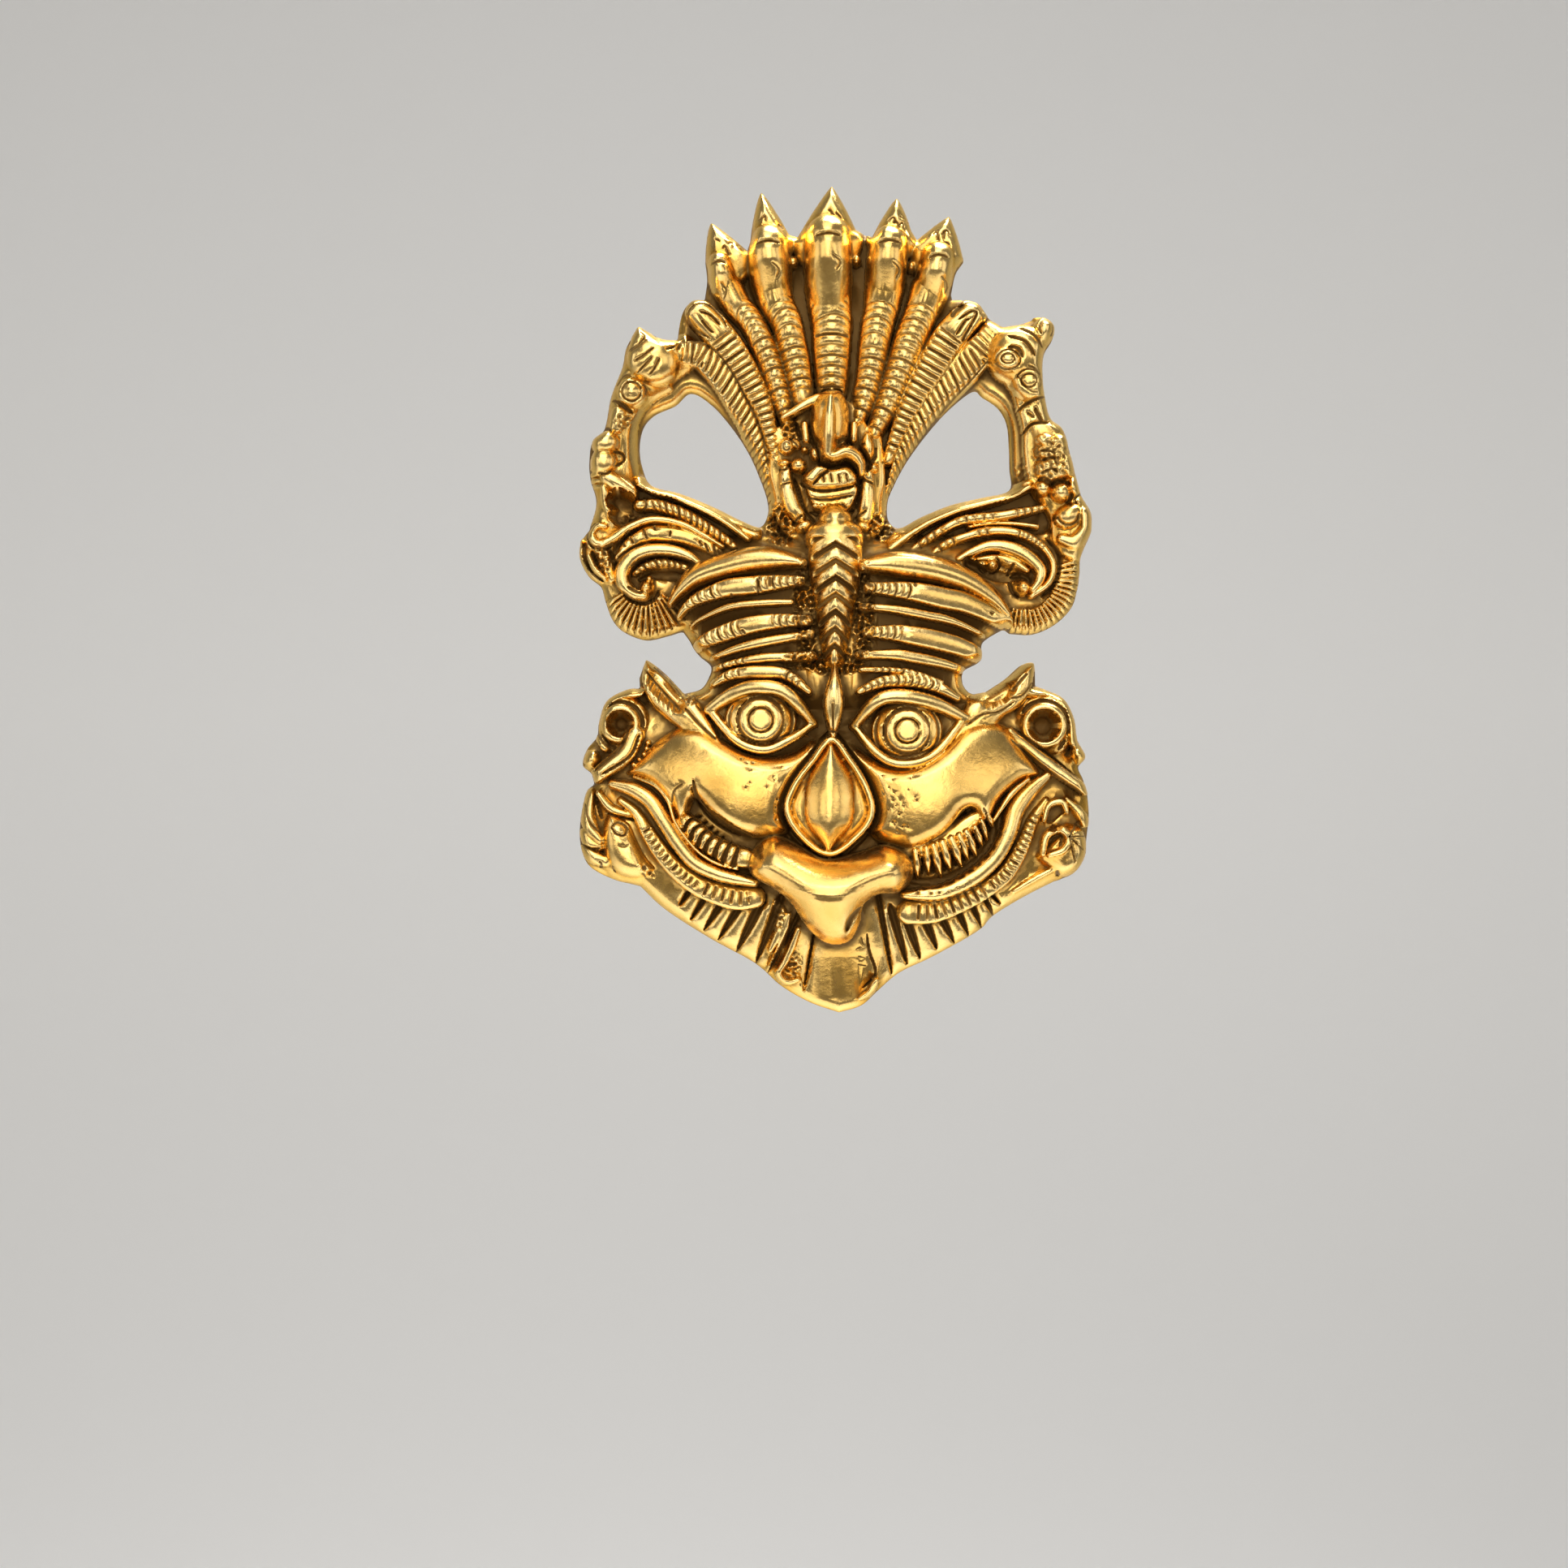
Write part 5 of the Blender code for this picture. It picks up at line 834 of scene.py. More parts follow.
BROWS = (
    # path, half widths, rise above the barrel, shares of the path with ticks
    ([(-5.4, -11.2), (-9.0, -11.5), (-13.1, -11.9), (-17.3, -12.3), (-20.0, -13.1), (-22.8, -14.2),
      (-24.7, -15.6), (-25.8, -17.1)], (0.8, 1.2, 1.5, 1.6, 1.55, 1.25, 0.9, 0.4), 5.4,
     ((0.02, 0.36), (0.60, 0.90))),
    ([(-7.0, -14.8), (-11.7, -14.9), (-17.3, -15.5), (-22.1, -17.5), (-23.7, -18.8)],
     (0.55, 0.62, 0.62, 0.5, 0.25), 5.0, ()),
    ([(-4.3, -17.8), (-9.0, -17.9), (-13.1, -18.4), (-15.9, -19.1), (-18.6, -20.0), (-21.4, -21.1),
      (-22.9, -22.2)], (0.95, 1.15, 1.4, 1.55, 1.55, 1.35, 0.8), 5.2, ((0.02, 0.31), (0.55, 0.93))),
    ([(-3.7, -20.0), (-7.6, -20.7), (-11.7, -21.4), (-15.9, -22.4), (-20.2, -24.0)],
     (0.7, 0.8, 0.85, 0.7, 0.4), 4.8, ()),
    ([(-3.5, -23.7), (-9.0, -23.9), (-11.7, -24.0), (-16.2, -24.7), (-19.7, -25.7)],
     (0.8, 0.85, 0.85, 0.6, 0.5), 4.2, ((0.66, 0.95),)),
    ([(-4.0, -29.7), (-6.9, -27.3), (-9.0, -26.5), (-11.7, -26.4), (-14.5, -26.4), (-17.3, -26.9),
      (-20.0, -28.3)], (0.55, 0.9, 1.05, 1.15, 1.05, 0.9, 0.6), 4.6, ((0.1, 0.32), (0.72, 0.92))),
    ([(5.9, -12.4), (10.4, -12.7), (13.1, -13.0), (15.9, -13.5), (18.6, -14.1), (21.4, -14.6),
      (24.2, -15.6), (26.9, -16.8), (29.0, -17.8)], (0.9, 1.2, 1.5, 1.75, 1.85, 1.85, 1.7, 1.55, 1.35),
     5.4, ((0.02, 0.30),)),
    ([(4.8, -15.5), (10.4, -16.0), (15.9, -17.0), (18.6, -17.5), (21.4, -18.4), (25.3, -20.2)],
     (0.6, 0.7, 0.8, 0.8, 0.6, 0.4), 5.0, ()),
    ([(5.7, -19.7), (10.4, -19.9), (13.1, -20.3), (15.9, -20.8), (18.6, -21.4), (21.4, -22.2),
      (24.7, -23.5)], (0.9, 1.3, 1.6, 1.75, 1.75, 1.6, 1.25), 5.2, ((0.02, 0.30),)),
    ([(4.3, -23.5), (10.4, -23.5), (13.1, -23.9), (15.9, -24.4), (18.6, -25.0), (22.2, -26.1)],
     (0.7, 0.85, 1.0, 1.0, 0.85, 0.6), 4.8, ()),
    ([(4.8, -26.0), (10.4, -26.1), (13.7, -26.6), (18.1, -28.0)], (0.5, 0.55, 0.55, 0.4), 4.2,
     ((0.1, 0.9),)),
    ([(4.3, -29.7), (7.6, -28.2), (10.4, -27.8), (13.1, -27.8), (15.9, -28.3), (18.6, -29.4),
      (20.8, -30.7)], (0.55, 0.95, 1.1, 1.15, 1.1, 0.95, 0.55), 4.6, ((0.05, 0.8),)),
)
UPPER_BROWS = (
    # the broad, round ridges at the top of the forehead
    ([(-5.1, -8.3), (-8.3, -7.7), (-11.9, -7.5), (-15.2, -7.9), (-18.4, -8.7), (-21.1, -9.5),
      (-23.5, -10.6), (-25.8, -12.8), (-27.2, -14.8)], (0.9, 1.6, 2.2, 2.3, 2.2, 2.1, 1.9, 1.4, 0.6)),
    ([(5.4, -8.7), (9.0, -8.4), (12.4, -8.6), (15.9, -9.1), (18.9, -9.8), (22.0, -10.9), (24.6, -12.3),
      (27.2, -14.2), (29.4, -16.6)], (1.3, 2.0, 2.4, 2.4, 2.35, 2.2, 2.0, 1.6, 0.8)),
)
BARREL_CREST = 12.4
BROW_BULGE = 0.5
CHEVRON_PITCH = 2.8


def brow(relief, points, half_width, rise, power, bulge):
    """A ridge that stands above the barrel of the forehead."""
    path = as_path(points)
    where = relief.near(path, np.max(half_width) + relief.step)
    distance, share, _ = to_path(relief.x[where], relief.z[where], path)
    u = distance / along(share, half_width)
    foot = falling(relief.x[where], BARREL_CREST, 4.6, half=30.5)
    level = foot + rise * rounded(u, power) - bulge * u ** 2
    relief.raise_to(where, np.where(u < 1, level, SKY))


def forehead(relief):
    """The stacked brow ridges and the plaited ridge that parts them."""
    for points, half_width in UPPER_BROWS:
        brow(relief, points, half_width, 5.8, 3.2, 1.5)
    for points, half_width, rise, ticked in BROWS:
        brow(relief, points, half_width, rise, 9, BROW_BULGE)
        for span in ticked:
            relief.ribs(points, half_width, 1.16, 0.6, line=0.22, sag=0.5, reach=0.92, span=span)
    for top, bottom in (((-12.6, -11.0), (-12.4, -13.3)), ((-10.5, -10.6), (-10.5, -12.3)),
                        ((13.5, -11.3), (13.7, -12.3)), ((-15.2, -19.3), (-14.6, -20.0)),
                        ((-17.1, -13.3), (-16.7, -13.8)), ((17.3, -11.7), (18.1, -11.9)),
                        ((26.2, -16.4), (26.8, -16.7))):
        relief.engrave([top, bottom], 0.26, 0.55)
    each(relief.granulate, (
        ((-4.4, -15.6), (2.4, 10.0), 0.9),
        ((5.0, -16.4), (2.2, 10.0), 0.9),
        ((-5.6, -24.6), (3.4, 1.6), 0.8),
        ((0.2, -24.6), (5.4, 2.6), 1.1),
    ))
    column = [(0.4, -1.2), (0.4, -12.0), (0.2, -24.4)]
    relief.stroke(column, (3.0, 4.5, 4.2, 3.3, 2.7, 1.8), (15.4, 17.2, 17.6, 17.2, 15.8), 4.6,
                  power=1.4, bulge=0.6)
    relief.dome((0.3, -4.0), (4.9, 3.6), 16.4, 5.5, power=2.2)
    relief.ribs(column, (4.5, 4.4, 3.8, 3.0, 2.5), CHEVRON_PITCH, 1.7, line=0.62, peak=2.6,
                reach=0.93, span=(0.12, 0.99), shift=0.42)


EYES = (
    # centre, inner corner, outer corner, top of the upper lid, bottom of the lower lid, turn
    ((-12.0, -34.4), (-3.2, -34.9), (-20.6, -32.6), (-12.3, -28.9), (-11.5, -39.3)),
    ((12.3, -36.2), (3.5, -35.3), (22.0, -34.0), (10.6, -30.4), (11.7, -41.7)),
)


def lid_path(inner, middle, outer, drop):
    """From the inner corner over the middle of a lid to the outer corner."""
    return [inner, ((inner[0] + middle[0]) / 2, middle[1] + drop), middle,
            ((outer[0] + middle[0]) / 2, middle[1] + drop), outer]


def eyes(relief):
    """The bulging eyes with ringed pupils between heavy lids, and the drop-shaped mark."""
    for centre, inner, outer, upper, lower in EYES:
        upper_lid = lid_path(inner, upper, outer, -1.0)
        lower_lid = lid_path(inner, lower, outer, 1.6)
        relief.pillow(upper_lid + lower_lid[-2:0:-1], 12.2, 1.2, 2.0)
        relief.dome(centre, (6.1, 5.4), 16.6, 4.4, power=2.2)
        relief.dome(centre, (3.9, 3.9), 17.0, 0.9, power=3.5)
        relief.dome(centre, (1.95, 1.95), 17.4, 0.5, power=3.5)
        relief.ring(centre, (3.75, 3.7), 0.36, 0.9)
        relief.ring(centre, (2.0, 2.0), 0.22, 0.6)
        relief.ring(centre, (5.3, 5.0), 0.3, 0.5, (150, 400))
        relief.stroke(upper_lid, (0.8, 1.15, 1.3, 1.3, 1.0), (15.0, 17.6, 17.8, 16.2, 13.4), 4.6,
                      power=2.6)
        relief.stroke(lower_lid, (0.6, 0.8, 0.85, 0.85, 0.8), (14.8, 16.4, 16.6, 15.4, 13.2), 4.0,
                      power=2.6)
        relief.engrave(lid_path(inner, (lower[0], lower[1] + 1.2), outer, 1.4)[1:-1], 0.2, 0.4)
    relief.stroke([(0.3, -25.4), (0.1, -31.5), (0.0, -37.3)], (0.4, 1.2, 1.75, 1.3, 0.5),
                  (16.8, 19.6, 20.0, 19.4, 17.2), 5.4, power=2.3)
    relief.engrave([(-0.1, -31.5), (0.0, -35.9)], 0.22, 0.6)


LEFT_CHEEK = [(-34.7, -43.2), (-32.2, -40.6), (-29.4, -37.8), (-25.8, -35.6), (-22.0, -35.5),
              (-18.6, -37.6), (-15.0, -39.6), (-11.0, -40.5), (-6.9, -39.8), (-3.5, -37.6), (-1.5, -37.8),
              (-3.0, -41.1), (-5.4, -43.9), (-7.2, -46.7), (-8.1, -50.0), (-7.3, -52.7), (-9.5, -54.1),
              (-13.1, -54.1), (-16.6, -53.0), (-19.7, -50.9), (-22.0, -48.3), (-23.1, -47.6),
              (-24.3, -50.3), (-25.8, -51.1), (-27.5, -48.0), (-30.2, -45.1), (-32.7, -43.9)]
RIGHT_CHEEK = [(34.8, -43.2), (32.2, -39.5), (29.4, -35.6), (25.8, -34.2), (22.0, -35.3), (18.6, -38.7),
               (15.3, -41.1), (11.5, -42.2), (7.3, -41.1), (3.7, -38.4), (1.5, -37.8), (2.6, -40.9),
               (5.1, -43.9), (6.5, -47.2), (7.0, -50.0), (5.9, -53.0), (8.4, -55.2), (12.7, -56.3),
               (16.6, -54.8), (19.2, -52.9), (21.7, -49.7), (23.3, -49.2), (24.7, -50.8), (26.1, -51.1),
               (28.0, -47.6), (31.3, -44.7)]


def cheek_level(middle):
    """The level of a cheek, highest at its middle."""
    def level(x, z):
        return (17.8 - 0.0155 * (x - middle[0]) ** 2 - 0.020 * (z - middle[1]) ** 2)
    return level


CASTING_PITS = (
    # the corners of the patches where the skin of the casting is left pitted
    ((-15.5, -46.0), (-8.6, -39.5)), ((-9.8, -52.5), (-8.0, -46.5)),
    ((7.8, -48.5), (15.5, -43.5)), ((8.2, -53.0), (12.5, -48.5)),
)
PITS_EACH = 13


def cheeks(relief):
    """The broad polished cheeks, cut off by a facet at the ears."""
    relief.pillow(LEFT_CHEEK, cheek_level((-14.0, -46.0)), 4.6, 3.0, power=2.2)
    relief.pillow(RIGHT_CHEEK, cheek_level((16.0, -47.0)), 4.6, 3.0, power=2.2)
    each(relief.engrave, (
        ([(-24.9, -44.9), (-26.4, -46.1), (-26.8, -48.0)], 0.24, 0.4),
        ([(-23.2, -44.3), (-22.5, -47.5), (-20.3, -50.5), (-17.3, -52.6), (-14.5, -53.6)],
         (0.3, 0.4, 0.5, 0.5, 0.4), 1.0),
        ([(22.5, -49.0), (20.8, -50.8), (18.4, -53.4), (15.3, -55.2)], (0.3, 0.4, 0.4, 0.3), 0.9),
        ([(24.9, -48.9), (25.7, -50.3), (25.3, -51.6)], 0.22, 0.4),
    ))
    for low, high in CASTING_PITS:
        for x, z in relief.draw.uniform(low, high, (PITS_EACH, 2)):
            relief.engrave([(x, z), (x + 0.2, z + 0.1)], 0.26, relief.draw.uniform(0.2, 0.5))


NOSE = ((-0.3, -37.6), (2.6, -40.9), (5.3, -45.3), (6.4, -49.7), (4.2, -53.4), (-0.6, -56.6),
        (-5.2, -53.6), (-7.6, -49.4), (-6.4, -45.3), (-3.4, -41.2))
SNOUT = ((-9.8, -53.2), (-12.9, -55.3), (-14.0, -58.2), (-13.4, -60.4), (-9.8, -62.5),
         (-6.9, -65.0), (-4.4, -68.8), (-1.9, -71.2), (0.6, -71.9), (3.0, -71.1), (4.5, -68.2),
         (5.2, -65.0), (7.9, -63.3), (11.0, -63.2), (13.2, -61.0), (13.2, -58.2), (11.6, -56.0),
         (8.6, -55.0), (4.6, -56.2), (-0.8, -57.2), (-5.4, -55.2))


def snout_level(x, z):
    """The snout stands out furthest along a crease, and falls above, below and to the sides."""
    crease = -63.2 + 0.028 * (x + 0.3) ** 2
    above, below = np.clip(z - crease, 0, None), np.clip(crease - z, 0, None)
    round_off = 0.55 * np.exp(-((z - crease) / 0.8) ** 2)
    return (PLAN_DEPTH + 0.45 - round_off - 0.58 * above - 0.8 * below
            - 3.4 * np.clip((x + 0.3) / 12.5, -1, 1) ** 2)


def nose(relief):
    """The pointed nose plate with its border and blade, and the snout under it."""
    border = smooth_path(NOSE, 6, closed=True)
    outside = border + (border - border.mean(axis=0)) * 0.14
    relief.engrave(closed_loop(outside), 0.5, 1.1)
    relief.pillow(NOSE, 16.8, 2.0, 2.0)
    relief.stroke(closed_loop(border), 0.62, 18.0, 3.0)
    relief.stroke([(-0.4, -38.9), (-0.6, -47.6), (-0.8, -55.8)], (0.8, 3.2, 4.1, 3.6, 0.7),
                  (18.4, 20.0, 20.9, 20.8, 18.8), 2.9, power=1.0, bulge=0.8)
    relief.pillow(SNOUT, snout_level, 9.5, 4.4, power=2.1)
    relief.engrave([(2.1, -69.4), (2.8, -67.4), (4.6, -65.3)], (0.3, 0.7, 0.4), 1.6)


LIPS = (
    ([(-36.9, -45.0), (-33.3, -46.0), (-30.4, -47.9), (-28.0, -51.4), (-25.8, -54.8), (-23.1, -58.0),
      (-19.7, -59.8), (-16.6, -60.7), (-13.1, -61.4)], (0.9, 1.35, 1.5, 1.45, 1.45, 1.4, 1.3, 1.15, 0.8)),
    ([(36.0, -43.6), (32.7, -46.4), (30.5, -49.4), (29.4, -53.0), (27.6, -56.6), (25.0, -59.4),
      (21.7, -61.6), (18.1, -63.1), (14.5, -63.4), (12.0, -63.5)],
     (0.9, 1.5, 1.7, 1.6, 1.5, 1.5, 1.5, 1.35, 1.3, 0.7)),
)
BANDS = (
    ([(-35.5, -47.8), (-33.0, -49.8), (-30.7, -53.6), (-28.6, -56.6), (-25.8, -59.6), (-22.5, -62.0),
      (-18.9, -63.4), (-15.6, -64.1), (-13.1, -63.9)], (0.7, 0.95, 1.3, 1.5, 1.6, 1.75, 1.9, 2.1, 1.9)),
    ([(35.8, -47.8), (33.6, -51.1), (32.2, -54.5), (30.8, -57.3), (28.9, -60.1), (26.4, -62.1),
      (23.6, -63.8), (20.0, -65.4), (16.6, -66.4), (12.8, -66.4)],
     (0.7, 1.05, 1.2, 1.35, 1.45, 1.5, 1.6, 1.75, 1.95, 2.1)),
)
LEFT_TEETH = [(-24.7, -51.1), (-23.1, -52.7), (-21.0, -54.7), (-18.6, -56.1), (-16.4, -57.0), (-14.6, -57.4)]
TOOTH_GAPS = (
    # top, bend and bottom of the lines between the teeth of the left side
    ((-21.8, -50.3), (-23.9, -51.1), (-24.9, -53.0)), ((-21.0, -51.4), (-23.1, -52.5), (-23.7, -54.4)),
    ((-20.0, -52.2), (-21.8, -53.4), (-22.6, -55.5)), ((-19.2, -53.0), (-20.8, -54.7), (-21.5, -56.7)),
    ((-18.1, -53.7), (-19.3, -55.5), (-19.9, -57.6)), ((-17.0, -54.8), (-17.8, -56.3), (-18.4, -58.1)),
    ((-15.7, -55.5), (-16.2, -57.0), (-16.7, -58.7)),
)
FANGS = (
    # root, tip and half width of the pointed teeth of the right side
    ((13.7, -56.1), (14.2, -60.7), 0.9), ((15.5, -55.6), (16.0, -60.1), 0.72),
    ((16.7, -55.2), (18.1, -60.5), 0.8),
    ((18.2, -54.7), (19.7, -59.5), 0.85), ((19.7, -54.1), (21.5, -58.8), 0.85),
    ((21.0, -53.6), (22.6, -57.6), 0.8), ((22.2, -53.0), (24.0, -57.0), 0.8),
    ((23.6, -52.2), (25.0, -55.4), 0.66), ((24.7, -51.1), (25.8, -54.4), 0.55),
    ((25.7, -50.0), (26.8, -52.3), 0.5),
)
LIP_PITS = ((14.1, -63.2), (16.3, -63.2), (17.7, -63.1), (19.3, -63.0), (20.8, -62.4), (21.8, -62.0),
            (22.8, -61.4))


def mouth(relief):
    """The grinning mouth: a dark gap, lips with a band under them, and the teeth."""
    relief.sink([(-23.3, -45.8), (-22.0, -48.9), (-19.5, -51.1), (-16.7, -53.2), (-14.2, -54.4)],
                (0.2, 0.3, 0.4, 0.5, 0.6), (15.0, 13.0, 11.8, 11.4, 11.4), 6.0)
    relief.sink([(27.3, -50.8), (26.6, -54.4), (24.7, -57.4), (21.5, -59.9), (17.5, -61.3),
                 (13.4, -61.3)], (0.3, 0.5, 0.65, 0.7, 0.6, 0.4), 9.2, 7.0)
    relief.stroke(LEFT_TEETH, (1.5, 1.75, 1.75, 1.8, 1.85, 1.7), (13.2, 14.2, 14.6, 15.0), 4.2,
                  power=3.6)
    for number, (top, bend, bottom) in enumerate(TOOTH_GAPS):
        wide = 0.3 + 0.03 * number
        relief.engrave([top, bend, bottom], (wide * 0.8, wide, wide * 1.5), 1.5)
    relief.stroke([(12.6, -56.1), (16.6, -55.5), (20.3, -53.4), (23.3, -51.1), (25.8, -49.7)],
                  (1.2, 1.5, 1.7, 1.6, 0.9), (14.6, 14.6, 14.4, 14.0), 4.0, power=3)
    for root, tip, half_width in FANGS:
        relief.stroke([root, between(root, tip, 0.5), tip], (half_width, half_width, 0.2),
                      (15.2, 15.0, 13.4), 4.8, power=2.4)
    for (_, tip, half_width), (_, after, _) in zip(FANGS[:-1], FANGS[1:]):
        notch = between(tip, after, 0.5)
        relief.engrave([(notch[0] - 0.9, notch[1] + 3.6), (notch[0] - 0.1, notch[1] + 0.4)],
                       (0.12, 0.3), 0.9)
    for (lip, lip_half), (band, band_half) in zip(LIPS, BANDS):
        relief.stroke(band, band_half, (9.0, 10.4, 11.2, 11.6, 12.0, 12.4, 12.6), 4.6, power=4.0)
        relief.stroke(lip, lip_half, (10.4, 12.4, 13.6, 14.0, 14.4, 14.8, 15.0), 6.2, power=2.3)
    relief.stroke([(-33.3, -43.8), (-29.7, -45.3), (-27.5, -47.8), (-26.4, -51.1), (-24.7, -53.8),
                   (-22.2, -56.5), (-19.2, -58.3), (-15.9, -59.2)],
                  (0.3, 0.4, 0.45, 0.35, 0.35, 0.35, 0.35, 0.3), (10.4, 12.6, 13.6, 13.8, 14.2, 14.4),
                  3.4, power=2.2)
    relief.stroke([(32.7, -44.2), (30.0, -46.4), (28.0, -49.2), (26.6, -51.4)], (0.4, 0.6, 0.5, 0.4),
                  (12.0, 13.2, 13.8, 13.6), 3.4, power=2.2)
    relief.ribs(BANDS[0][0], 1.3, 1.12, 0.6, line=0.23, reach=0.62, span=(0.2, 0.66))
    relief.ribs(BANDS[0][0], 1.8, 1.5, 0.7, line=0.3, reach=0.66, span=(0.68, 0.97))
    relief.ribs(BANDS[1][0], 1.2, 1.06, 0.6, line=0.24, reach=0.8, span=(0.08, 0.55))
    relief.ribs(BANDS[1][0], 1.7, 1.45, 0.8, line=0.3, reach=0.8, span=(0.56, 0.97))
    for number, pit in enumerate(LIP_PITS):
        relief.pit(pit, 0.34 - 0.025 * number, 0.7 - 0.06 * number)


SLOTS = (
    # top and bottom of each slot, and its half width
    ((-24.0, -63.0), (-25.7, -65.4), 0.4), ((-21.1, -63.6), (-23.9, -67.9), 0.46),
    ((-18.5, -64.9), (-21.7, -69.7), 0.5),
    ((-15.7, -65.7), (-19.2, -71.2), 0.55), ((-12.8, -66.5), (-16.3, -73.6), 0.66),
    ((-9.5, -66.5), (-13.0, -75.5), 0.62),
    ((-6.5, -68.5), (-11.2, -77.5), 0.42), ((-3.3, -71.2), (-4.8, -79.9), 0.2),
    ((7.9, -65.2), (10.1, -77.3), 0.42), ((10.5, -68.2), (12.6, -75.4), 0.6),
    ((12.8, -68.8), (14.9, -74.6), 0.62),
    ((15.7, -68.2), (17.7, -72.9), 0.6), ((18.4, -67.7), (20.6, -71.8), 0.56),
    ((21.1, -66.5), (23.1, -70.7), 0.5),
    ((23.6, -65.7), (25.3, -69.4), 0.42), ((25.8, -64.6), (27.5, -67.8), 0.36),
    ((27.2, -64.1), (28.3, -65.3), 0.25),
)


def beard(relief):
    """The beard: a smooth middle with looped borders, and slots that fan out to the edge."""
    relief.stroke([(-9.3, -64.9), (-8.4, -66.8), (-9.0, -69.9), (-10.4, -72.9)], (0.7, 0.9, 0.8, 0.5),
                  (10.8, 10.6, 9.8, 8.8), 2.2)
    relief.granulate((-9.1, -67.7), (0.9, 2.6), 0.5, turn=-10)
    relief.stroke([(-7.3, -66.8), (-8.1, -70.4), (-9.8, -74.6), (-11.2, -77.0)], (0.5, 0.6, 0.6, 0.4),
                  (11.0, 10.2, 8.8, 7.8), 2.4)
    border = [(-5.8, -69.3), (-6.8, -72.3), (-8.1, -75.1), (-9.1, -77.0), (-7.9, -78.4), (-5.7, -77.9)]
    relief.stroke(border, (0.6, 0.65, 0.6, 0.6, 0.6, 0.4), (10.2, 9.4, 8.6, 8.2, 8.0, 8.2), 2.4)
    relief.granulate((-6.5, -75.4), (1.3, 2.8), 0.5, turn=-18)
    border = [(7.3, -78.1), (6.5, -80.1), (4.6, -81.2)]
    relief.stroke(border, (0.6, 0.7, 0.4), (8.2, 7.6, 7.2), 2.2)
    for top, bottom, half_width in SLOTS:
        start = between(top, bottom, -0.4)
        relief.engrave([start, bottom], (half_width + 0.8, half_width + 0.5), 0.5, mark=0.0)
        relief.engrave([start, between(top, bottom, 0.35), bottom],
                       (half_width * 1.25, half_width * 1.15, half_width * 0.35), 1.8)
    relief.engrave([(5.7, -69.9), (6.2, -73.2), (7.3, -77.0), (5.1, -79.5)], (0.2, 0.3, 0.3, 0.2), 0.8)
    for start, end in (((4.3, -74.0), (5.4, -74.3)), ((4.3, -75.4), (5.7, -75.7)),
                       ((4.0, -72.9), (4.8, -72.3)), ((4.8, -70.7), (5.2, -72.1))):
        relief.engrave([start, end], 0.2, 0.3)


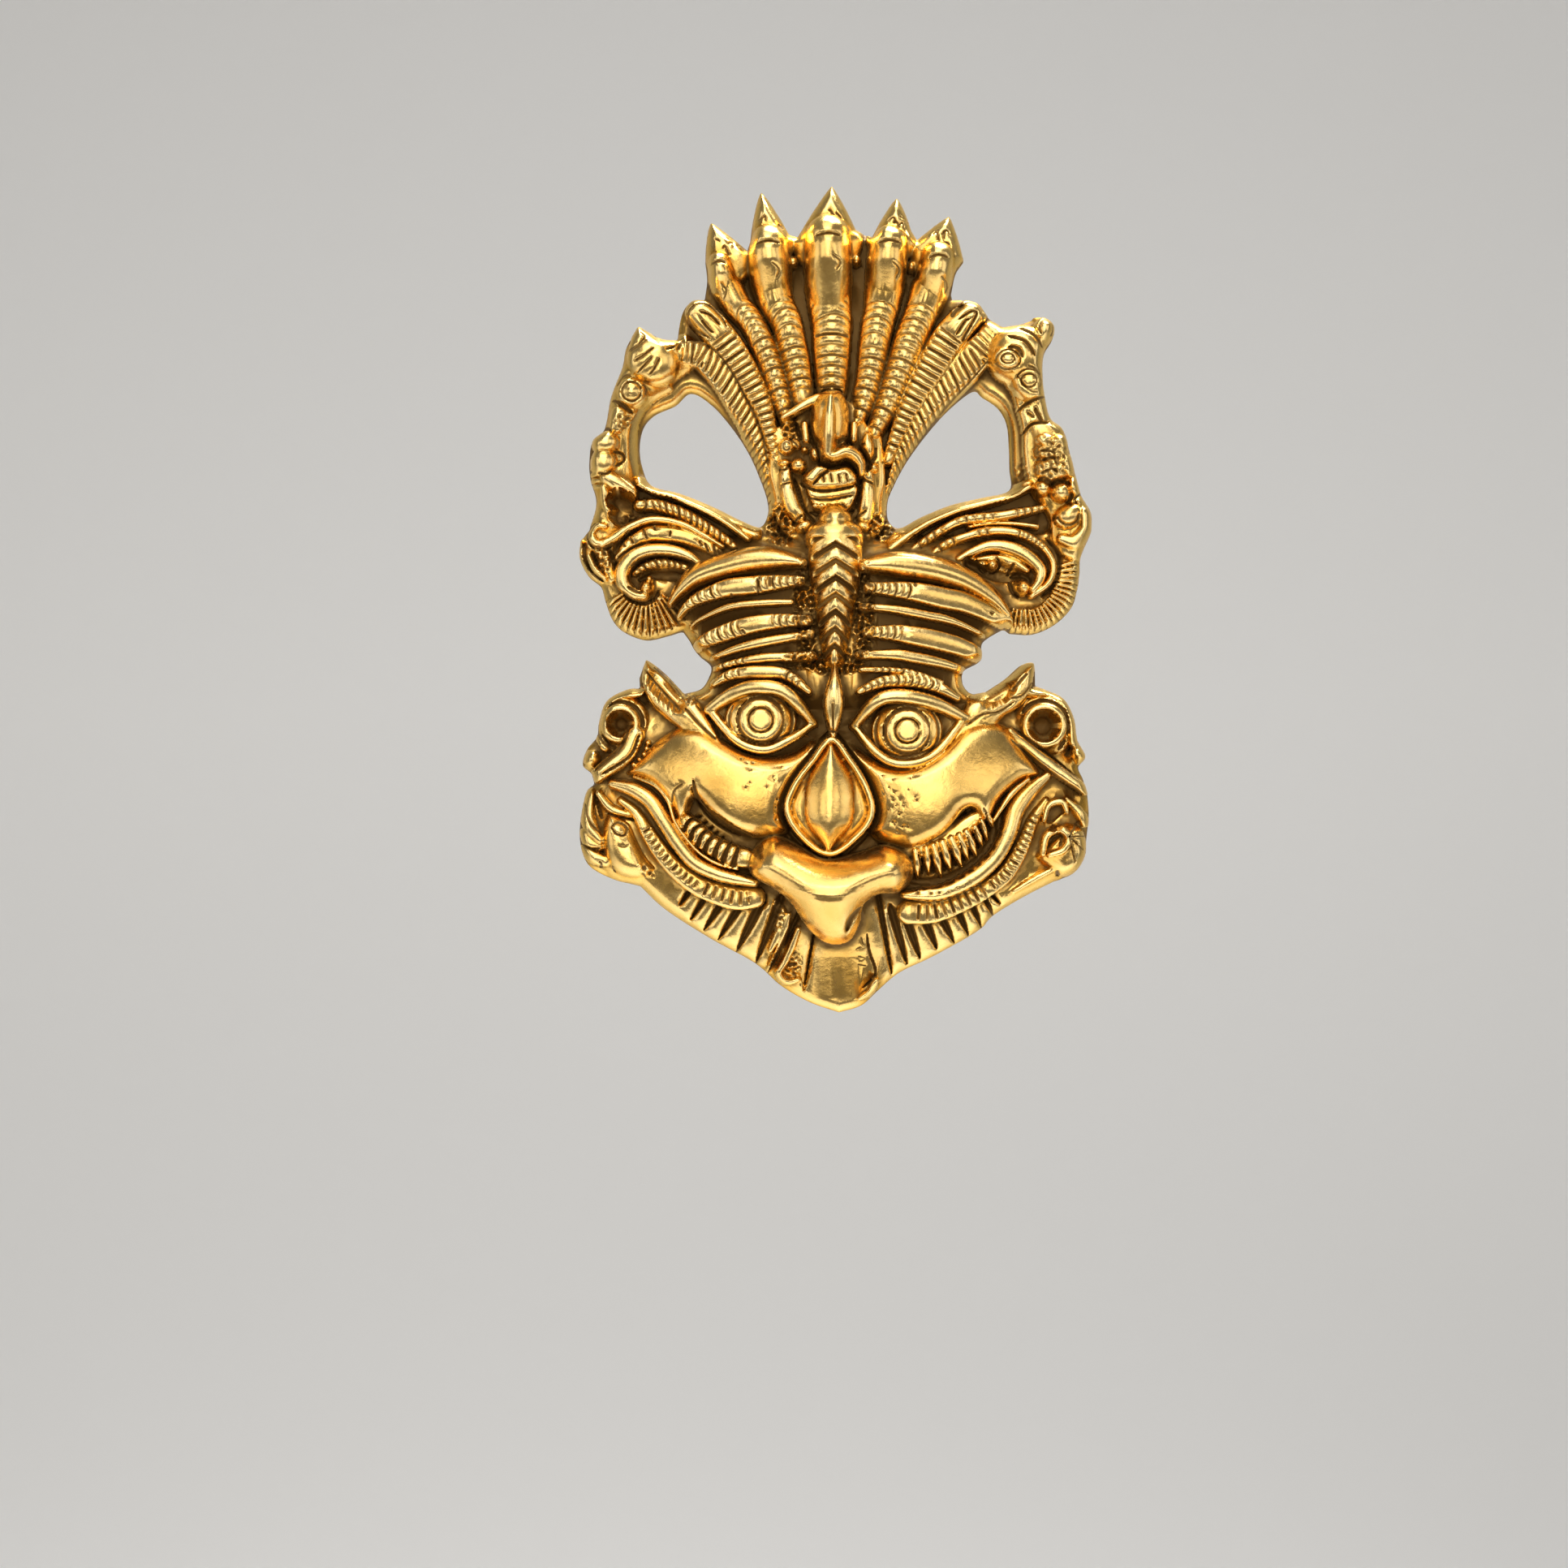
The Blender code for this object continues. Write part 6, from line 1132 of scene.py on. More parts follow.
def horns_and_ears(relief):
    """The leaf-shaped horns, and the ears with a ring and a band across them."""
    relief.stroke([(-31.3, -24.6), (-29.4, -28.7), (-24.7, -33.1), (-18.9, -38.8)], (0.8, 2.9, 2.5, 0.7),
                  (8.6, 10.4, 12.8, 15.2), 4.6, power=2.4)
    relief.sink([(-30.2, -27.3), (-27.5, -29.8), (-26.1, -31.5)], (0.5, 0.9, 0.5), (7.0, 8.4, 9.6), 1.6)
    relief.engrave([(-31.6, -25.7), (-29.4, -28.4), (-25.5, -32.6)], 0.24, 0.6)
    relief.engrave([(-30.0, -25.4), (-27.2, -27.9), (-24.7, -31.2)], 0.22, 0.5)
    relief.ribs([(-31.6, -26.8), (-29.4, -30.1), (-26.4, -32.9)], 0.9, 1.1, 0.5, line=0.22, slant=0.6)
    relief.engrave([(-24.7, -32.3), (-22.2, -35.1), (-19.5, -37.6)], 0.3, 0.7)
    relief.granulate((-23.9, -30.7), (2.0, 1.0), 0.5, turn=-50)
    relief.stroke([(33.6, -24.6), (30.5, -29.0), (26.1, -31.8), (19.5, -40.6)], (1.0, 3.2, 2.8, 0.7),
                  (8.6, 10.6, 12.8, 15.0), 4.6, power=2.4)
    relief.sink([(26.6, -30.4), (28.3, -29.5), (29.4, -28.7)], (0.9, 1.1, 0.5), (9.6, 8.8, 8.2), 1.6)
    each(relief.engrave, (
        ([(30.2, -29.3), (31.6, -27.6), (32.7, -26.5)], 0.3, 0.7),
        ([(29.7, -30.7), (31.9, -30.1), (33.6, -27.9)], 0.24, 0.5),
        ([(22.2, -35.3), (25.0, -33.4), (27.8, -32.9), (30.5, -31.2)], 0.24, 0.5),
    ))
    for centre, bore, ring in (((-35.6, -34.9), 0.8, 2.9), ((35.5, -35.2), 1.3, 3.4)):
        relief.dome(centre, (ring + 2.1, ring + 2.2), 8.8, 3.2, power=2.6)
        angles = np.linspace(0, 2 * np.pi, 13)
        loop = np.column_stack([np.cos(angles), np.sin(angles)]) * (ring - 0.6) + centre
        relief.stroke(loop, 1.15, 10.2, 3.4, power=2.4)
        relief.ring(centre, (ring + 0.75, ring + 0.75), 0.42, 1.1, (-20, 150))
        relief.sink([centre, (centre[0] + 0.01, centre[1])], bore, 4.6, 3.4)
    relief.stroke([(-32.6, -29.4), (-36.3, -30.0), (-38.8, -32.0), (-39.6, -35.9), (-38.2, -38.9)],
                  (1.0, 0.9, 1.0, 0.9, 0.8), 8.8, 3.0, power=2.6)
    relief.stroke([(-33.0, -36.7), (-34.9, -40.0), (-39.6, -43.6)], (1.5, 1.7, 1.3), 10.4, 4.4, power=3)
    each(relief.engrave, (
        ([(-34.4, -36.4), (-35.8, -39.2), (-39.9, -42.8)], 0.38, 1.2),
        ([(-32.4, -36.7), (-34.0, -40.3), (-38.7, -43.4)], 0.3, 0.9),
        ([(-38.8, -36.7), (-37.4, -38.4), (-36.3, -38.7)], 0.28, 0.8),
    ))
    relief.ring((-35.6, -34.9), (4.2, 4.3), 0.3, 0.8, (150, 260))
    for x, z in row_points([(-30.8, -37.6), (-31.6, -40.0), (-33.8, -42.2)], 5):
        relief.dome((x, z), (0.5, 0.5), 9.8, 1.2)
    relief.dome((-40.7, -40.7), (1.6, 1.5), 8.6, 3.2, power=2.4)
    relief.dome((-40.9, -42.5), (1.2, 1.0), 7.6, 2.6)
    relief.stroke([(29.7, -36.4), (35.8, -41.4), (42.7, -46.1)], (1.0, 1.2, 0.9), 10.4, 4.2, power=2.8)
    relief.engrave([(30.1, -35.6), (36.6, -40.3), (41.6, -44.5)], 0.3, 0.9)
    relief.engrave([(29.7, -37.6), (35.8, -42.5), (42.1, -46.8)], 0.26, 0.7)
    relief.stroke([(32.7, -29.8), (36.6, -29.3), (39.6, -31.2), (40.7, -34.8), (40.7, -38.1)],
                  (0.7, 0.9, 1.0, 0.9, 0.8), 8.8, 3.0, power=2.6)
    for start, end in (((39.1, -37.6), (38.0, -39.2)), ((40.5, -38.7), (39.3, -40.3)),
                       ((41.8, -39.2), (41.0, -41.1))):
        relief.engrave([start, end], 0.34, 0.8)
    relief.dome((41.8, -40.0), (1.5, 2.0), 8.4, 3.0, turn=30)


def corner_ornaments(relief):
    """The fish head at the left corner of the mouth and the leaf at the right."""
    relief.pillow([(-37.8, -49.8), (-36.0, -50.1), (-33.8, -51.6), (-32.7, -53.8), (-31.1, -56.9),
                   (-29.4, -59.1), (-30.2, -60.2), (-32.7, -61.0), (-36.0, -60.2), (-38.2, -57.4),
                   (-38.8, -53.3)], 10.6, 5.4, 3.0, power=2.2)
    relief.engrave([(-37.1, -52.2), (-36.0, -51.5), (-34.5, -52.3), (-34.9, -53.6), (-36.3, -53.3),
                    (-37.1, -52.2)], 0.24, 0.6)
    relief.engrave([(-37.7, -50.0), (-35.5, -50.3), (-33.0, -51.1)], 0.4, 1.0)
    relief.stroke([(-39.3, -46.7), (-37.1, -49.2), (-33.6, -50.3)], (0.6, 0.8, 0.5), 9.0, 2.4)
    relief.engrave([(-35.8, -55.4), (-34.9, -55.6), (-34.1, -55.2)], 0.16, 0.35)
    relief.stroke([(-41.0, -46.4), (-41.6, -49.7), (-40.5, -52.7), (-39.1, -54.4)], (0.9, 1.5, 1.3, 0.8),
                  8.6, 3.4, power=2.4)
    relief.engrave([(-41.6, -48.3), (-41.0, -51.1), (-39.3, -53.0)], 0.26, 0.6)
    relief.engrave([(-39.9, -46.7), (-39.3, -49.2), (-38.8, -50.8)], 0.34, 0.9)
    relief.stroke([(-42.1, -53.3), (-41.0, -54.7), (-39.1, -55.5)], (0.8, 1.2, 0.8), 8.0, 3.0)
    relief.stroke([(-42.1, -56.1), (-40.5, -57.2), (-38.2, -58.0)], (0.9, 1.3, 1.0), 8.0, 3.0)
    each(relief.engrave, (
        ([(-42.1, -55.2), (-40.5, -55.9), (-39.1, -55.8)], 0.26, 0.8),
        ([(-39.2, -58.0), (-38.8, -58.5), (-39.2, -59.0)], 0.24, 0.5),
        ([(-37.0, -58.8), (-36.6, -59.8)], 0.24, 0.5),
    ))
    relief.granulate((-31.3, -59.6), (2.0, 1.1), 0.4, turn=-40)
    relief.pillow([(36.0, -53.8), (38.8, -51.4), (42.1, -52.7), (43.2, -56.3), (42.1, -59.4),
                   (39.1, -60.7), (36.3, -59.4), (33.8, -57.7), (34.1, -55.8)], 10.2, 5.0, 3.0, power=2.2)
    relief.stroke([(35.2, -56.6), (35.8, -53.8), (38.0, -52.5), (39.6, -54.1), (38.5, -56.1),
                   (36.3, -56.9)], (0.6, 0.7, 0.75, 0.7, 0.7, 0.5), 11.4, 2.6)
    relief.engrave([(36.0, -55.8), (36.9, -54.4), (38.4, -53.8), (38.0, -55.5)], 0.26, 0.7)
    for end in ((40.7, -58.3), (42.1, -56.1), (42.7, -53.8), (41.3, -51.4)):
        relief.engrave([(39.6, -53.8), end], 0.2, 0.45)
    relief.sink([(36.6, -50.5), (37.7, -49.4)], (0.7, 0.9), 6.6, 2.4)
    relief.stroke([(35.5, -51.1), (36.3, -48.6), (38.5, -48.0), (39.3, -49.7)], (0.5, 0.6, 0.7, 0.5), 9.6,
                  2.6)
    relief.stroke([(39.3, -47.5), (41.0, -49.2), (42.7, -51.4)], (0.6, 0.9, 1.0), 8.6, 3.0)
    relief.engrave([(38.2, -60.5), (37.7, -59.6)], 0.4, 1.0)
    relief.stroke([(30.5, -63.0), (33.8, -61.0), (37.4, -59.1)], (0.5, 0.6, 0.5), 8.4, 2.0)


def distance_inside(relief, loops):
    """How far each place is inside the silhouette, and below zero outside it."""
    found = inside(relief.x, relief.z, loops[0])
    for opening in loops[1:]:
        found &= ~inside(relief.x, relief.z, opening)
    distance = np.full(relief.x.shape, EDGE_REACH)
    for loop in loops:
        closed = closed_loop(loop)
        for start in range(0, len(loop), LOOP_PIECE):
            piece = closed[start:start + LOOP_PIECE + 1]
            where = relief.near(piece, EDGE_REACH)
            near = to_path(relief.x[where], relief.z[where], piece)[0]
            distance[where] = np.minimum(distance[where], near)
    return np.where(found, distance, -distance)


def round_shoulder(relief, loops):
    """Brings every height down to the side wall along the silhouette."""
    relief.edge = distance_inside(relief, loops)
    share = rounded(1 - relief.edge / SHOULDER)
    relief.height = EDGE + (relief.height - EDGE) * share


def carve(step):
    """The whole relief on a grid with the step, and the loops of its silhouette."""
    relief = Relief(step)
    for layer in (ground, crown, left_arch, right_arch, little_figure, left_wing, right_wing,
                  beard, cheeks, forehead, horns_and_ears, corner_ornaments, eyes, mouth, nose):
        layer(relief)
    loops = silhouette(POINTS_PER_SPAN)
    round_shoulder(relief, loops)
    return relief, loops


def lowest_near(heights, reach):
    """The lowest height within the reach, counted in grid steps along each axis."""
    for axis in (0, 1):
        shifted = [np.roll(heights, shift, axis) for shift in range(-reach, reach + 1)]
        heights = np.minimum.reduce(shifted)
    return heights


def hollow_depth(relief):
    """How deep the hollow of the back is at each place of the grid."""
    around = round(CASTING_WALL / relief.step)
    ceiling = blurred(lowest_near(relief.height, around), HOLLOW_CEILING_BLUR, relief.step)
    ceiling -= CASTING_WALL
    half_height = (HOLLOW_TOP - HOLLOW_BOTTOM) / 2
    middle = (HOLLOW_TOP + HOLLOW_BOTTOM) / 2
    egg = np.hypot((relief.x - HOLLOW_CENTRE) / HOLLOW_HALF_WIDTH,
                   (relief.z - middle) / half_height)
    inward = np.minimum((1 - egg) * half_height, relief.edge - RIM_WIDTH)
    depth = np.minimum(ceiling, inward * HOLLOW_SIDE_SLOPE)
    depth = np.where(depth > 0, depth + HOLLOW_LEAST_DEPTH, 0)
    depth = blurred(depth, HOLLOW_RIM_BLUR, relief.step)
    return np.clip(depth - HOLLOW_LEAST_DEPTH, 0, None)


def nearest_on(loops, points):
    """The nearest place on the loops to each of the points."""
    best = np.full(len(points), np.inf)
    found = points.copy()
    for loop in loops:
        closed = closed_loop(loop)
        for start, end in zip(closed[:-1], closed[1:]):
            run = end - start
            share = np.clip((points - start) @ run / (run @ run), 0, 1)
            place = start + share[:, None] * run
            squared = ((points - place) ** 2).sum(axis=1)
            closer = squared < best
            best[closer] = squared[closer]
            found[closer] = place[closer]
    return found


def casting_arrays(relief, loops, depth):
    """Vertices and quads of the closed casting: its front, its back and the wall between."""
    plan = np.column_stack([relief.x.ravel(), relief.z.ravel()])
    solid = relief.edge > 0
    kept = solid[:-1, :-1] | solid[1:, :-1] | solid[:-1, 1:] | solid[1:, 1:]
    columns = relief.x.shape[1]
    row, column = np.nonzero(kept)
    first = row * columns + column
    quads = np.column_stack([first, first + 1, first + columns + 1, first + columns])
    padded = np.pad(kept, 1)
    sides = []
    for (down, across), a, b in (((-1, 0), 0, 1), ((0, 1), 1, 2), ((1, 0), 2, 3), ((0, -1), 3, 0)):
        open_side = ~padded[row + 1 + down, column + 1 + across]
        sides.append(quads[open_side][:, [a, b]])
    sides = np.vstack(sides)
    used = np.unique(quads)
    number = np.full(plan.shape[0], -1)
    number[used] = np.arange(len(used))
    outer = used[~solid.ravel()[used]]
    plan[outer] = nearest_on(loops, plan[outer])
    height = np.where(solid, relief.height, EDGE).ravel()[used]
    deep = np.where(solid, depth, 0).ravel()[used]
    place = plan[used]
    front = np.column_stack([place[:, 0], -height, place[:, 1]])
    back = np.column_stack([place[:, 0], -deep, place[:, 1]])
    quads, sides = number[quads], number[sides]
    count = len(used)
    wall = np.column_stack([sides[:, 1], sides[:, 0], sides[:, 0] + count, sides[:, 1] + count])
    faces = np.vstack([quads, quads[:, ::-1] + count, wall])
    scale = np.array([PLAN_SCALE, DEPTH_SCALE, PLAN_SCALE])
    return np.vstack([front, back]) * scale, faces


def mesh_from(name, vertices, faces):
    """A mesh of quads."""
    mesh = bpy.data.meshes.new(name)
    mesh.vertices.add(len(vertices))
    mesh.vertices.foreach_set("co", vertices.astype(np.float32).ravel())
    mesh.loops.add(faces.size)
    mesh.loops.foreach_set("vertex_index", faces.astype(np.int32).ravel())
    mesh.polygons.add(len(faces))
    mesh.polygons.foreach_set("loop_start", np.arange(0, faces.size, 4, dtype=np.int32))
    mesh.update(calc_edges=True)
    mesh.validate()
    return mesh


def thinned(mesh, name):
    """The mesh with its flat places merged, down to the triangles that are kept."""
    carrier = bpy.data.objects.new(name, mesh)
    bpy.context.scene.collection.objects.link(carrier)
    decimate = carrier.modifiers.new("merge flat places", "DECIMATE")
    decimate.ratio = min(1.0, MOST_TRIANGLES / (2 * len(mesh.polygons)))
    graph = bpy.context.evaluated_depsgraph_get()
    made = bpy.data.meshes.new_from_object(carrier.evaluated_get(graph))
    bpy.data.objects.remove(carrier, do_unlink=True)
    bpy.data.meshes.remove(mesh)
    made.name = name
    return made


def sampled(grid, relief, x, z):
    """The grid's value at each place, from the four points round it."""
    across = np.clip((x - relief.xs[0]) / relief.step, 0, len(relief.xs) - 1.001)
    up = np.clip((z - relief.zs[0]) / relief.step, 0, len(relief.zs) - 1.001)
    column, row = across.astype(int), up.astype(int)
    u, v = across - column, up - row
    low = grid[row, column] * (1 - u) + grid[row, column + 1] * u
    high = grid[row + 1, column] * (1 - u) + grid[row + 1, column + 1] * u
    return low * (1 - v) + high * v


RECESSES = (
    # blur of the surroundings, depth where patina and painted shade start, depth over which they grow, share
    (0.45, 0.1, 0.7, 0.35),
    (1.5, 0.5, 1.9, 0.6),
)
ENGRAVED_SHARE = 0.75
# Raised edges get a lighter colour: wear and a painted highlight.
WORN_AND_HIGHLIGHT_BLUR = 0.6
WORN_AND_HIGHLIGHT_HEIGHT = 0.4
# The back and the bar get an even share of the patina and painted shade.
BACK_RECESS = 0.4
BAR_RECESS = 0.3
# How far a vertex may lie from the relief, its rim and its outline and still be front.
FRONT_REACH = 0.9
RIM_REACH = 0.8
OUTLINE_REACH = 1.0


def mark_recesses_and_edges(mesh, relief):
    """Stores recess depth, for patina and painted shade, and edge height, for wear and a painted highlight.
    """
    filled = np.where(relief.edge <= 0, EDGE, relief.height)
    # Recesses, darkened with patina and painted shade.
    recess = np.zeros(filled.shape)
    for blur, start, growth, share in RECESSES:
        sunk = blurred(filled, blur, relief.step) - filled
        recess += np.clip((sunk - start) / growth, 0, 1) * share
    recess = np.clip(recess + relief.engraved * ENGRAVED_SHARE, 0, 1)
    # Raised edges, lightened with wear and a painted highlight.
    worn_and_highlight = np.clip((filled - blurred(filled, WORN_AND_HIGHLIGHT_BLUR, relief.step)) / WORN_AND_HIGHLIGHT_HEIGHT, 0, 1)
    places = np.empty(len(mesh.vertices) * 3, np.float32)
    mesh.vertices.foreach_get("co", places)
    places = places.reshape(-1, 3)
    x, z = places[:, 0] / PLAN_SCALE, places[:, 2] / PLAN_SCALE
    height = -places[:, 1] / DEPTH_SCALE
    on_front = height > sampled(filled, relief, x, z) - FRONT_REACH
    on_front &= height > EDGE - RIM_REACH
    on_front &= sampled(relief.edge, relief, x, z) > -OUTLINE_REACH
    for name, grid, behind in (("recess", recess, BACK_RECESS), ("worn_and_highlight", worn_and_highlight, 0.0)):
        value = np.where(on_front, sampled(grid, relief, x, z), behind)
        attribute = mesh.attributes.new(name, "FLOAT", "POINT")
        attribute.data.foreach_set("value", value.astype(np.float32))


def bar_arrays(relief, depth):
    """The bar across the top of the hollow, with its long edges cut off."""
    rows = np.abs(relief.zs - BAR_LEVEL) <= BAR_HEIGHT / 2
    open_columns = relief.xs[(depth[rows] > 0).any(axis=0)]
    left, right = open_columns.min() - BAR_SEAT, open_columns.max() + BAR_SEAT
    half, cut, back = BAR_HEIGHT / 2, BAR_EDGE, -BAR_BEHIND_RIM
    profile = [(back, half - cut), (back - cut, half), (-BAR_DEPTH + cut, half),
               (-BAR_DEPTH, half - cut), (-BAR_DEPTH, cut - half), (-BAR_DEPTH + cut, -half),
               (back - cut, -half), (back, cut - half)]
    corners = [(x * PLAN_SCALE, y * DEPTH_SCALE, (BAR_LEVEL + z) * PLAN_SCALE)
               for x in (left, right) for y, z in profile]
    ring = len(profile)
    faces = [(i, (i + 1) % ring, (i + 1) % ring + ring, i + ring) for i in range(ring)]
    faces += [(0, 7, 6, 1), (1, 6, 5, 2), (2, 5, 4, 3)]
    faces += [(8, 9, 14, 15), (9, 10, 13, 14), (10, 11, 12, 13)]
    return np.array(corners), np.array(faces)


def node(tree, kind, place, **inputs):
    """A shader node with its inputs set."""
    made = tree.nodes.new(kind)
    made.location = place
    for name, value in inputs.items():
        made.inputs[name].default_value = value
    return made


def ramp(tree, source, stops, place):
    """A ramp between grey levels or colours."""
    made = node(tree, "ShaderNodeValToRGB", place)
    elements = made.color_ramp.elements
    for _ in range(len(stops) - len(elements)):
        elements.new(0.5)
    for element, (position, level) in zip(elements, stops):
        element.position = position
        element.color = level if isinstance(level, tuple) else (level, level, level, 1)
    tree.links.new(source, made.inputs["Fac"])
    return made.outputs["Color"]


def noise(tree, vector, scale, detail, place, roughness=0.55):
    """Cloudy noise with so many cells in a metre."""
    made = node(tree, "ShaderNodeTexNoise", place, Scale=scale, Detail=detail, Roughness=roughness)
    tree.links.new(vector, made.inputs["Vector"])
    return made.outputs["Fac"]


def combined(tree, operation, a, b, place, added=0.0):
    """Two values combined, each a socket or a number. Only MULTIPLY_ADD uses added."""
    made = node(tree, "ShaderNodeMath", place)
    made.operation = operation
    for socket, value in zip(made.inputs, (a, b, added)):
        if isinstance(value, (int, float)):
            socket.default_value = value
        else:
            tree.links.new(value, socket)
    return made.outputs[0]


def mixed(tree, share, a, b, place):
    """A mix of two colours, each a socket or a fixed colour."""
    made = node(tree, "ShaderNodeMix", place)
    made.data_type = "RGBA"
    tree.links.new(share, made.inputs[0])
    for socket, value in zip((made.inputs[6], made.inputs[7]), (a, b)):
        if isinstance(value, tuple):
            socket.default_value = value
        else:
            tree.links.new(value, socket)
    return made.outputs[2]


POLISHED = (0.87, 0.545, 0.155, 1)
MELLOW = (0.70, 0.39, 0.080, 1)
# Colour of the raised edges: wear and a painted highlight.
WORN_AND_HIGHLIGHT = (0.96, 0.68, 0.27, 1)
# Colours of the recesses: patina and painted shade.
TARNISH_AND_SHADE = (0.24, 0.145, 0.044, 1)
PATINA_AND_SHADE = (0.150, 0.075, 0.016, 1)
SPECULAR_TINT = (1.0, 0.82, 0.45, 1)
# Cells of the noise in a metre.
BROAD_NOISE = 70
SMALL_NOISE = 650
FINE_NOISE = 3200
# How strongly each colour or roughness comes in.
WORN_AND_HIGHLIGHT_SHARE = 0.8
TARNISH_AND_SHADE_SHARE = 0.75
DULL_SHARE = 0.30
PATINA_AND_SHADE_LEAST = 0.55
PATINA_AND_SHADE_SWING = 0.9
# Ramps: a value of the input and what it turns into.
MELLOW_STOPS = ((0.38, 0.0), (0.66, 1.0))
HALF_DARK_STOPS = ((0.09, 0.0), (0.42, 1.0))
FULL_DARK_STOPS = ((0.36, 0.0), (0.70, 1.0))
METAL_STOPS = ((0.0, 1.0), (0.6, 0.35))
SMEAR_STOPS = ((0.35, 0.21), (0.75, 0.32))
PIT_STOPS = ((0.22, 0.0), (0.30, 1.0))
# Strength and depth of the small unevenness, in metres.
PIT_BUMP = (0.25, 0.00006)
SWELL_BUMP = (0.3, 0.00025)
SHARP_ANGLE = 84


def brass_material():
    """Polished brass, mellow in places, brown and dull in the recesses (patina and painted shade), bright on
    the edges (wear and painted highlight).
    """
    material = bpy.data.materials.new("brass_with_painted_shade_and_highlight")
    material.use_nodes = True
    tree = material.node_tree
    shader = tree.nodes["Principled BSDF"]
    place = node(tree, "ShaderNodeTexCoord", (-1700, 0)).outputs["Object"]
    recess = node(tree, "ShaderNodeAttribute", (-1700, 300))
    recess.attribute_name = "recess"
    worn_and_highlight = node(tree, "ShaderNodeAttribute", (-1700, 500))
    worn_and_highlight.attribute_name = "worn_and_highlight"

    broad = noise(tree, place, BROAD_NOISE, 3, (-1500, 0))
    small = noise(tree, place, SMALL_NOISE, 4, (-1500, -200))
    fine = noise(tree, place, FINE_NOISE, 3, (-1500, -400))
    ground = mixed(tree, ramp(tree, broad, MELLOW_STOPS, (-1200, 0)),
                   POLISHED, MELLOW, (-900, 0))
    # Raised edges are brightened: wear and a painted highlight.
    edges = combined(tree, "MULTIPLY", worn_and_highlight.outputs["Fac"], WORN_AND_HIGHLIGHT_SHARE, (-1200, 500))
    ground = mixed(tree, edges, ground, WORN_AND_HIGHLIGHT, (-700, 100))

    # Recesses are darkened toward tarnish and patina colours: patina and painted shade.
    uneven = combined(tree, "MULTIPLY_ADD", small, PATINA_AND_SHADE_SWING, (-1200, 300), PATINA_AND_SHADE_LEAST)
    dark = combined(tree, "MULTIPLY", recess.outputs["Fac"], uneven, (-1000, 300))
    half_dark = ramp(tree, dark, HALF_DARK_STOPS, (-800, 300))
    full_dark = ramp(tree, dark, FULL_DARK_STOPS, (-800, 500))
    colour = mixed(tree, combined(tree, "MULTIPLY", half_dark, TARNISH_AND_SHADE_SHARE, (-600, 300)),
                   ground, TARNISH_AND_SHADE, (-500, 100))
    colour = mixed(tree, full_dark, colour, PATINA_AND_SHADE, (-300, 100))
    tree.links.new(colour, shader.inputs["Base Color"])

    metal = ramp(tree, full_dark, METAL_STOPS, (-300, 500))
    tree.links.new(metal, shader.inputs["Metallic"])
    shader.inputs["Specular Tint"].default_value = SPECULAR_TINT
    dull = combined(tree, "MULTIPLY", half_dark, DULL_SHARE, (-500, -100))
    smears = ramp(tree, small, SMEAR_STOPS, (-800, -200))
    tree.links.new(combined(tree, "ADD", dull, smears, (-300, -150)), shader.inputs["Roughness"])

    pits = ramp(tree, fine, PIT_STOPS, (-1200, -400))
    strength, deep = PIT_BUMP
    dents = node(tree, "ShaderNodeBump", (-600, -400), Strength=strength, Distance=deep)
    tree.links.new(pits, dents.inputs["Height"])
    strength, deep = SWELL_BUMP
    swells = node(tree, "ShaderNodeBump", (-400, -400), Strength=strength, Distance=deep)
    tree.links.new(small, swells.inputs["Height"])
    tree.links.new(dents.outputs["Normal"], swells.inputs["Normal"])
    tree.links.new(swells.outputs["Normal"], shader.inputs["Normal"])
    return material


def casting():
    """The whole mask as one piece of relief, with its hollow back and its bar."""
    relief, loops = carve(STEP)
    depth = hollow_depth(relief)
    vertices, faces = casting_arrays(relief, loops, depth)
    mesh = thinned(mesh_from("mask_relief", vertices, faces), "mask_relief")
    piece = bpy.data.objects.new("mask_relief", mesh)
    bpy.context.scene.collection.objects.link(piece)
    # Masks for patina and painted shade in the recesses, and for wear and a painted highlight on the edges.
    mark_recesses_and_edges(mesh, relief)
    mesh.materials.append(brass_material())
    mesh.shade_smooth()
    mesh.set_sharp_from_angle(angle=np.radians(SHARP_ANGLE))
    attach(piece, "root")
    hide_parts("kirtimukha_casting")
    corners, sides = bar_arrays(relief, depth)
    bar_mesh = mesh_from("hanging_bar", corners, sides)
    bar = bpy.data.objects.new("hanging_bar", bar_mesh)
    bpy.context.scene.collection.objects.link(bar)
    # The bar gets an even share of patina and painted shade.
    recess = bar_mesh.attributes.new("recess", "FLOAT", "POINT")
    recess.data.foreach_set("value", np.full(len(bar_mesh.vertices), BAR_RECESS, np.float32))
    bar_mesh.materials.append(mesh.materials[0])
    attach(bar, "root")
    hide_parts("kirtimukha_casting")


def plain_material(name, colour, roughness):
    """A material of one colour."""
    material = bpy.data.materials.new(name)
    material.use_nodes = True
    shader = material.node_tree.nodes["Principled BSDF"]
    shader.inputs["Base Color"].default_value = colour
    shader.inputs["Roughness"].default_value = roughness
    return material


FLOOR_LEVEL = -0.60
FLOOR_SIZE = 4.0
FLOOR_FRONT = -0.42
BACKDROP_BEHIND = 1.5
BACKDROP_BEND = 0.6
BACKDROP_HEIGHT = 2.4
BEND_STEPS = 17
PAPER = (0.93, 0.92, 0.90, 1)


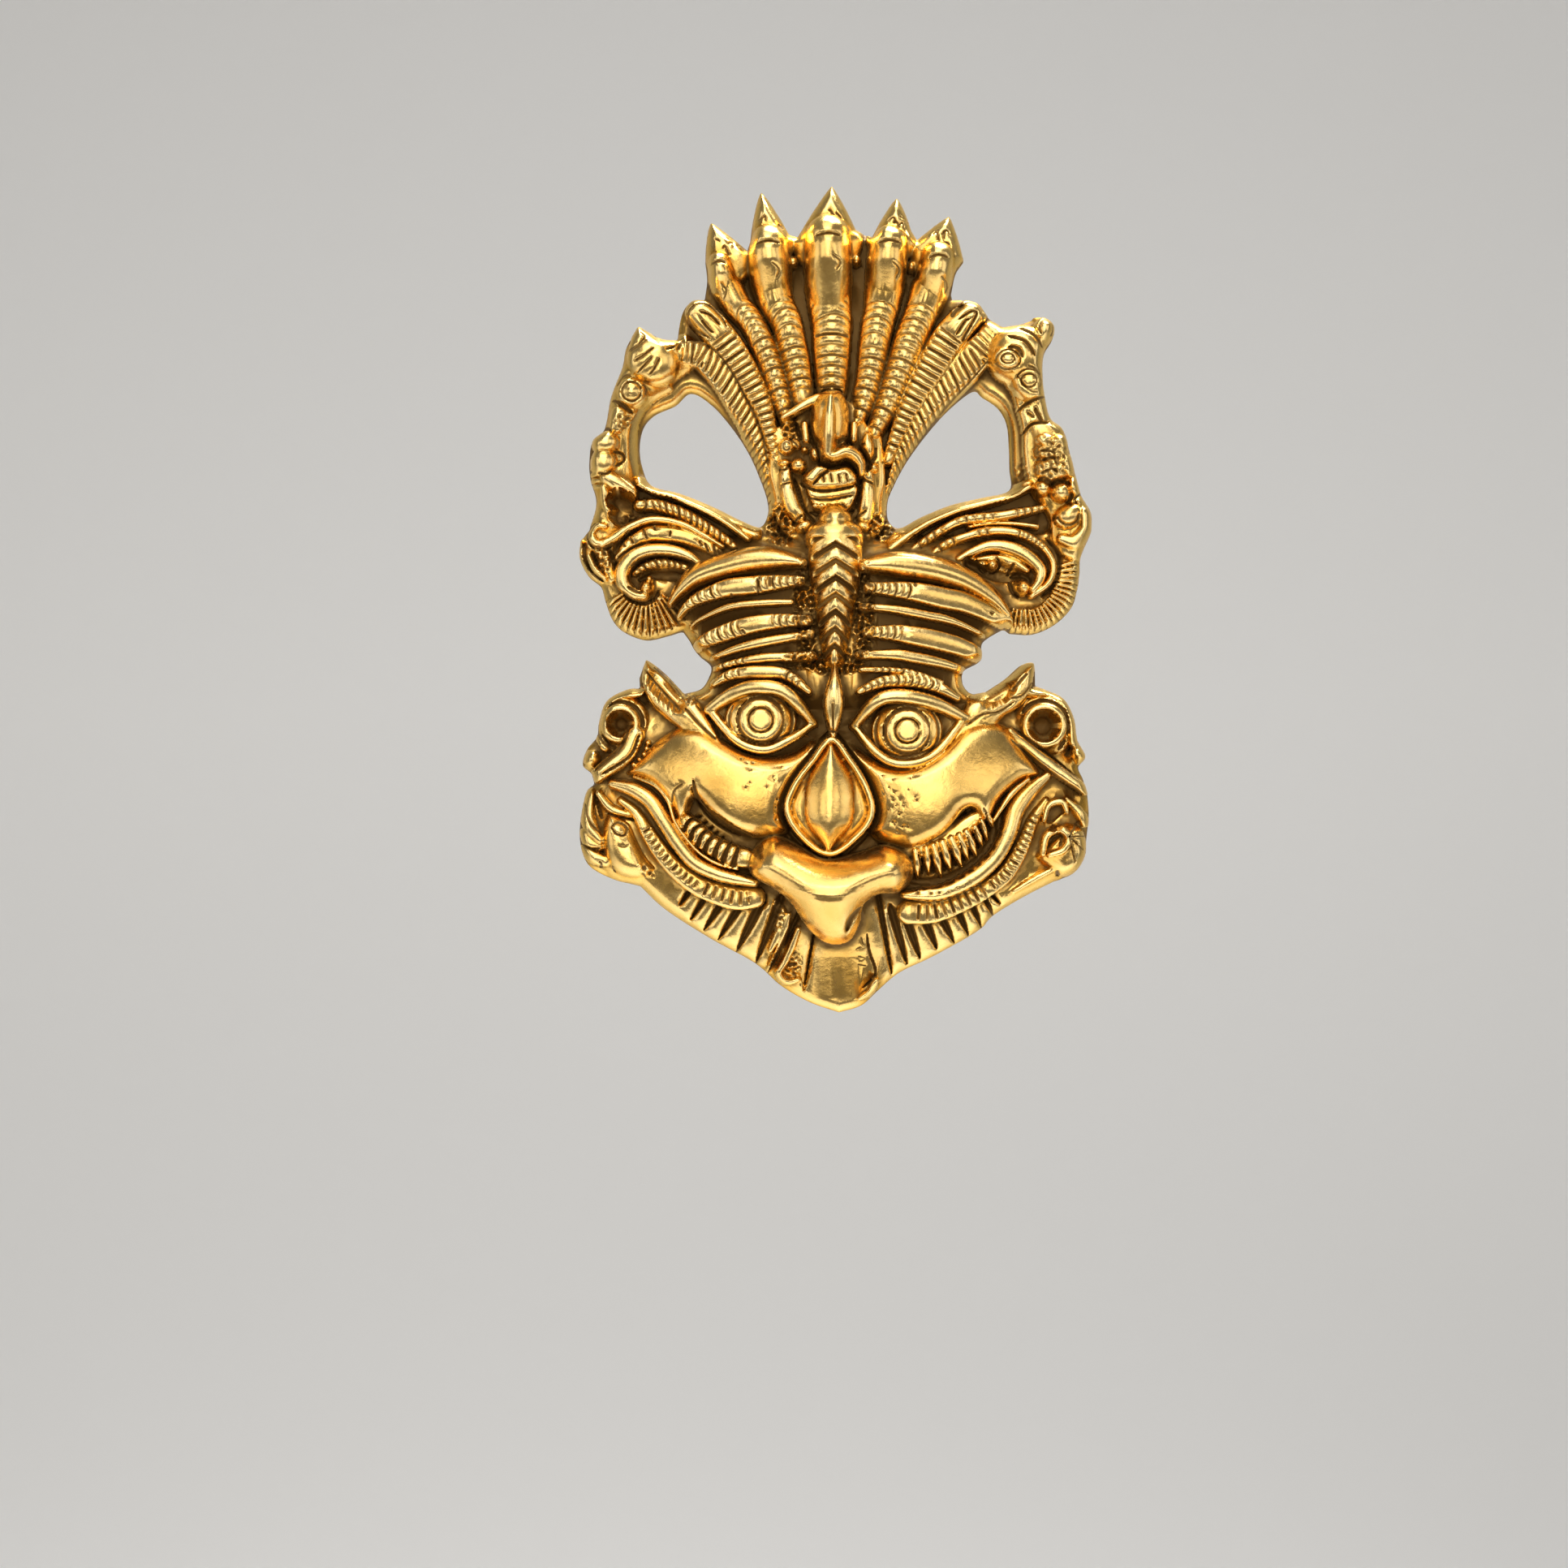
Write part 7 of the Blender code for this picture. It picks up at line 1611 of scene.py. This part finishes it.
def backdrop():
    """A pale floor that curves up behind the mask."""
    reach = FLOOR_SIZE / 2
    angles = np.linspace(0, np.pi / 2, BEND_STEPS)
    side = [(FLOOR_FRONT, FLOOR_LEVEL)]
    side += [(BACKDROP_BEHIND - BACKDROP_BEND + BACKDROP_BEND * np.sin(a),
              FLOOR_LEVEL + BACKDROP_BEND * (1 - np.cos(a))) for a in angles]
    side += [(BACKDROP_BEHIND, FLOOR_LEVEL + BACKDROP_HEIGHT)]
    vertices = [(x, y, z) for x in (-reach, reach) for y, z in side]
    count = len(side)
    faces = [(i, i + count, i + count + 1, i + 1) for i in range(count - 1)]
    mesh = bpy.data.meshes.new("floor")
    mesh.from_pydata(vertices, [], faces)
    mesh.shade_smooth()
    mesh.materials.append(plain_material("pale_paper", PAPER, roughness=0.9))
    floor = bpy.data.objects.new("floor", mesh)
    bpy.context.scene.collection.objects.link(floor)


LIGHTS = (
    # name, place, size, power in watts
    ("softbox_top", (-0.05, -0.60, 1.05), 1.20, 3.3),
    ("softbox_high", (-0.10, -1.30, 0.80), 1.00, 2.6),
    ("softbox_front", (-0.02, -1.60, 0.05), 0.90, 2.1),
    ("softbox_front_left", (-0.85, -1.20, 0.15), 0.75, 1.0),
    ("softbox_front_right", (0.85, -1.15, 0.20), 0.75, 0.9),
    ("softbox_left", (-1.15, -0.25, 0.05), 0.80, 0.8),
    ("softbox_right", (1.15, -0.25, 0.10), 0.80, 0.8),
    ("softbox_behind", (0.20, 0.45, 1.00), 0.80, 13.0),
)
AIM = (-0.0015, -0.010, -0.020)
LIGHT_SPREAD = 110
WORLD_COLOUR = (1.0, 0.97, 0.92, 1)
WORLD_STRENGTH = 0.20


def lights():
    """Softboxes that all face the mask, and a faint even light from all round."""
    for name, place, size, power in LIGHTS:
        lamp = bpy.data.lights.new(name, "AREA")
        lamp.size = size
        lamp.energy = power
        lamp.spread = np.radians(LIGHT_SPREAD)
        light = bpy.data.objects.new(name, lamp)
        light.location = place
        light.rotation_euler = (Vector(AIM) - light.location).to_track_quat("-Z", "Y").to_euler()
        bpy.context.scene.collection.objects.link(light)
    world = bpy.data.worlds.new("studio")
    world.use_nodes = True
    background = world.node_tree.nodes["Background"]
    background.inputs["Color"].default_value = WORLD_COLOUR
    background.inputs["Strength"].default_value = WORLD_STRENGTH
    bpy.context.scene.world = world
    bpy.context.scene.view_settings.view_transform = "Standard"


def camera():
    """Straight in front of the middle of the photo's frame, at the mask's size in it."""
    middle = PHOTO_PIXELS / 2
    aim = Vector(((middle - PHOTO_AXIS[0]) * PLAN_PER_PIXEL * PLAN_SCALE, AIM_DEPTH,
                  (PHOTO_AXIS[1] - middle) * PLAN_PER_PIXEL * PLAN_SCALE))
    width = PHOTO_PIXELS * PLAN_PER_PIXEL * PLAN_SCALE
    eye = bpy.data.cameras.new("photo_camera")
    eye.lens = LENS
    eye.sensor_width = SENSOR
    made = bpy.data.objects.new("photo_camera", eye)
    made.location = aim + Vector((0, -width * LENS / SENSOR, 0))
    made.rotation_euler = (np.pi / 2, 0, 0)
    bpy.context.scene.collection.objects.link(made)
    bpy.context.scene.camera = made


STEP = CARVING_STEP
casting()
backdrop()
lights()
camera()
